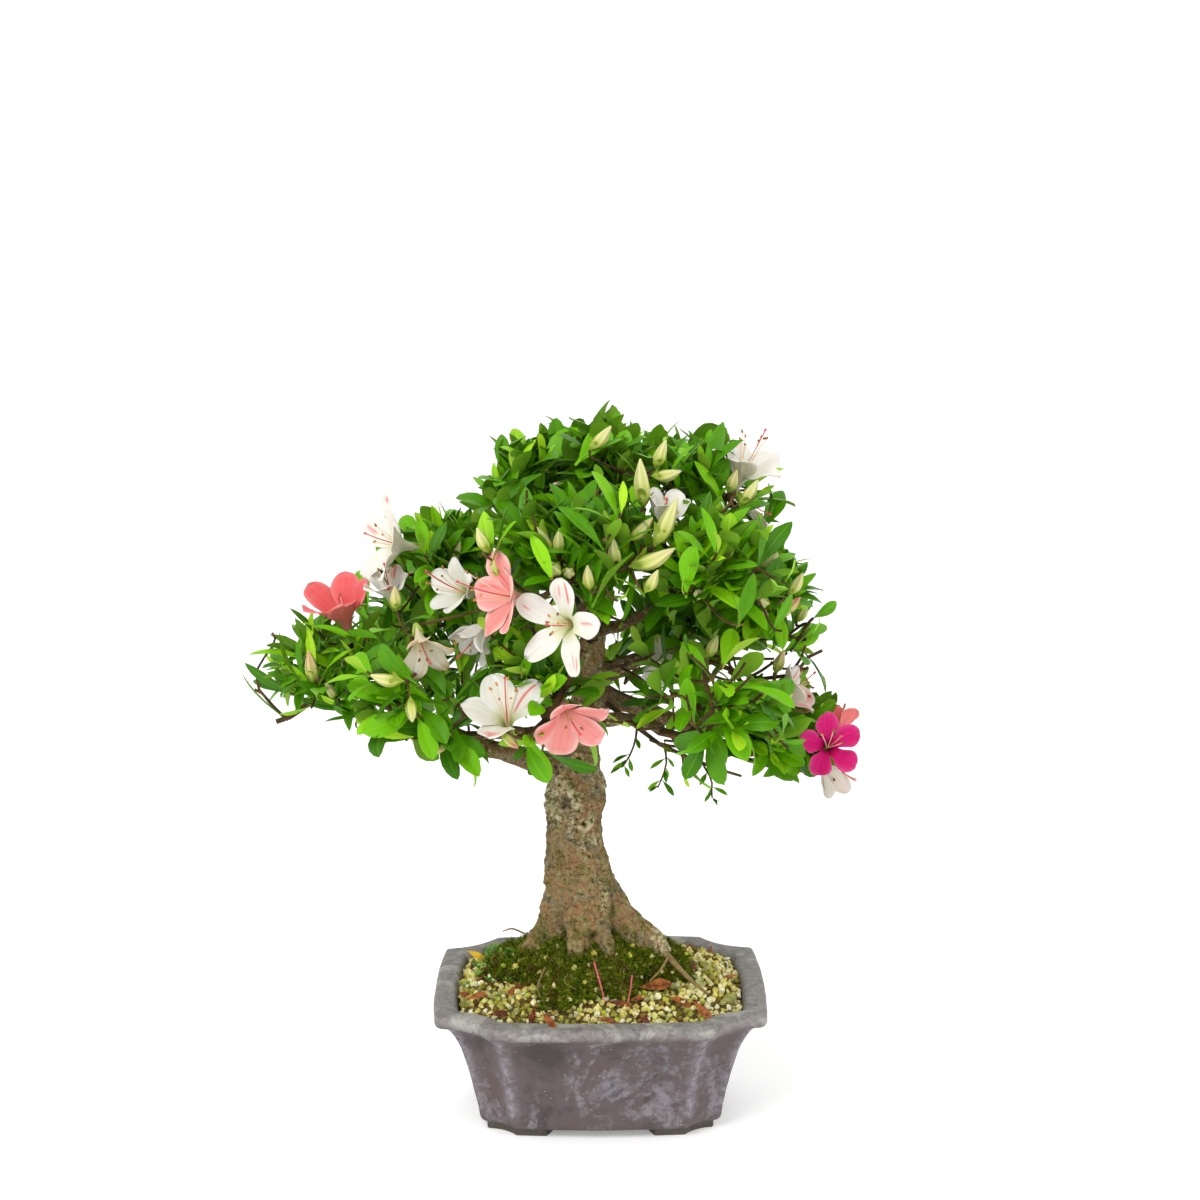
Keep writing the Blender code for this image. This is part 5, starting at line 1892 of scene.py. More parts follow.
BLOOMS = (
    Bloom(
        "star", "foliage_front", (-0.0194, -0.118, 0.3439), (-0.62, -0.78, 0.03), 66, 10, 0.0275, 0.0156,
        Tint.WHITE,
        (
            Streak(1, -0.45, 0.55, 0.98, 0.09, 1.0), Streak(1, 0.25, 0.62, 0.90, 0.06, 0.9),
            Streak(1, 0.62, 0.50, 0.86, 0.05, 0.6), Streak(2, 0.30, 0.72, 0.92, 0.05, 0.7),
            Streak(4, -0.35, 0.72, 0.97, 0.06, 0.9), Streak(4, 0.05, 0.62, 0.93, 0.06, 1.0),
            Streak(4, 0.42, 0.70, 0.98, 0.07, 0.9), Streak(0, 0.10, 0.50, 0.86, 0.08, 0.9),
        ),
        10.0, 6, 0.017,
    ),
    Bloom(
        "side_trumpet", "foliage_upper_front", (-0.0490, -0.104, 0.3563), (-0.90, -0.40, 0.14), 54, 40,
        0.0255, 0.0200, Tint.SALMON,
        (Streak(1, 0.3, 0.3, 0.9, 0.06, 0.8), Streak(2, -0.4, 0.4, 0.9, 0.05, 0.7)), 24.0, 5, 0.028,
    ),
    Bloom(
        "white_cup", "foliage_front", (-0.0533, -0.108, 0.2857), (-0.10, -0.52, 0.85), 48, 45, 0.0270,
        0.0205, Tint.WHITE,
        (
            Streak(0, 0.30, 0.34, 0.97, 0.07, 1.0), Streak(0, -0.25, 0.50, 0.70, 0.05, 0.7),
            Streak(3, 0.0, 0.74, 1.0, 0.60, 0.7),
        ),
        16.0, 7, 0.022, (4,),
    ),
    Bloom(
        "drooping_bell", "foliage_front", (-0.0196, -0.104, 0.2890), (0.28, -0.74, -0.60), 50, -30, 0.0225,
        0.0195, Tint.SALMON, (Streak(2, 0.0, 0.4, 1.0, 0.70, 0.35), Streak(3, 0.0, 0.4, 1.0, 0.70, 0.35)),
        30.0, 3, 0.014,
    ),
    Bloom(
        "far_left_coral", "foliage_far_left", (-0.1520, -0.022, 0.3240), (-0.24, -0.30, 0.92), 34, 20,
        0.0290, 0.0210, Tint.CORAL, (), 16.0, 2, 0.012,
    ),
    Bloom(
        "upper_left_white", "foliage_upper_left", (-0.1177, -0.022, 0.3700), (-0.82, -0.42, 0.22), 52, 18,
        0.0290, 0.0185, Tint.WHITE,
        (
            Streak(1, 0.0, 0.84, 1.0, 0.35, 0.9), Streak(2, 0.2, 0.62, 0.92, 0.10, 0.9),
            Streak(0, -0.2, 0.80, 1.0, 0.20, 0.7),
        ),
        20.0, 3, 0.020,
    ),
    Bloom(
        "fading_white", "foliage_left_front", (-0.1024, -0.090, 0.3269), (0.20, -0.60, -0.60), 40, 38,
        0.0200, 0.0150, Tint.FADING, (), 26.0, 4, 0.014, (2,), veiled=True,
    ),
    Bloom(
        "top_right_white", "foliage_top_right", (0.0830, -0.012, 0.4083), (0.35, -0.20, 0.90), 45, 50,
        0.0260, 0.0190, Tint.WHITE, (Streak(2, 0.1, 0.8, 1.0, 0.20, 0.5),), 35.0, 8, 0.024,
    ),
    Bloom(
        "right_petals", "foliage_upper_right", (0.0898, -0.020, 0.3928), (0.80, -0.20, -0.55), 15, 0,
        0.0180, 0.0150, Tint.WHITE, (), 20.0, 2, 0.010, (0, 1, 2),
    ),
    Bloom(
        "behind_buds", "foliage_upper_right", (0.0361, -0.070, 0.3925), (0.05, -0.20, 0.96), 24, 0, 0.0190,
        0.0140, Tint.WHITE, (), 14.0, 2, 0.010, veiled=True,
    ),
    Bloom(
        "inner_white", "foliage_right_front", (0.0351, -0.040, 0.3071), (0.10, -0.60, -0.70), 30, 0, 0.0170,
        0.0130, Tint.WHITE, (), 20.0, 2, 0.010, veiled=True,
    ),
    Bloom(
        "upper_left_second", "foliage_upper_left", (-0.0805, -0.055, 0.3488), (-0.60, -0.50, 0.30), 40, 20,
        0.0180, 0.0150, Tint.WHITE, (), 24.0, 5, 0.024, veiled=True,
    ),
    Bloom(
        "left_inner_white", "foliage_left_front", (-0.0673, -0.070, 0.3309), (-0.60, -0.50, -0.60), 25, 0,
        0.0200, 0.0130, Tint.WHITE, (Streak(2, 0.0, 0.5, 0.95, 0.06, 0.6),), 22.0, 4, 0.022,
    ),
    Bloom(
        "left_small_white", "foliage_upper_left", (-0.1245, -0.030, 0.3434), (-0.20, -0.30, 0.90), 35, 10,
        0.0150, 0.0110, Tint.WHITE,
        (
            Streak(0, 0.0, 0.70, 1.0, 0.55, 0.9), Streak(2, 0.2, 0.6, 1.0, 0.25, 0.8),
            Streak(4, 0.0, 0.7, 1.0, 0.50, 0.8),
        ),
        22.0, 3, 0.014,
    ),
    Bloom(
        "right_two_tone", "foliage_middle_right", (0.1106, -0.035, 0.2810), (0.85, -0.20, 0.48), 35, 30,
        0.0180, 0.0160, Tint.WHITE,
        (
            Streak(0, 0.0, 0.55, 1.0, 0.05, 0.9), Streak(3, 0.0, 0.35, 1.0, 0.90, 0.75),
            Streak(4, 0.0, 0.45, 1.0, 0.80, 0.65), Streak(1, 0.3, 0.4, 0.95, 0.05, 0.8),
            Streak(1, -0.3, 0.5, 0.95, 0.05, 0.7),
        ),
        18.0, 5, 0.016,
    ),
    Bloom(
        "magenta", "foliage_far_right", (0.1342, -0.058, 0.2561), (0.10, -0.88, 0.42), 54, 24, 0.0165,
        0.0140, Tint.MAGENTA, (), 12.0, 5, 0.014,
    ),
    Bloom(
        "coral_behind", "foliage_far_right", (0.1423, -0.030, 0.2590), (0.25, 0.30, 0.90), 20, 36, 0.0160,
        0.0130, Tint.CORAL, (), 16.0, 2, 0.010, (3, 4),
    ),
    Bloom(
        "low_right_two_tone", "foliage_far_right", (0.1362, -0.030, 0.2358), (0.50, -0.10, -0.85), 18, 5,
        0.0200, 0.0130, Tint.WHITE,
        (Streak(1, 0.0, 0.50, 1.0, 0.80, 0.9), Streak(4, 0.0, 0.60, 1.0, 0.70, 0.9)), 18.0, 4, 0.012,
    ),
    Bloom(
        "back_left", "foliage_left_back", (-0.1080, 0.106, 0.3180), (-0.40, 0.80, 0.40), 56, 0, 0.0260,
        0.0190, Tint.SALMON, (Streak(1, 0.3, 0.3, 0.9, 0.06, 0.8),),
    ),
    Bloom(
        "back_white", "foliage_back", (-0.0200, 0.128, 0.3720), (-0.05, 0.85, 0.45), 62, 40, 0.0280, 0.0180,
        Tint.WHITE, (Streak(0, 0.4, 0.4, 0.95, 0.07, 1.0), Streak(2, -0.3, 0.6, 0.95, 0.06, 1.0)),
    ),
    Bloom(
        "back_right", "foliage_right_back", (0.0920, 0.104, 0.3180), (0.50, 0.75, 0.30), 56, 20, 0.0240,
        0.0180, Tint.MAGENTA,
    ),
)


@dataclass(frozen=True)
class PetalFinish:
    """The soft skin of a petal. The mesh keeps `along`, `edge`, `back`, `red` and `vein` values."""

    name: str
    body: tuple
    tip: tuple
    throat: tuple
    streak: tuple
    margin: tuple
    under: tuple
    vein: float = 0.08
    rim: float = 0.0

    def material(self) -> Material:
        """The petal's material.

        Returns:
            The material.
        """
        board = Board(self.name, roughness=0.5, specular_ior_level=0.25, subsurface_weight=0.2)
        board.shader.inputs["Subsurface Radius"].default_value = (0.004, 0.003, 0.002)
        board.shader.inputs["Subsurface Scale"].default_value = 0.6
        along = board.kept("along")
        shade = board.ramp(along, (0.24, self.throat), (0.52, self.body), (0.80, self.body), (1.0, self.tip))
        shade = board.blend(board.times(board.kept("edge"), self.rim), shade, self.margin)
        shade = board.blend(board.times(board.kept("back"), 0.65), shade, self.under)
        shade = board.blend(board.times(board.kept("vein"), self.vein), shade, self.streak)
        shade = board.patch(board.noise(0.006, 3), 0.5, 0.75, 0.12, shade, self.throat)
        shade = board.blend(board.kept("red"), shade, self.streak)
        board.bump((board.kept("vein"), 0.00012), (board.noise(0.0012, 3, 0.6), 0.00008))
        return board.dressed(shade)


PETALS = {
    Tint.WHITE: PetalFinish(
        "petal_white", tone(226, 225, 214), tone(230, 227, 219), tone(190, 198, 130), tone(216, 46, 56),
        tone(232, 228, 222), tone(222, 212, 200),
    ),
    Tint.SALMON: PetalFinish(
        "petal_salmon", tone(232, 144, 138), tone(228, 122, 122), tone(226, 150, 136), tone(200, 36, 52),
        tone(238, 204, 194), tone(232, 164, 156), 0.16, 0.55,
    ),
    Tint.CORAL: PetalFinish(
        "petal_coral", tone(222, 92, 96), tone(214, 74, 84), tone(232, 150, 142), tone(190, 34, 50),
        tone(232, 150, 146), tone(224, 122, 118), 0.14, 0.4,
    ),
    Tint.MAGENTA: PetalFinish(
        "petal_magenta", tone(204, 6, 112), tone(198, 4, 104), tone(150, 4, 70), tone(120, 0, 50),
        tone(222, 80, 150), tone(206, 60, 130), 0.3, 0.4,
    ),
    Tint.FADING: PetalFinish(
        "petal_fading", tone(220, 214, 192), tone(176, 132, 78), tone(186, 170, 112), tone(136, 84, 40),
        tone(208, 186, 142), tone(210, 200, 166), 0.2, 0.4,
    ),
}


@dataclass
class Blossom:
    """The open flowers: five lobes on a short tube, with stamens, a pistil and a small calyx."""

    tube: float = 0.011
    rows: int = 22
    columns: int = 15
    thickness: float = 0.00035
    belly: float = 0.52
    relief: Relief = field(default_factory=lambda: Relief(31))

    def frame(self, bloom: Bloom) -> tuple[Array, Array, Array]:
        """The way a flower faces, and its two sides, turned about it.

        Args:
            bloom: The flower.

        Returns:
            The three directions.
        """
        facing = unit(np.array(bloom.facing))
        first, second = across(facing)
        turn = math.radians(bloom.turn)
        ahead, over = math.cos(turn), math.sin(turn)
        return facing, ahead * first + over * second, ahead * second - over * first

    def shares(self) -> Array:
        """Where the rows of a petal lie along it, closer together at its blunt end.

        Returns:
            The shares, from 0 to 1.
        """
        even = np.linspace(0.0, 1.0, self.rows)
        return 0.55 * even + 0.45 * np.sin(np.linspace(0.0, math.pi / 2, self.rows))

    def ridge(self, bloom: Bloom, opening: float, length: float) -> tuple[Array, Array, Array]:
        """The line down the middle of a lobe.

        Args:
            bloom: The flower.
            opening: How far this lobe leans out, in degrees.
            length: Of the free lobe, from throat to tip.

        Returns:
            Its distance from the flower's axis, its height over the throat and its lean in radians.
        """
        share = self.shares()
        lean = math.radians(8) + math.radians(opening - 8) * ease(share, 0.16, 0.46)
        lean = lean + math.radians(bloom.curl) * ease(share, 0.62, 1.0)
        step = np.diff(share) * (self.tube + length)
        out = 0.0014 + np.concatenate(([0.0], np.cumsum(np.sin(lean[1:]) * step)))
        rise = -self.tube + np.concatenate(([0.0], np.cumsum(np.cos(lean[1:]) * step)))
        return out, rise, lean

    def petal(self, shape: Shape, bloom: Bloom, lobe: int, rng: np.random.Generator) -> None:
        """One lobe with its share of the tube.

        Args:
            shape: Where it goes.
            bloom: The flower.
            lobe: Which lobe, 0 to 4.
            rng: For its small differences.
        """
        facing, first, second = self.frame(bloom)
        opening = bloom.opening + bloom.opens[lobe] + rng.uniform(-6, 6)
        length = bloom.length * rng.uniform(0.95, 1.05)
        out, rise, lean = self.ridge(bloom, opening, length)
        share = self.shares()
        free = self.tube / (self.tube + length)
        v = np.clip((share - free) / (1 - free), 0.0, 1.0)
        wrap = np.maximum(out, 0.0014) * math.tan(math.pi / 5) * 1.12
        dome = np.sqrt(np.clip(1 - (np.maximum(v - self.belly, 0.0) / (1 - self.belly)) ** 2, 0.0, 1.0))
        lobe_half = bloom.width / 2 * (0.5 + 0.5 * ease(v, 0.0, 0.5)) * dome
        snug = bloom.opens[lobe] == 0
        limit = wrap if snug else np.maximum(wrap, lobe_half * v**0.3)
        half = np.where(share <= free, wrap, np.minimum(lobe_half, limit))
        half = np.maximum(half, 0.0006)
        side = np.linspace(-1.0, 1.0, self.columns)
        bend = out + 0.040 * ease(share, free, 0.75)
        angle = side[None] * (half / bend)[:, None]
        sideways = bend[:, None] * np.sin(angle)
        inwards = bend[:, None] * (1 - np.cos(angle))
        lobe_part = ease(share, free, 0.7)[:, None]
        phase = rng.uniform(0, 6.28)
        frill = 0.0014 * lobe_part * np.abs(side[None]) ** 3 * np.sin(
            9 * share[:, None] + phase + 1.5 * np.sign(side[None])
        )
        groove = -0.0006 * lobe_part * np.exp(-((side[None] / 0.16) ** 2))
        twist = rng.uniform(0.04, 0.16) * lobe_part * sideways
        inwards = inwards + frill + groove + twist
        azimuth = TURN * lobe / 5
        radial = math.cos(azimuth) * first + math.sin(azimuth) * second
        around = math.cos(azimuth) * second - math.sin(azimuth) * first
        middle = out[:, None] * radial + rise[:, None] * facing
        inner = np.cos(lean)[:, None] * -radial + np.sin(lean)[:, None] * facing
        points = middle[:, None] + sideways[..., None] * around + inwards[..., None] * inner[:, None]
        lengthwise = share[:, None] + 0.0 * side[None]
        red = np.zeros_like(lengthwise)
        for streak in bloom.streaks:
            if streak.petal == lobe:
                run = ease(lengthwise, streak.start, streak.start + 0.10)
                run = run * (1 - ease(lengthwise, streak.end - 0.06, streak.end))
                red += streak.strength * run * np.exp(-(((side[None] - streak.side) / streak.width) ** 2))
        vein = sum(np.exp(-(((side[None] - place * ease(lengthwise, 0.1, 0.7)) / 0.045) ** 2)) for place in
                   (-0.72, -0.46, -0.22, 0.0, 0.22, 0.46, 0.72))
        back = points - inner[:, None] * self.thickness
        both = np.concatenate((points.reshape(-1, 3), back.reshape(-1, 3))) + np.array(bloom.throat)
        front = lattice(self.rows, self.columns, wrap=False)
        count = self.rows * self.columns
        rim = self.rim()
        after = np.roll(rim, -1)
        walls = np.stack((rim, after, after + count, rim + count), axis=-1)
        sides = ease(np.abs(side[None]) + 0.0 * lengthwise, 0.45, 1.0)
        edge = np.maximum(sides, ease(lengthwise, 0.86, 1.0)) * lobe_part
        value = {
            "along": lengthwise, "red": np.clip(red, 0, 1), "vein": np.clip(vein, 0, 1) * lobe_part,
            "edge": edge,
        }
        kept = {
            key: np.tile(np.broadcast_to(part, lengthwise.shape).ravel(), 2) for key, part in value.items()
        }
        kept["back"] = np.repeat((0.0, 1.0), self.rows * self.columns)
        shape.add(both, front[:, ::-1], front + count, walls, **kept)

    def rim(self) -> Array:
        """The numbers of a petal's edge points, in order round it.

        Returns:
            The numbers.
        """
        rows, columns = self.rows, self.columns
        first = np.arange(columns)
        right = np.arange(1, rows) * columns + columns - 1
        top = (rows - 1) * columns + np.arange(columns - 2, -1, -1)
        left = np.arange(rows - 2, 0, -1) * columns
        return np.concatenate((first, right, top, left))

    def stamens(self, threads: Shape, anthers: Shape, bloom: Bloom, rng: np.random.Generator) -> None:
        """The stamens and the longer pistil of a flower.

        Args:
            threads: Where the stalks go.
            anthers: Where the anthers go.
            bloom: The flower.
            rng: For their small differences.
        """
        facing, first, second = self.frame(bloom)
        base = np.array(bloom.throat) - facing * self.tube * 0.8
        steps = np.linspace(0.0, 1.0, 9)[:, None]
        paths, radii = [], []
        for number in range(bloom.stamens + 1):
            pistil = number == bloom.stamens
            angle = TURN * (number / max(bloom.stamens, 1)) + rng.uniform(-0.4, 0.4)
            side = math.cos(angle) * first + math.sin(angle) * second
            length = self.tube * 0.8 + bloom.reach * (1.25 if pistil else rng.uniform(0.72, 1.0))
            spread = 0.10 if pistil else rng.uniform(0.16, 0.34)
            lift = UP * length * (0.10 if pistil else 0.16)
            path = base + facing * length * steps + side * length * spread * steps**1.6 + lift * steps**2.4
            paths.append(path)
            radii.append(np.full(9, 0.00038 if pistil else 0.00028))
            run = unit(path[-1] - path[-2])
            if pistil:
                self.bead(threads, path[-1], run, 0.0011, 0.0008, slot=1)
            else:
                self.bead(anthers, path[-1], unit(run + 0.8 * side), 0.0013, 0.00072)
        tubes(threads, np.array(paths[:-1]), np.array(radii[:-1]), 5)
        tubes(threads, np.array(paths[-1:]), np.array(radii[-1:]), 6, slot=1)

    @staticmethod
    def bead(shape: Shape, middle: Array, run: Array, length: float, width: float, slot: int = 0) -> None:
        """A small egg-shaped bead.

        Args:
            shape: Where it goes.
            middle: Its middle.
            run: The way it points.
            length: Half its length.
            width: Half its width.
            slot: Its material slot.
        """
        first, second = across(run)
        out = spokes(first, second, 6)
        levels = (-0.85, -0.4, 0.2, 0.75)
        rings = [
            middle + run * length * level + width * math.sqrt(1 - level * level) * out for level in levels
        ]
        shape.add(
            np.vstack((*rings, middle - run * length, middle + run * length)), *closed(4, 6), slot=slot,
        )

    def calyx(self, shape: Shape, bloom: Bloom) -> None:
        """Five narrow green scales that hold the tube, over the end of the flower's stalk.

        Args:
            shape: Where it goes.
            bloom: The flower.
        """
        facing, first, second = self.frame(bloom)
        root = np.array(bloom.throat) - facing * (self.tube + 0.0006)
        self.bead(shape, root, facing, 0.0022, 0.0021)
        for lobe in range(5):
            angle = TURN * (lobe + 0.5) / 5
            side = math.cos(angle) * first + math.sin(angle) * second
            path = root + np.outer((0.0, 0.0025, 0.0055), facing) + np.outer((0.0014, 0.0025, 0.0033), side)
            tubes(shape, path[None], np.array([[0.0009, 0.0008, 0.0002]]), 5)

    def build(self) -> None:
        """Make every flower, the petals of each colour as one mesh."""
        rng = np.random.default_rng(77)
        threads, anthers, calyces = Shape(), Shape(), Shape()
        for tint, finish in PETALS.items():
            shape = Shape()
            for bloom in BLOOMS:
                if bloom.tint is tint:
                    for lobe in range(5):
                        if lobe not in bloom.missing:
                            self.petal(shape, bloom, lobe, rng)
                    self.stamens(threads, anthers, bloom, rng)
                    self.calyx(calyces, bloom)
            settle(shape.made(finish.name + "s", finish.material()), "foliage", *FOLIAGE)
        pale = Board("stamen_thread", roughness=0.5).dressed(tone(228, 206, 176))
        pink = Board("pistil", roughness=0.4).dressed(tone(206, 70, 84))
        settle(threads.made("flower_threads", pale, pink), "foliage", *FOLIAGE)
        pollen = Board("anthers", roughness=0.8)
        shade = pollen.ramp(pollen.noise(0.004), (0.4, tone(120, 72, 40)), (0.6, tone(206, 140, 70)))
        settle(anthers.made("flower_anthers", pollen.dressed(shade)), "foliage", *FOLIAGE)
        green = Board("calyx_green", roughness=0.5).dressed(tone(150, 176, 60))
        settle(calyces.made("flower_calyces", green), "foliage", *FOLIAGE)


# ---- Leaves ----


class Green(Enum):
    """The four greens that leaves are dealt into."""

    DEEP = "deep"
    FRESH = "fresh"
    BRIGHT = "bright"
    YOUNG = "young"


@dataclass(frozen=True)
class LeafFinish:
    """A glossy leaf: two shades of blade, a paler rib and a matt underside."""

    name: str
    first: tuple
    second: tuple
    rib: tuple
    under: tuple
    gloss: float = 0.34

    def sheet(self, part: str, colour: tuple, rough: float) -> Material:
        """One of the leaf's materials, a plain base colour with fine relief.

        Args:
            part: What it covers.
            colour: Its main colour.
            rough: Its roughness.

        Returns:
            The material.
        """
        board = Board(f"leaf_{self.name}_{part}", roughness=rough, specular_ior_level=0.17)
        shade = board.patch(board.noise(0.009, 3), 0.35, 0.75, 0.22, colour, self.second)
        board.bump((board.noise(0.0012, 3, 0.6), 0.00010))
        return board.dressed(shade)

    def materials(self) -> list[Material]:
        """Blade, rib and underside, once for each shade of blade.

        Returns:
            The six, in the order of the slots.
        """
        rib = self.sheet("rib", self.rib, self.gloss + 0.1)
        under = self.sheet("under", self.under, 0.6)
        blades = [
            self.sheet(part, colour, self.gloss) for part, colour in (("a", self.first), ("b", self.second))
        ]
        return [blades[0], rib, under, blades[1], rib, under]


LEAVES = {
    Green.DEEP: LeafFinish(
        "deep", tone(78, 138, 5), tone(60, 114, 4), tone(84, 146, 14), tone(104, 146, 34), 0.40,
    ),
    Green.FRESH: LeafFinish(
        "fresh", tone(106, 172, 7), tone(88, 152, 5), tone(114, 182, 20), tone(120, 166, 40), 0.42,
    ),
    Green.BRIGHT: LeafFinish(
        "bright", tone(134, 196, 14), tone(116, 180, 10), tone(148, 206, 34), tone(140, 186, 50), 0.46,
    ),
    Green.YOUNG: LeafFinish(
        "young", tone(162, 210, 32), tone(140, 196, 24), tone(186, 218, 62), tone(164, 200, 64), 0.50,
    ),
}


@dataclass
class LeafForm:
    """One way that a leaf is cut and bent, drawn from its root along x, with its face up."""

    rng: np.random.Generator
    broad: bool
    length: float = 0.034
    width: float = 0.0116
    stations: tuple = (0.0, 0.08, 0.17, 0.31, 0.47, 0.64, 0.80, 0.93, 1.0)

    def draw(self) -> Array:
        """The leaf's points: seven round each station, then its two ends.

        Returns:
            The points.
        """
        share = np.array(self.stations)
        along = np.linspace(0.0, 1.0, 41)
        arch = math.radians(self.rng.uniform(6, 46))
        early = self.rng.uniform(1.0, 2.2)
        lean = -arch * along**early + math.radians(self.rng.uniform(0, 12))
        x = np.concatenate(([0.0], np.cumsum(np.cos(lean[1:])))) * self.length / 40
        z = np.concatenate(([0.0], np.cumsum(np.sin(lean[1:])))) * self.length / 40
        sickle = self.rng.uniform(-0.10, 0.10) * self.length
        belly = self.rng.uniform(1.35, 1.65) if self.broad else self.rng.uniform(1.15, 1.4)
        u = np.clip((share - 0.07) / 0.93, 0.0, 1.0)
        blade = self.width / 2 * np.sin(math.pi * u**belly) ** (0.64 if self.broad else 0.80)
        half = np.maximum(blade, np.interp(share, (0.0, 0.3, 1.0), (0.0007, 0.0005, 0.00012)))
        fold = math.tan(math.radians(self.rng.uniform(6, 24)))
        wave = self.rng.uniform(0.0, 0.16) * np.sin(9 * share + self.rng.uniform(0, 6.28))
        rib = np.minimum(0.5 * half, np.maximum(0.06 * half, 0.00020))
        deep = np.interp(share, (0.0, 0.2, 1.0), (0.0010, 0.0005, 0.0002))
        flat = np.zeros_like(half)
        section = (
            (half, half * (fold - 0.10 + wave)), (flat, -deep), (-half, half * (fold - 0.10 - wave)),
            (-0.55 * half, half * (0.55 * fold + 0.05)), (-rib, flat), (rib, flat),
            (0.55 * half, half * (0.55 * fold + 0.05)),
        )
        middle = np.stack(
            (np.interp(share, along, x), sickle * share**2, np.interp(share, along, z)), axis=-1,
        )
        slope = np.interp(share, along, lean)
        over = np.stack((-np.sin(slope), 0 * slope, np.cos(slope)), axis=-1)
        rows = [
            middle + side[:, None] * np.array((0, 1, 0)) + rise[:, None] * over for side, rise in section
        ]
        rings = np.stack(rows, axis=1)
        return capped(rings)

    @staticmethod
    def faces(around: int = 7) -> tuple[Array, Array, Array, Array]:
        """A leaf's quads and end triangles, then the slots of each: blade, rib or underside.

        Args:
            around: Points round each station.

        Returns:
            The two groups of faces and their two arrays of slots.
        """
        stations = len(LeafForm.stations)
        quads, caps = closed(stations, around, outwards=False)
        return quads, caps, np.tile((2, 2, 0, 0, 1, 0, 0), stations - 1), np.full(len(caps), 2)


# ---- Buds ----


class Bud(NamedTuple):
    """A closed flower: where it starts, the way it points, its length and how red it is."""

    root: tuple
    way: tuple
    length: float
    red: float


def standing(root: Place, tip: Place, red: float = 0.0) -> Bud:
    """A bud between two places."""
    run = np.array(tip) - np.array(root)
    return Bud(tuple(root), tuple(unit(run)), float(max(np.linalg.norm(run), 0.014)), red)


SHOWN_BUDS = (
    standing((0.0240, -0.0766, 0.4023), (0.0217, -0.0766, 0.4296)),
    standing((0.0292, -0.0552, 0.4165), (0.0456, -0.0583, 0.4198)),
    standing((0.0311, -0.0507, 0.4210), (0.0372, -0.0507, 0.4366)),
    standing((-0.0063, -0.0480, 0.4310), (0.0058, -0.0480, 0.4443)),
    standing((0.0295, -0.0993, 0.3849), (0.0416, -0.0953, 0.4106)),
    standing((0.0154, -0.1076, 0.3746), (0.0399, -0.1116, 0.3854), 0.1),
    standing((0.0077, -0.1094, 0.3740), (0.0060, -0.1073, 0.3910)),
    standing((-0.0182, -0.1016, 0.3711), (-0.0182, -0.1157, 0.3736)),
    standing((-0.0243, -0.1015, 0.3809), (-0.0232, -0.1015, 0.3939)),
    standing((-0.0067, -0.1120, 0.3622), (-0.0078, -0.1120, 0.3735)),
    standing((0.0236, -0.1120, 0.3610), (0.0307, -0.1120, 0.3734)),
    standing((0.0174, -0.0944, 0.3896), (0.0268, -0.0944, 0.3981)),
    standing((0.0747, -0.0300, 0.4029), (0.0798, -0.0300, 0.4159), 0.2),
    standing((0.0806, -0.0450, 0.3978), (0.0908, -0.0450, 0.4124)),
    standing((0.0889, -0.0700, 0.3634), (0.1007, -0.0700, 0.3744)),
    standing((0.1106, -0.0400, 0.3438), (0.1186, -0.0400, 0.3564)),
    standing((0.1072, -0.0350, 0.3318), (0.1177, -0.0350, 0.3409), 0.9),
    standing((0.1043, -0.0300, 0.2939), (0.1094, -0.0300, 0.3074), 0.4),
    standing((0.0609, -0.0700, 0.3134), (0.0665, -0.0700, 0.3252)),
    standing((0.1062, -0.0500, 0.2790), (0.1113, -0.0500, 0.2894)),
    standing((-0.0628, -0.0946, 0.3802), (-0.0693, -0.0946, 0.3938)),
    standing((-0.0568, -0.0960, 0.3663), (-0.0600, -0.0960, 0.3788)),
    standing((-0.1178, -0.0600, 0.3393), (-0.1187, -0.0600, 0.3511), 0.3),
    standing((-0.1110, -0.1080, 0.3096), (-0.1287, -0.1100, 0.3136)),
    standing((-0.1072, -0.1080, 0.3004), (-0.1059, -0.1120, 0.2871)),
    standing((-0.1688, -0.0500, 0.2974), (-0.1707, -0.0500, 0.3119), 0.2),
    standing((-0.0559, -0.1120, 0.2828), (-0.0480, -0.1160, 0.2741), 0.9),
)


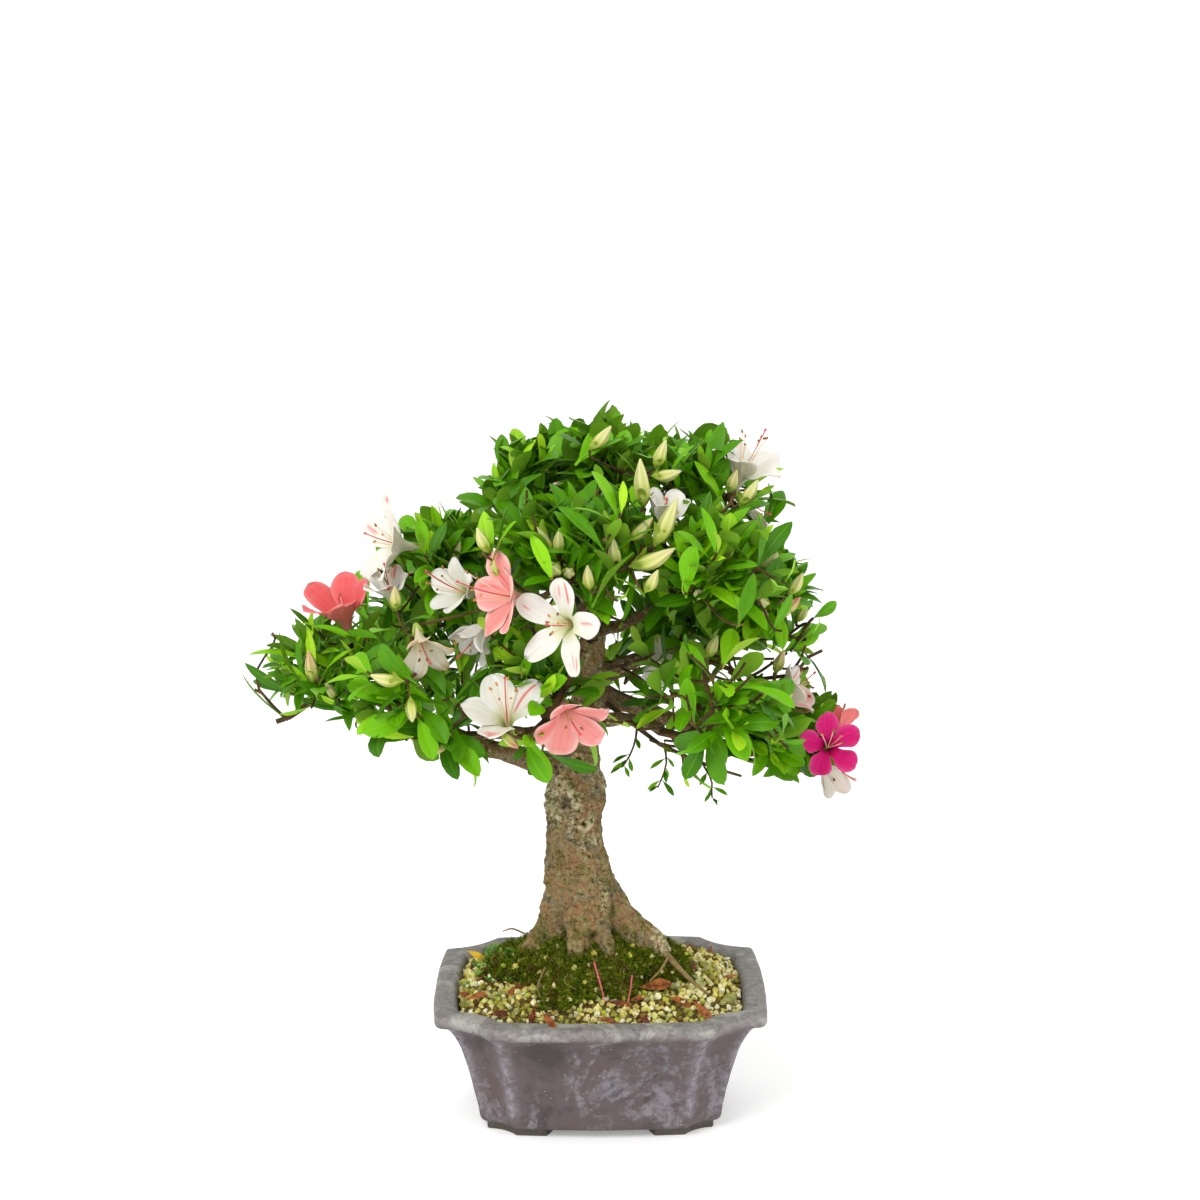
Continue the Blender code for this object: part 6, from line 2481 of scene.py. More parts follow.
@dataclass
class Buds:
    """Pleated cream buds, each held in a cup of green scales."""

    width: float = 0.0080
    sides: int = 20
    rings: int = 14
    pleats: float = 0.13
    pleat_count: int = 5
    wind: float = 2.6
    scales: int = 6

    def spindle(self, shape: Shape, bud: Bud) -> None:
        """One bud: five pleats that wind up to a blunt point.

        Args:
            shape: Where it goes.
            bud: The bud.
        """
        way = unit(np.array(bud.way))
        first, second = across(way)
        share = np.linspace(0.0, 1.0, self.rings)
        turn = TURN * np.arange(self.sides) / self.sides
        reach = self.width / 2 * np.sin(math.pi * share**0.85) ** 0.72 * (bud.length / 0.024) ** 0.5
        reach = np.maximum(reach, 0.0005)
        pleat = 1 + self.pleats * np.cos(self.pleat_count * turn[None] + self.wind * share[:, None])
        out = (reach[:, None] * pleat)[..., None]
        bow = 0.07 * bud.length * (np.sin(math.pi * share) * UP[:, None]).T[:, None]
        points = np.array(bud.root) + bud.length * share[:, None, None] * way
        points = points + out * spokes(first, second, self.sides) - bow
        whole = np.vstack((points.reshape(-1, 3), bud.root, np.array(bud.root) + way * bud.length * 1.01))
        along = np.concatenate((np.repeat(share, self.sides), (0.0, 1.0)))
        crease = 0.5 - 0.5 * np.cos(self.pleat_count * turn[None] + self.wind * share[:, None])
        crease = np.concatenate((crease.ravel(), (0.5, 0.5)))
        red = bud.red * ease(along, 0.30, 0.95) * (0.35 + 0.65 * crease)
        shape.add(whole, *closed(self.rings, self.sides), along=along, red=red, vein=crease)

    def cup(self, form: Array, shape: Shape, bud: Bud, rng: np.random.Generator) -> None:
        """The scales at the foot of a bud.

        Args:
            form: The points of one scale, drawn one metre long.
            shape: Where they go.
            bud: The bud.
            rng: For their small differences.
        """
        quads, caps, quad_slots, cap_slots = LeafForm.faces()
        way = unit(np.array(bud.way))
        first, second = across(way)
        for number in range(self.scales):
            angle = TURN * (number + rng.uniform(-0.2, 0.2)) / self.scales
            radial = math.cos(angle) * first + math.sin(angle) * second
            tilt = math.radians(rng.uniform(14, 42))
            run = math.cos(tilt) * way + math.sin(tilt) * radial
            face = math.sin(tilt) * way - math.cos(tilt) * radial
            length = bud.length * rng.uniform(0.38, 0.66)
            root = np.array(bud.root) - way * 0.0012
            side = np.cross(face, run)
            points = root + length * (form[:, :1] * run + 0.85 * form[:, 1:2] * side + form[:, 2:] * face)
            shape.add(points, quads, caps, slot=[quad_slots, cap_slots])

    def build(self, shoots: list[tuple[Array, Array]], rng: np.random.Generator) -> None:
        """Make the buds that stand on these shoots, and the ones with a place of their own.

        Args:
            shoots: Tips and directions.
            rng: For lengths and tints.
        """
        grown, scales = Shape(), Shape()
        buds = list(SHOWN_BUDS)
        for tip, axis in shoots:
            red = max(0.0, rng.uniform(-2.4, 0.7))
            buds.append(Bud(tuple(tip), tuple(axis), rng.uniform(0.012, 0.021), red))
        scale = LeafForm(rng, broad=True).draw() / LeafForm.length
        for bud in buds:
            self.spindle(grown, bud)
            self.cup(scale, scales, bud, rng)
        board = Board("bud_cream", roughness=0.5, specular_ior_level=0.4)
        along = board.kept("along")
        shade = board.ramp(
            along, (0.10, tone(140, 168, 44)), (0.34, tone(192, 198, 96)), (0.60, tone(216, 212, 142)),
            (0.92, tone(222, 214, 160)),
        )
        # The grooves between the pleats, kept as `vein`, are a darker green; the red is stronger there too.
        shade = board.blend(board.times(board.kept("vein"), 0.55), shade, tone(150, 168, 60))
        shade = board.blend(board.kept("red"), shade, tone(190, 40, 62))
        board.bump((board.noise(0.0010, 3, 0.6), 0.0001))
        settle(grown.made("buds", board.dressed(shade)), "foliage", *FOLIAGE)
        finish = LeafFinish(
            "scale", tone(134, 168, 40), tone(158, 176, 58), tone(166, 186, 74), tone(152, 174, 64), 0.5,
        )
        settle(scales.made("bud_scales", *finish.materials()), "foliage", *FOLIAGE)
        LOG.info("%d buds", len(buds))


# ---- The air in and round the crown ----


@dataclass(frozen=True)
class Airspace:
    """Where leaves may be, as the plant is seen from in front."""

    eye: tuple = (-0.0127, -1.21, 0.602)
    view: tuple = (0.0, -0.975, 0.224)
    outline: tuple = (
        (-0.217, 0.279), (-0.215, 0.298), (-0.201, 0.316), (-0.178, 0.338), (-0.141, 0.384), (-0.103, 0.386),
        (-0.082, 0.403), (-0.069, 0.412), (-0.061, 0.440), (-0.052, 0.431), (-0.034, 0.440), (-0.014, 0.447),
        (-0.004, 0.434), (0.005, 0.454), (0.012, 0.440), (0.030, 0.434), (0.052, 0.440), (0.075, 0.437),
        (0.111, 0.411), (0.112, 0.381), (0.134, 0.359), (0.146, 0.309), (0.166, 0.239), (0.155, 0.206),
        (0.130, 0.214), (0.106, 0.223), (0.079, 0.224), (0.071, 0.208), (0.055, 0.209), (0.031, 0.236),
        (0.003, 0.233), (-0.028, 0.211), (-0.064, 0.213), (-0.100, 0.221), (-0.118, 0.236), (-0.147, 0.240),
        (-0.172, 0.260), (-0.203, 0.248),
    )
    gaps: tuple = (
        (0.092, 0.2900, 0.030, 0.0095), (0.120, 0.318, 0.010, 0.008), (-0.145, 0.352, 0.012, 0.012),
    )
    thin: tuple = ((0.022, 0.312, 0.030, 0.036), (0.034, 0.264, 0.036, 0.024), (0.052, 0.236, 0.040, 0.014))

    def seen(self, points: Array) -> Array:
        """Where points are seen from in front, as (x, z) on the plane through the pot's middle.

        Args:
            points: The points.

        Returns:
            One pair for each.
        """
        share = self.eye[1] / (self.eye[1] - points[:, 1])
        x = self.eye[0] + (points[:, 0] - self.eye[0]) * share
        z = self.eye[2] + (points[:, 2] - self.eye[2]) * share
        return np.stack((x, z), axis=-1)

    def in_silhouette(self, points: Array, grow: float) -> Array:
        """Which points fall inside the crown's outline, grown a little.

        Args:
            points: The points.
            grow: How far the outline is grown, below zero to shrink it.

        Returns:
            True for each point inside.
        """
        outline = np.array(self.outline)
        middle = outline.mean(axis=0)
        outline = outline + grow * unit(outline - middle)
        x, z = self.seen(points).T
        inside = np.zeros(len(points), bool)
        for (x0, z0), (x1, z1) in zip(outline, np.roll(outline, -1, axis=0)):
            if z0 != z1:
                inside ^= ((z0 > z) != (z1 > z)) & (x < (x1 - x0) * (z - z0) / (z1 - z0) + x0)
        return inside

    def in_ovals(self, points: Array, ovals: tuple) -> Array:
        """Which points are seen inside one of some ovals of (x, z, half-width, half-height).

        Args:
            points: The points.
            ovals: The ovals.

        Returns:
            True for each point inside one.
        """
        seen = self.seen(points)
        inside = np.zeros(len(points), bool)
        for x, z, half_x, half_z in ovals:
            inside |= (((seen - (x, z)) / (half_x, half_z)) ** 2).sum(axis=1) < 1
        return inside

    def in_gap(self, points: Array) -> Array:
        """Which points are seen in an open gap of the crown."""
        return self.in_ovals(points, self.gaps)

    def in_thin(self, points: Array) -> Array:
        """Which points are seen where the crown's front is thin and the twigs behind it show."""
        return self.in_ovals(points, self.thin) & (points[:, 1] < -0.012)

    def clear_of_blooms(self, points: Array) -> Array:
        """Which points leave the air round every flower free, and the view into it from in front.

        Args:
            points: The points.

        Returns:
            True for each point that does.
        """
        free = np.ones(len(points), bool)
        view = np.array(self.view)
        for bloom in BLOOMS:
            throat, facing = np.array(bloom.throat), unit(np.array(bloom.facing))
            middle = throat + facing * 0.55 * bloom.length * math.cos(math.radians(bloom.opening))
            reach = bloom.length * math.sin(math.radians(bloom.opening))
            lanes = [(facing, 0.035, 0.78 * reach + 0.003)]
            if throat[1] < 0.05 and not bloom.veiled:
                lanes.append((view, 0.140, 0.62 * reach + 0.003))
            for way, length, radius in lanes:
                share = np.clip((points - middle) @ way, -0.004, length)
                free &= np.linalg.norm(points - middle - share[:, None] * way, axis=1) > radius
        for bud in SHOWN_BUDS:
            root, way = np.array(bud.root), np.array(bud.way)
            for start, line, length, radius in (
                (root, way, bud.length, 0.0042), (root + way * bud.length / 2, view, 0.06, 0.0062),
            ):
                share = np.clip((points - start) @ line, 0.002, length)
                free &= np.linalg.norm(points - start - share[:, None] * line, axis=1) > radius
        return free


AIR = Airspace()


# ---- Side twigs ----


class SideTwig(NamedTuple):
    """A twig with a place of its own: points along it, and its half-width at each end."""

    path: tuple
    base: float
    tip: float


# Shoots that close holes in the crown, each with its place and the way it points.
EXTRA_SHOOTS = (
    ((0.125, -0.010, 0.309), (0.7, -0.2, 0.5)),
    ((0.130, 0.000, 0.320), (0.8, -0.1, 0.4)),
    ((0.115, -0.020, 0.304), (0.6, -0.3, 0.2)),
    ((0.137, 0.010, 0.297), (0.8, 0.0, 0.1)),
    ((0.122, 0.020, 0.313), (0.5, 0.1, 0.8)),
    ((0.110, 0.010, 0.304), (0.3, -0.3, 0.6)),
    ((0.008, 0.036, 0.316), (0.1, -0.3, 0.9)),
    ((0.011, 0.034, 0.288), (0.1, -0.4, 0.7)),
    ((-0.006, 0.046, 0.301), (-0.1, -0.3, 0.9)),
    ((0.016, 0.030, 0.271), (0.2, -0.3, 0.6)),
    ((0.026, 0.040, 0.302), (0.2, -0.4, 0.7)),
    ((0.025, 0.020, 0.284), (0.3, -0.6, 0.3)),
    ((0.000, 0.020, 0.330), (0.0, -0.3, 0.9)),
    ((0.004, 0.050, 0.276), (0.0, -0.2, 0.9)),
    ((-0.033, 0.020, 0.295), (-0.2, -0.5, 0.6)),
    ((-0.044, 0.036, 0.298), (-0.2, -0.3, 0.8)),
    ((-0.196, -0.020, 0.261), (-0.8, -0.2, 0.0)),
    ((-0.209, -0.015, 0.280), (-0.9, -0.1, 0.15)),
    ((-0.211, -0.010, 0.292), (-0.9, 0.0, 0.4)),
    ((-0.198, -0.010, 0.314), (-0.7, -0.1, 0.6)),
    ((0.100, -0.010, 0.379), (0.6, -0.1, 0.7)),
    ((-0.136, -0.006, 0.354), (-0.5, -0.1, 0.8)),
    ((-0.036, -0.060, 0.244), (-0.2, -0.3, -0.6)),
    ((0.049, -0.050, 0.242), (0.0, -0.4, -0.7)),
    ((0.038, -0.040, 0.254), (0.1, -0.6, -0.2)),
)

SIDE_TWIGS = (
    SideTwig(
        (
            (0.052, -0.004, 0.300), (0.0765, -0.012, 0.2906), (0.103, -0.016, 0.2835),
            (0.1255, -0.020, 0.2940),
        ),
        0.0018, 0.0010,
    ),
    SideTwig(((0.078, -0.012, 0.2900), (0.090, -0.019, 0.2800), (0.1064, -0.022, 0.2700)), 0.0014, 0.0009),
    SideTwig(((0.060, -0.006, 0.2985), (0.082, -0.020, 0.2995), (0.104, -0.026, 0.3010)), 0.0014, 0.0008),
    SideTwig(((0.090, -0.014, 0.2865), (0.100, -0.020, 0.2935), (0.112, -0.024, 0.3040)), 0.0012, 0.0008),
    SideTwig(((0.103, -0.016, 0.2835), (0.114, -0.022, 0.2830), (0.126, -0.028, 0.2780)), 0.0011, 0.0007),
    SideTwig(((0.070, -0.008, 0.2930), (0.078, -0.014, 0.3035), (0.086, -0.018, 0.3120)), 0.0012, 0.0008),
    SideTwig(((0.1120, -0.019, 0.2870), (0.120, -0.024, 0.3000), (0.122, -0.030, 0.3100)), 0.0010, 0.0007),
    SideTwig(
        (
            (0.066, -0.008, 0.2430), (0.0872, -0.010, 0.2331), (0.110, -0.012, 0.2290),
            (0.1332, -0.016, 0.2260),
        ),
        0.0020, 0.0011,
    ),
    SideTwig(
        ((0.004, -0.012, 0.2700), (0.030, -0.030, 0.2520), (0.058, -0.040, 0.2400), (0.084, -0.046, 0.2340)),
        0.0016, 0.0008,
    ),
    SideTwig(((0.010, -0.020, 0.2660), (0.024, -0.044, 0.2620), (0.036, -0.060, 0.2680)), 0.0013, 0.0007),
    SideTwig(((0.030, -0.030, 0.2520), (0.044, -0.054, 0.2540), (0.060, -0.070, 0.2600)), 0.0011, 0.0006),
    SideTwig(((0.004, -0.030, 0.2960), (0.016, -0.060, 0.3060), (0.030, -0.080, 0.3180)), 0.0014, 0.0007),
    SideTwig(((0.012, -0.050, 0.3020), (0.026, -0.070, 0.2980), (0.040, -0.086, 0.2900)), 0.0010, 0.0006),
    SideTwig(((0.002, -0.026, 0.2860), (0.020, -0.050, 0.2820), (0.032, -0.076, 0.2760)), 0.0012, 0.0006),
)
# Thin twigs that hang below the crown with small leaves on them.
TRAILERS = (
    SideTwig(((0.022, -0.026, 0.2580), (0.019, -0.036, 0.2460), (0.013, -0.040, 0.2380)), 0.0008, 0.0005),
    SideTwig(((0.038, -0.032, 0.2500), (0.040, -0.042, 0.2380), (0.034, -0.046, 0.2270)), 0.0008, 0.0005),
    SideTwig(((0.060, -0.040, 0.2420), (0.066, -0.050, 0.2330), (0.066, -0.054, 0.2230)), 0.0008, 0.0005),
)


# ---- Growing the crown ----


class Sprig(NamedTuple):
    """Leaves that have found their place, one row each."""

    root: Array
    run: Array
    face: Array
    length: Array
    broad: Array
    rank: Array
    tint: Array


@dataclass
class Crown:
    """Twigs that branch by one seeded rule from the boughs, ending in rosettes of leaves."""

    shell_sites: int = 28
    outer_sites: int = 22
    inner_sites: int = 8
    back_sites: int = 9
    tip_inset: float = 0.023
    heart_drop: float = 0.18
    onward_run: float = 0.30
    stem_sag: float = 0.10
    straight_on: float = 0.35
    twig_radius: float = 0.00078
    swelling: float = 0.36
    leaf_length: float = 0.0365
    whorl: int = 7
    under_share: float = 0.5
    overlap: float = 0.006
    slack: float = 1.34
    spike: float = 0.42
    in_gaps: float = 0.10
    in_thin: float = 0.45
    site_clearance: float = 0.006
    leaf_clearance: float = 0.0025
    past_box: float = 0.003
    twig_crook: float = 0.0012
    bud_share: dict = field(default_factory=lambda: {
        "foliage_upper_front": 0.20, "foliage_upper_right": 0.24, "foliage_top": 0.16,
        "foliage_top_right": 0.20,
        "foliage_middle_right": 0.18, "foliage_far_left": 0.08, "foliage_front": 0.06,
    })
    relief: Relief = field(default_factory=lambda: Relief(41))

    def stem(self, mass: Mass) -> Array:
        """The line from a mass's carrier to its heart.

        Args:
            mass: The mass.

        Returns:
            Seven points.
        """
        heart = np.array(mass.centre) - UP * self.heart_drop * mass.radii[2]
        if isinstance(mass.carrier, float):
            start = Trunk.centre(mass.carrier)
            middle = (start + heart) / 2 - UP * self.stem_sag * np.linalg.norm((heart - start)[:2])
        else:
            path = Limbs.path(next(b for b in BOUGHS if b.name == mass.carrier), 9)
            start = path[-2]
            onward = unit(path[-1] - path[-2])
            middle = path[-1] + onward * self.onward_run * np.linalg.norm(heart - path[-1])
        return arc(start, 2 * middle - (start + heart) / 2, heart, np.linspace(0.0, 1.0, 7)[:, None])

    def sites(self, index: int, rng: np.random.Generator) -> tuple[Array, Array]:
        """Places for the tips of shoots, near the outside of a mass and some deeper in.

        Args:
            index: Which mass.
            rng: For the turn and play of the places.

        Returns:
            The places, and the outward direction at each.
        """
        mass = MASSES[index]
        radii = np.array(mass.radii)
        places, outs = [], []
        extra = self.back_sites if mass.centre[1] > -0.03 else 0
        layers = (
            (self.shell_sites, self.tip_inset, 0.006), (self.inner_sites + extra, 0.034, 0.008),
            (self.outer_sites + extra, -0.002, 0.006),
        )
        for count, inset, spread in layers:
            number = np.arange(count)
            height = 1 - 2 * (number + 0.5) / count
            level = np.sqrt(1 - height**2)
            angle = rng.uniform(0, TURN) + number * GOLDEN_ANGLE
            out = np.stack((level * np.cos(angle), level * np.sin(angle), height), axis=-1)
            play = rng.uniform(-spread, spread, (count, 3))
            places.append(np.array(mass.centre) + out * np.maximum(radii - inset, 0.008) + play)
            outs.append(unit(out / radii))
        place, out = np.concatenate(places), np.concatenate(outs)
        keep = (room(index, place) > 0.0010) & (limb_clearance(place) > self.site_clearance)
        keep &= AIR.clear_of_blooms(place)
        keep &= (out[:, 2] > -0.3) | (rng.random(len(out)) < self.under_share)
        keep &= within(mass, place, 1.0) | AIR.in_silhouette(place, -0.028)
        keep &= AIR.in_silhouette(place, -0.008)
        return place[keep], out[keep]

    def grow(self, index: int, rng: np.random.Generator) -> tuple[list, Array, Array]:
        """Branch twigs to every site of a mass.

        Args:
            index: Which mass.
            rng: For its sites.

        Returns:
            The twigs as (path, base radius, tip radius), and the tips and directions of the shoots.
        """
        mass = MASSES[index]
        stem = self.stem(mass)
        place, out = self.sites(index, rng)
        flowers = [bloom for bloom in BLOOMS if bloom.mass == mass.name]
        buds = [bud for bud in SHOWN_BUDS if nearest_mass(bud.root) == index]
        extra = [
            (np.array(at), unit(np.array(way))) for at, way in EXTRA_SHOOTS if nearest_mass(at) == index
        ]
        fixed = [unit(np.array(bloom.facing)) for bloom in flowers] + [np.array(bud.way) for bud in buds]
        fixed += [way for _, way in extra]
        goals = [np.array(b.throat) - way * (Blossom.tube + 0.001) for b, way in zip(flowers, fixed)]
        goals += [np.array(bud.root) - way * 0.0006 for bud, way in zip(buds, fixed[len(flowers):])]
        goals += [at for at, _ in extra]
        order = np.argsort(np.linalg.norm(place - stem[3], axis=1))
        joints = [stem[step] for step in range(2, 7)]
        ways = [unit(stem[step] - stem[step - 1]) for step in range(2, 7)]
        owners, parents, paths, tips, axes = [-1] * 5, [], [], [], []
        for goal, outwards in [(g, None) for g in goals] + [(place[i], out[i]) for i in order]:
            run = goal - np.array(joints)
            length = np.linalg.norm(run, axis=1)
            cost = length * (
                1 + self.straight_on * (1 - (run * np.array(ways)).sum(axis=1) / np.maximum(length, 1e-6))
            )
            cost[length < 0.006] = np.inf
            best = int(np.argmin(cost))
            start, span = joints[best], length[best]
            share = np.linspace(0.0, 1.0, 6)[:, None]
            if outwards is None:
                end_way = fixed[len(paths)]
            else:
                rising = {Habit.UPRIGHT: 0.85, Habit.STRAP: 0.22, Habit.BROAD: 0.34}[mass.habit]
                end_way = unit(0.50 * unit(goal - start) + 0.45 * outwards + rising * UP)
            first = start + ways[best] * 0.30 * span
            second = goal - end_way * 0.30 * span
            path = (1 - share) ** 3 * start + 3 * share * (1 - share) ** 2 * first
            path = path + 3 * share**2 * (1 - share) * second + share**3 * goal
            path = path + self.twig_crook * np.sin(math.pi * share) * self.relief.shifts(path, 0.011)
            number = len(paths)
            paths.append(path)
            parents.append(owners[best])
            for step in (1, 2, 3, 4):
                joints.append(path[step])
                ways.append(unit(path[step + 1] - path[step]))
                owners.append(number)
            if outwards is not None:
                tips.append(path[-1])
                axes.append(end_way)
        load = np.ones(len(paths))
        for number in range(len(paths) - 1, -1, -1):
            if parents[number] >= 0:
                load[parents[number]] += load[number]
        radii = self.twig_radius * load**self.swelling
        twigs = [
            (path, radii[n], max(0.72 * radii[n] if load[n] > 1.5 else 0, self.twig_radius))
            for n, path in enumerate(paths)
        ]
        stem_radius = self.twig_radius * load[np.array(parents) < 0].sum() ** self.swelling
        twigs.append((stem[[0, 1, 3, 4, 5, 6]], max(stem_radius, 0.0026), 0.0018))
        for bud in buds:
            tips.append(np.array(bud.root) - np.array(bud.way) * 0.004)
            axes.append(np.array(bud.way))
        for at, way in extra:
            tips.append(at)
            axes.append(way)
        return twigs, np.array(tips), np.array(axes)

    def rosettes(self, index: int, tips: Array, axes: Array, rng: np.random.Generator) -> Sprig:
        """Deal leaves round every shoot of a mass, and keep those that have room.

        Args:
            index: Which mass.
            tips: The shoots' ends.
            axes: The shoots' directions.
            rng: For lengths, turns and greens.

        Returns:
            The leaves that found a place.
        """
        mass = MASSES[index]
        shoots, each = len(tips), self.whorl
        rank = np.tile(np.arange(each), shoots)
        tip, axis = np.repeat(tips, each, axis=0), np.repeat(axes, each, axis=0)
        many = shoots * each
        bearing = np.repeat(rng.uniform(0, TURN, shoots), each) + rank * GOLDEN_ANGLE
        widest = {Habit.UPRIGHT: 62, Habit.STRAP: 70, Habit.BROAD: 78}[mass.habit]
        spread = np.interp(rank, (0, 1, 2, each - 1), (12, 26, 38, widest)) + rng.uniform(-11, 11, many)
        spread = np.radians(spread)
        first, second = across(axis)
        radial = np.cos(bearing)[:, None] * first + np.sin(bearing)[:, None] * second
        run = np.cos(spread)[:, None] * axis + np.sin(spread)[:, None] * radial
        lift = {Habit.UPRIGHT: 0.22, Habit.STRAP: 0.02, Habit.BROAD: -0.04}[mass.habit]
        run = unit(run + lift * UP)
        face = np.sin(spread)[:, None] * axis - np.cos(spread)[:, None] * radial + 0.55 * UP
        face = unit(face - (face * run).sum(axis=1, keepdims=True) * run)
        grown = np.interp(rank, (0, 1, 3, each - 1), (0.52, 0.80, 1.0, 0.94))
        full = self.leaf_length * {Habit.UPRIGHT: 1.0, Habit.STRAP: 1.12, Habit.BROAD: 0.90}[mass.habit]
        length = full * grown * rng.uniform(0.80, 1.14, many)
        root = tip - axis * (0.0006 + 0.0016 * rank)[:, None]
        spray = np.repeat(rng.random(shoots), each)
        tint = 0.62 * spray + 0.38 * rng.random(many)
        broad = (rng.random(many) < {Habit.UPRIGHT: 0.35, Habit.STRAP: 0.1, Habit.BROAD: 0.8}[mass.habit])
        keep = np.ones(many, bool)
        lucky = rng.random(many)
        for share in (0.45, 0.75, 1.0):
            point = root + run * (length * share)[:, None]
            keep &= room(index, point) > -self.overlap
            keep &= within(mass, point, self.slack)
            keep &= limb_clearance(point) > self.leaf_clearance
            keep &= AIR.clear_of_blooms(point)
            keep &= AIR.in_silhouette(point, 0.0 if share < 0.8 else 0.007)
            keep &= AIR.in_silhouette(point, -0.004) | (lucky < self.spike)
            keep &= ((point > CROWN_LOW - self.past_box) & (point < CROWN_HIGH + self.past_box)).all(axis=1)
            keep &= ~AIR.in_gap(point) | (lucky < self.in_gaps)
            keep &= ~AIR.in_thin(point) | (lucky < self.in_thin)
        return Sprig(*(part[keep] for part in (root, run, face, length, broad, rank, tint)))

    def build(self) -> None:
        """Grow every mass, and make the twigs and the leaves of each green as joined meshes."""
        rng = np.random.default_rng(2024)
        twigs, sprigs, habits, budding = [], [], [], []
        for index, mass in enumerate(MASSES):
            grown, tips, axes = self.grow(index, rng)
            twigs += grown
            sprig = self.rosettes(index, tips, axes, rng)
            sprigs.append(sprig)
            habits += [mass.habit] * len(sprig.root)
            chance = self.bud_share.get(mass.name, 0.07)
            for tip, axis in zip(tips, axes):
                free = self.slack_at(mass, tip + axis * 0.024)
                if rng.random() < chance and axis[2] > -0.1 and free:
                    budding.append((tip, axis))
        trailing, hanging = self.trailers(rng)
        sprigs.append(trailing)
        habits += [Habit.UPRIGHT] * len(trailing.root)
        twigs += hanging + [self.side_twig(twig) for twig in SIDE_TWIGS]
        self.make_twigs(twigs)
        self.make_leaves(Sprig(*(np.concatenate(parts) for parts in zip(*sprigs))), np.array(habits), rng)
        Buds().build(budding, rng)

    def trailers(self, rng: np.random.Generator) -> tuple[Sprig, list]:
        """The hanging twigs with their small leaves.

        Args:
            rng: For lengths, turns and greens.

        Returns:
            The leaves, and the twigs as (path, base radius, tip radius).
        """
        rows, twigs = [], []
        for twig in TRAILERS:
            path, base, tip = self.side_twig(twig)
            twigs.append((path, base, tip))
            for step, share in enumerate(np.sort(rng.uniform(0.2, 1.0, 7))):
                place = through(path, share)
                axis = unit(path[-1] - path[0])
                first, second = across(axis)
                turn = step * GOLDEN_ANGLE + rng.uniform(-0.4, 0.4)
                out = math.cos(turn) * first + math.sin(turn) * second
                run = unit(0.75 * axis + 0.8 * out)
                face = unit(UP * 0.6 - 0.4 * out - (UP * 0.6 - 0.4 * out) @ run * run)
                rows.append((place, run, face, rng.uniform(0.007, 0.015), False, 3, rng.uniform(0.2, 0.8)))
        return Sprig(*(np.array(part) for part in zip(*rows))), twigs

    def slack_at(self, mass: Mass, point: Array) -> bool:
        """Whether a bud that ends at a point stays in the crown.

        Args:
            mass: The mass that the bud grows in.
            point: Where it ends.

        Returns:
            True where it stays inside.
        """
        point = point[None]
        inside = within(mass, point, self.slack) & AIR.in_silhouette(point, 0.004)
        inside &= AIR.clear_of_blooms(point)
        return bool(inside[0] and ((point > CROWN_LOW) & (point < CROWN_HIGH)).all())

    def side_twig(self, twig: SideTwig) -> tuple:
        """A twig along its own points, a little crooked.

        Args:
            twig: The twig.

        Returns:
            Its path and the half-width at each end.
        """
        share = np.linspace(0.0, 1.0, 6)
        path = through(twig.path, share)
        path[1:-1] = (path[:-2] + 2 * path[1:-1] + path[2:]) / 4
        path = path + self.twig_crook * np.sin(math.pi * share)[:, None] * self.relief.shifts(path, 0.009)
        return path, twig.base, twig.tip

    def make_twigs(self, twigs: list) -> None:
        """The twigs as one mesh.

        Args:
            twigs: Each as (path, base radius, tip radius).
        """
        shape = Shape()
        share = np.linspace(0.0, 1.0, 6)
        paths = np.array([path for path, _, _ in twigs])
        radii = np.array([base + (tip - base) * share for _, base, tip in twigs])
        tubes(shape, paths, radii, 6)
        board = Board("twig_bark", roughness=0.8, specular_ior_level=0.3)
        shade = board.ramp(
            board.noise(0.012, 4, 0.6), (0.35, tone(50, 36, 16)), (0.52, tone(84, 62, 30)),
            (0.68, tone(116, 92, 50)),
        )
        board.bump((board.noise(0.0016, 3, 0.7), 0.0003))
        settle(shape.made("twigs", board.dressed(shade)), "foliage", *FOLIAGE)

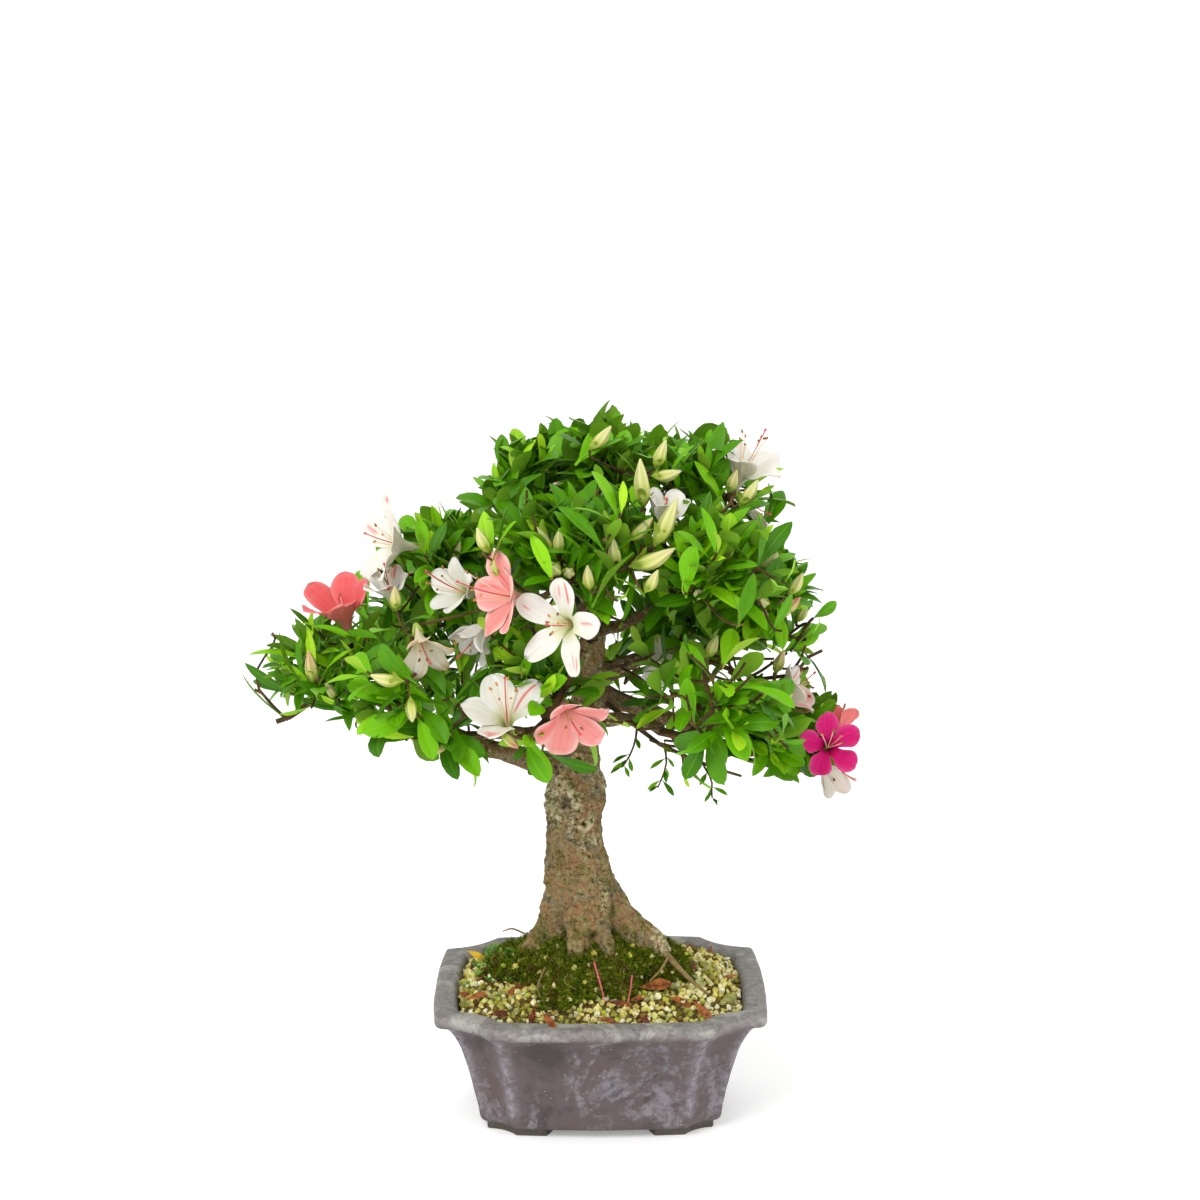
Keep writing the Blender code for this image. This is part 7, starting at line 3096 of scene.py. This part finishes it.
    def make_leaves(self, sprig: Sprig, habits: Array, rng: np.random.Generator) -> None:
        """The leaves, those of each green as one mesh.

        Args:
            sprig: The leaves.
            habits: The habit of each.
            rng: For their cuts and widths.
        """
        forms = {broad: [LeafForm(rng, broad) for _ in range(7)] for broad in (False, True)}
        drawn = {broad: np.array([form.draw() for form in group]) for broad, group in forms.items()}
        quads, caps, quad_slots, cap_slots = LeafForm.faces()
        many = len(sprig.root)
        which = rng.integers(0, 7, many)
        slim = rng.uniform(0.86, 1.12, many) * np.where(habits == Habit.STRAP, 0.66, 1.0)
        slim = slim * np.where(sprig.broad, 1.08, 0.82)
        side = np.cross(sprig.face, sprig.run)
        greens = self.deal(sprig, habits)
        for green, finish in LEAVES.items():
            shape = Shape()
            for broad in (False, True):
                for second in (False, True):
                    chosen = (greens == green) & (sprig.broad == broad) & ((which % 2 == 1) == second)
                    leaf = drawn[broad][which[chosen]] / LeafForm.length
                    leaf = leaf * sprig.length[chosen][:, None, None]
                    points = sprig.root[chosen][:, None] + leaf[..., :1] * sprig.run[chosen][:, None]
                    points = points + leaf[..., 1:2] * slim[chosen][:, None, None] * side[chosen][:, None]
                    points = points + leaf[..., 2:] * sprig.face[chosen][:, None]
                    shift = 3 if second else 0
                    shape.copies(points, quads, caps, slot=[quad_slots + shift, cap_slots + shift])
            settle(shape.made(f"leaves_{green.value}", *finish.materials()), "foliage", *FOLIAGE)
        LOG.info("%d leaves", many)

    @staticmethod
    def deal(sprig: Sprig, habits: Array) -> Array:
        """The green of each leaf, by its spray, its rank in the rosette and its habit.

        Args:
            sprig: The leaves.
            habits: The habit of each.

        Returns:
            One green for each leaf.
        """
        bright = np.where(habits == Habit.BROAD, 0.03, 0.0)
        age = sprig.tint + bright - 0.05 * np.minimum(sprig.rank, 3) / 3
        greens = np.full(len(age), Green.FRESH, dtype=object)
        greens[age < 0.38] = Green.DEEP
        greens[age > 0.66] = Green.BRIGHT
        greens[(sprig.rank <= 1) & (age > 0.52)] = Green.YOUNG
        return greens


# ---- Everything in order ----


def main() -> None:
    """Build every piece in order."""
    logging.basicConfig(level=logging.INFO, format="%(message)s")
    Studio().build()
    pot, trunk = Pot(), Trunk()
    pot.build()
    Ground(pot, trunk).build()
    trunk.build()
    Limbs().build()
    Litter().build()
    Crown().build()
    Blossom().build()


if __name__ == "__main__":
    main()
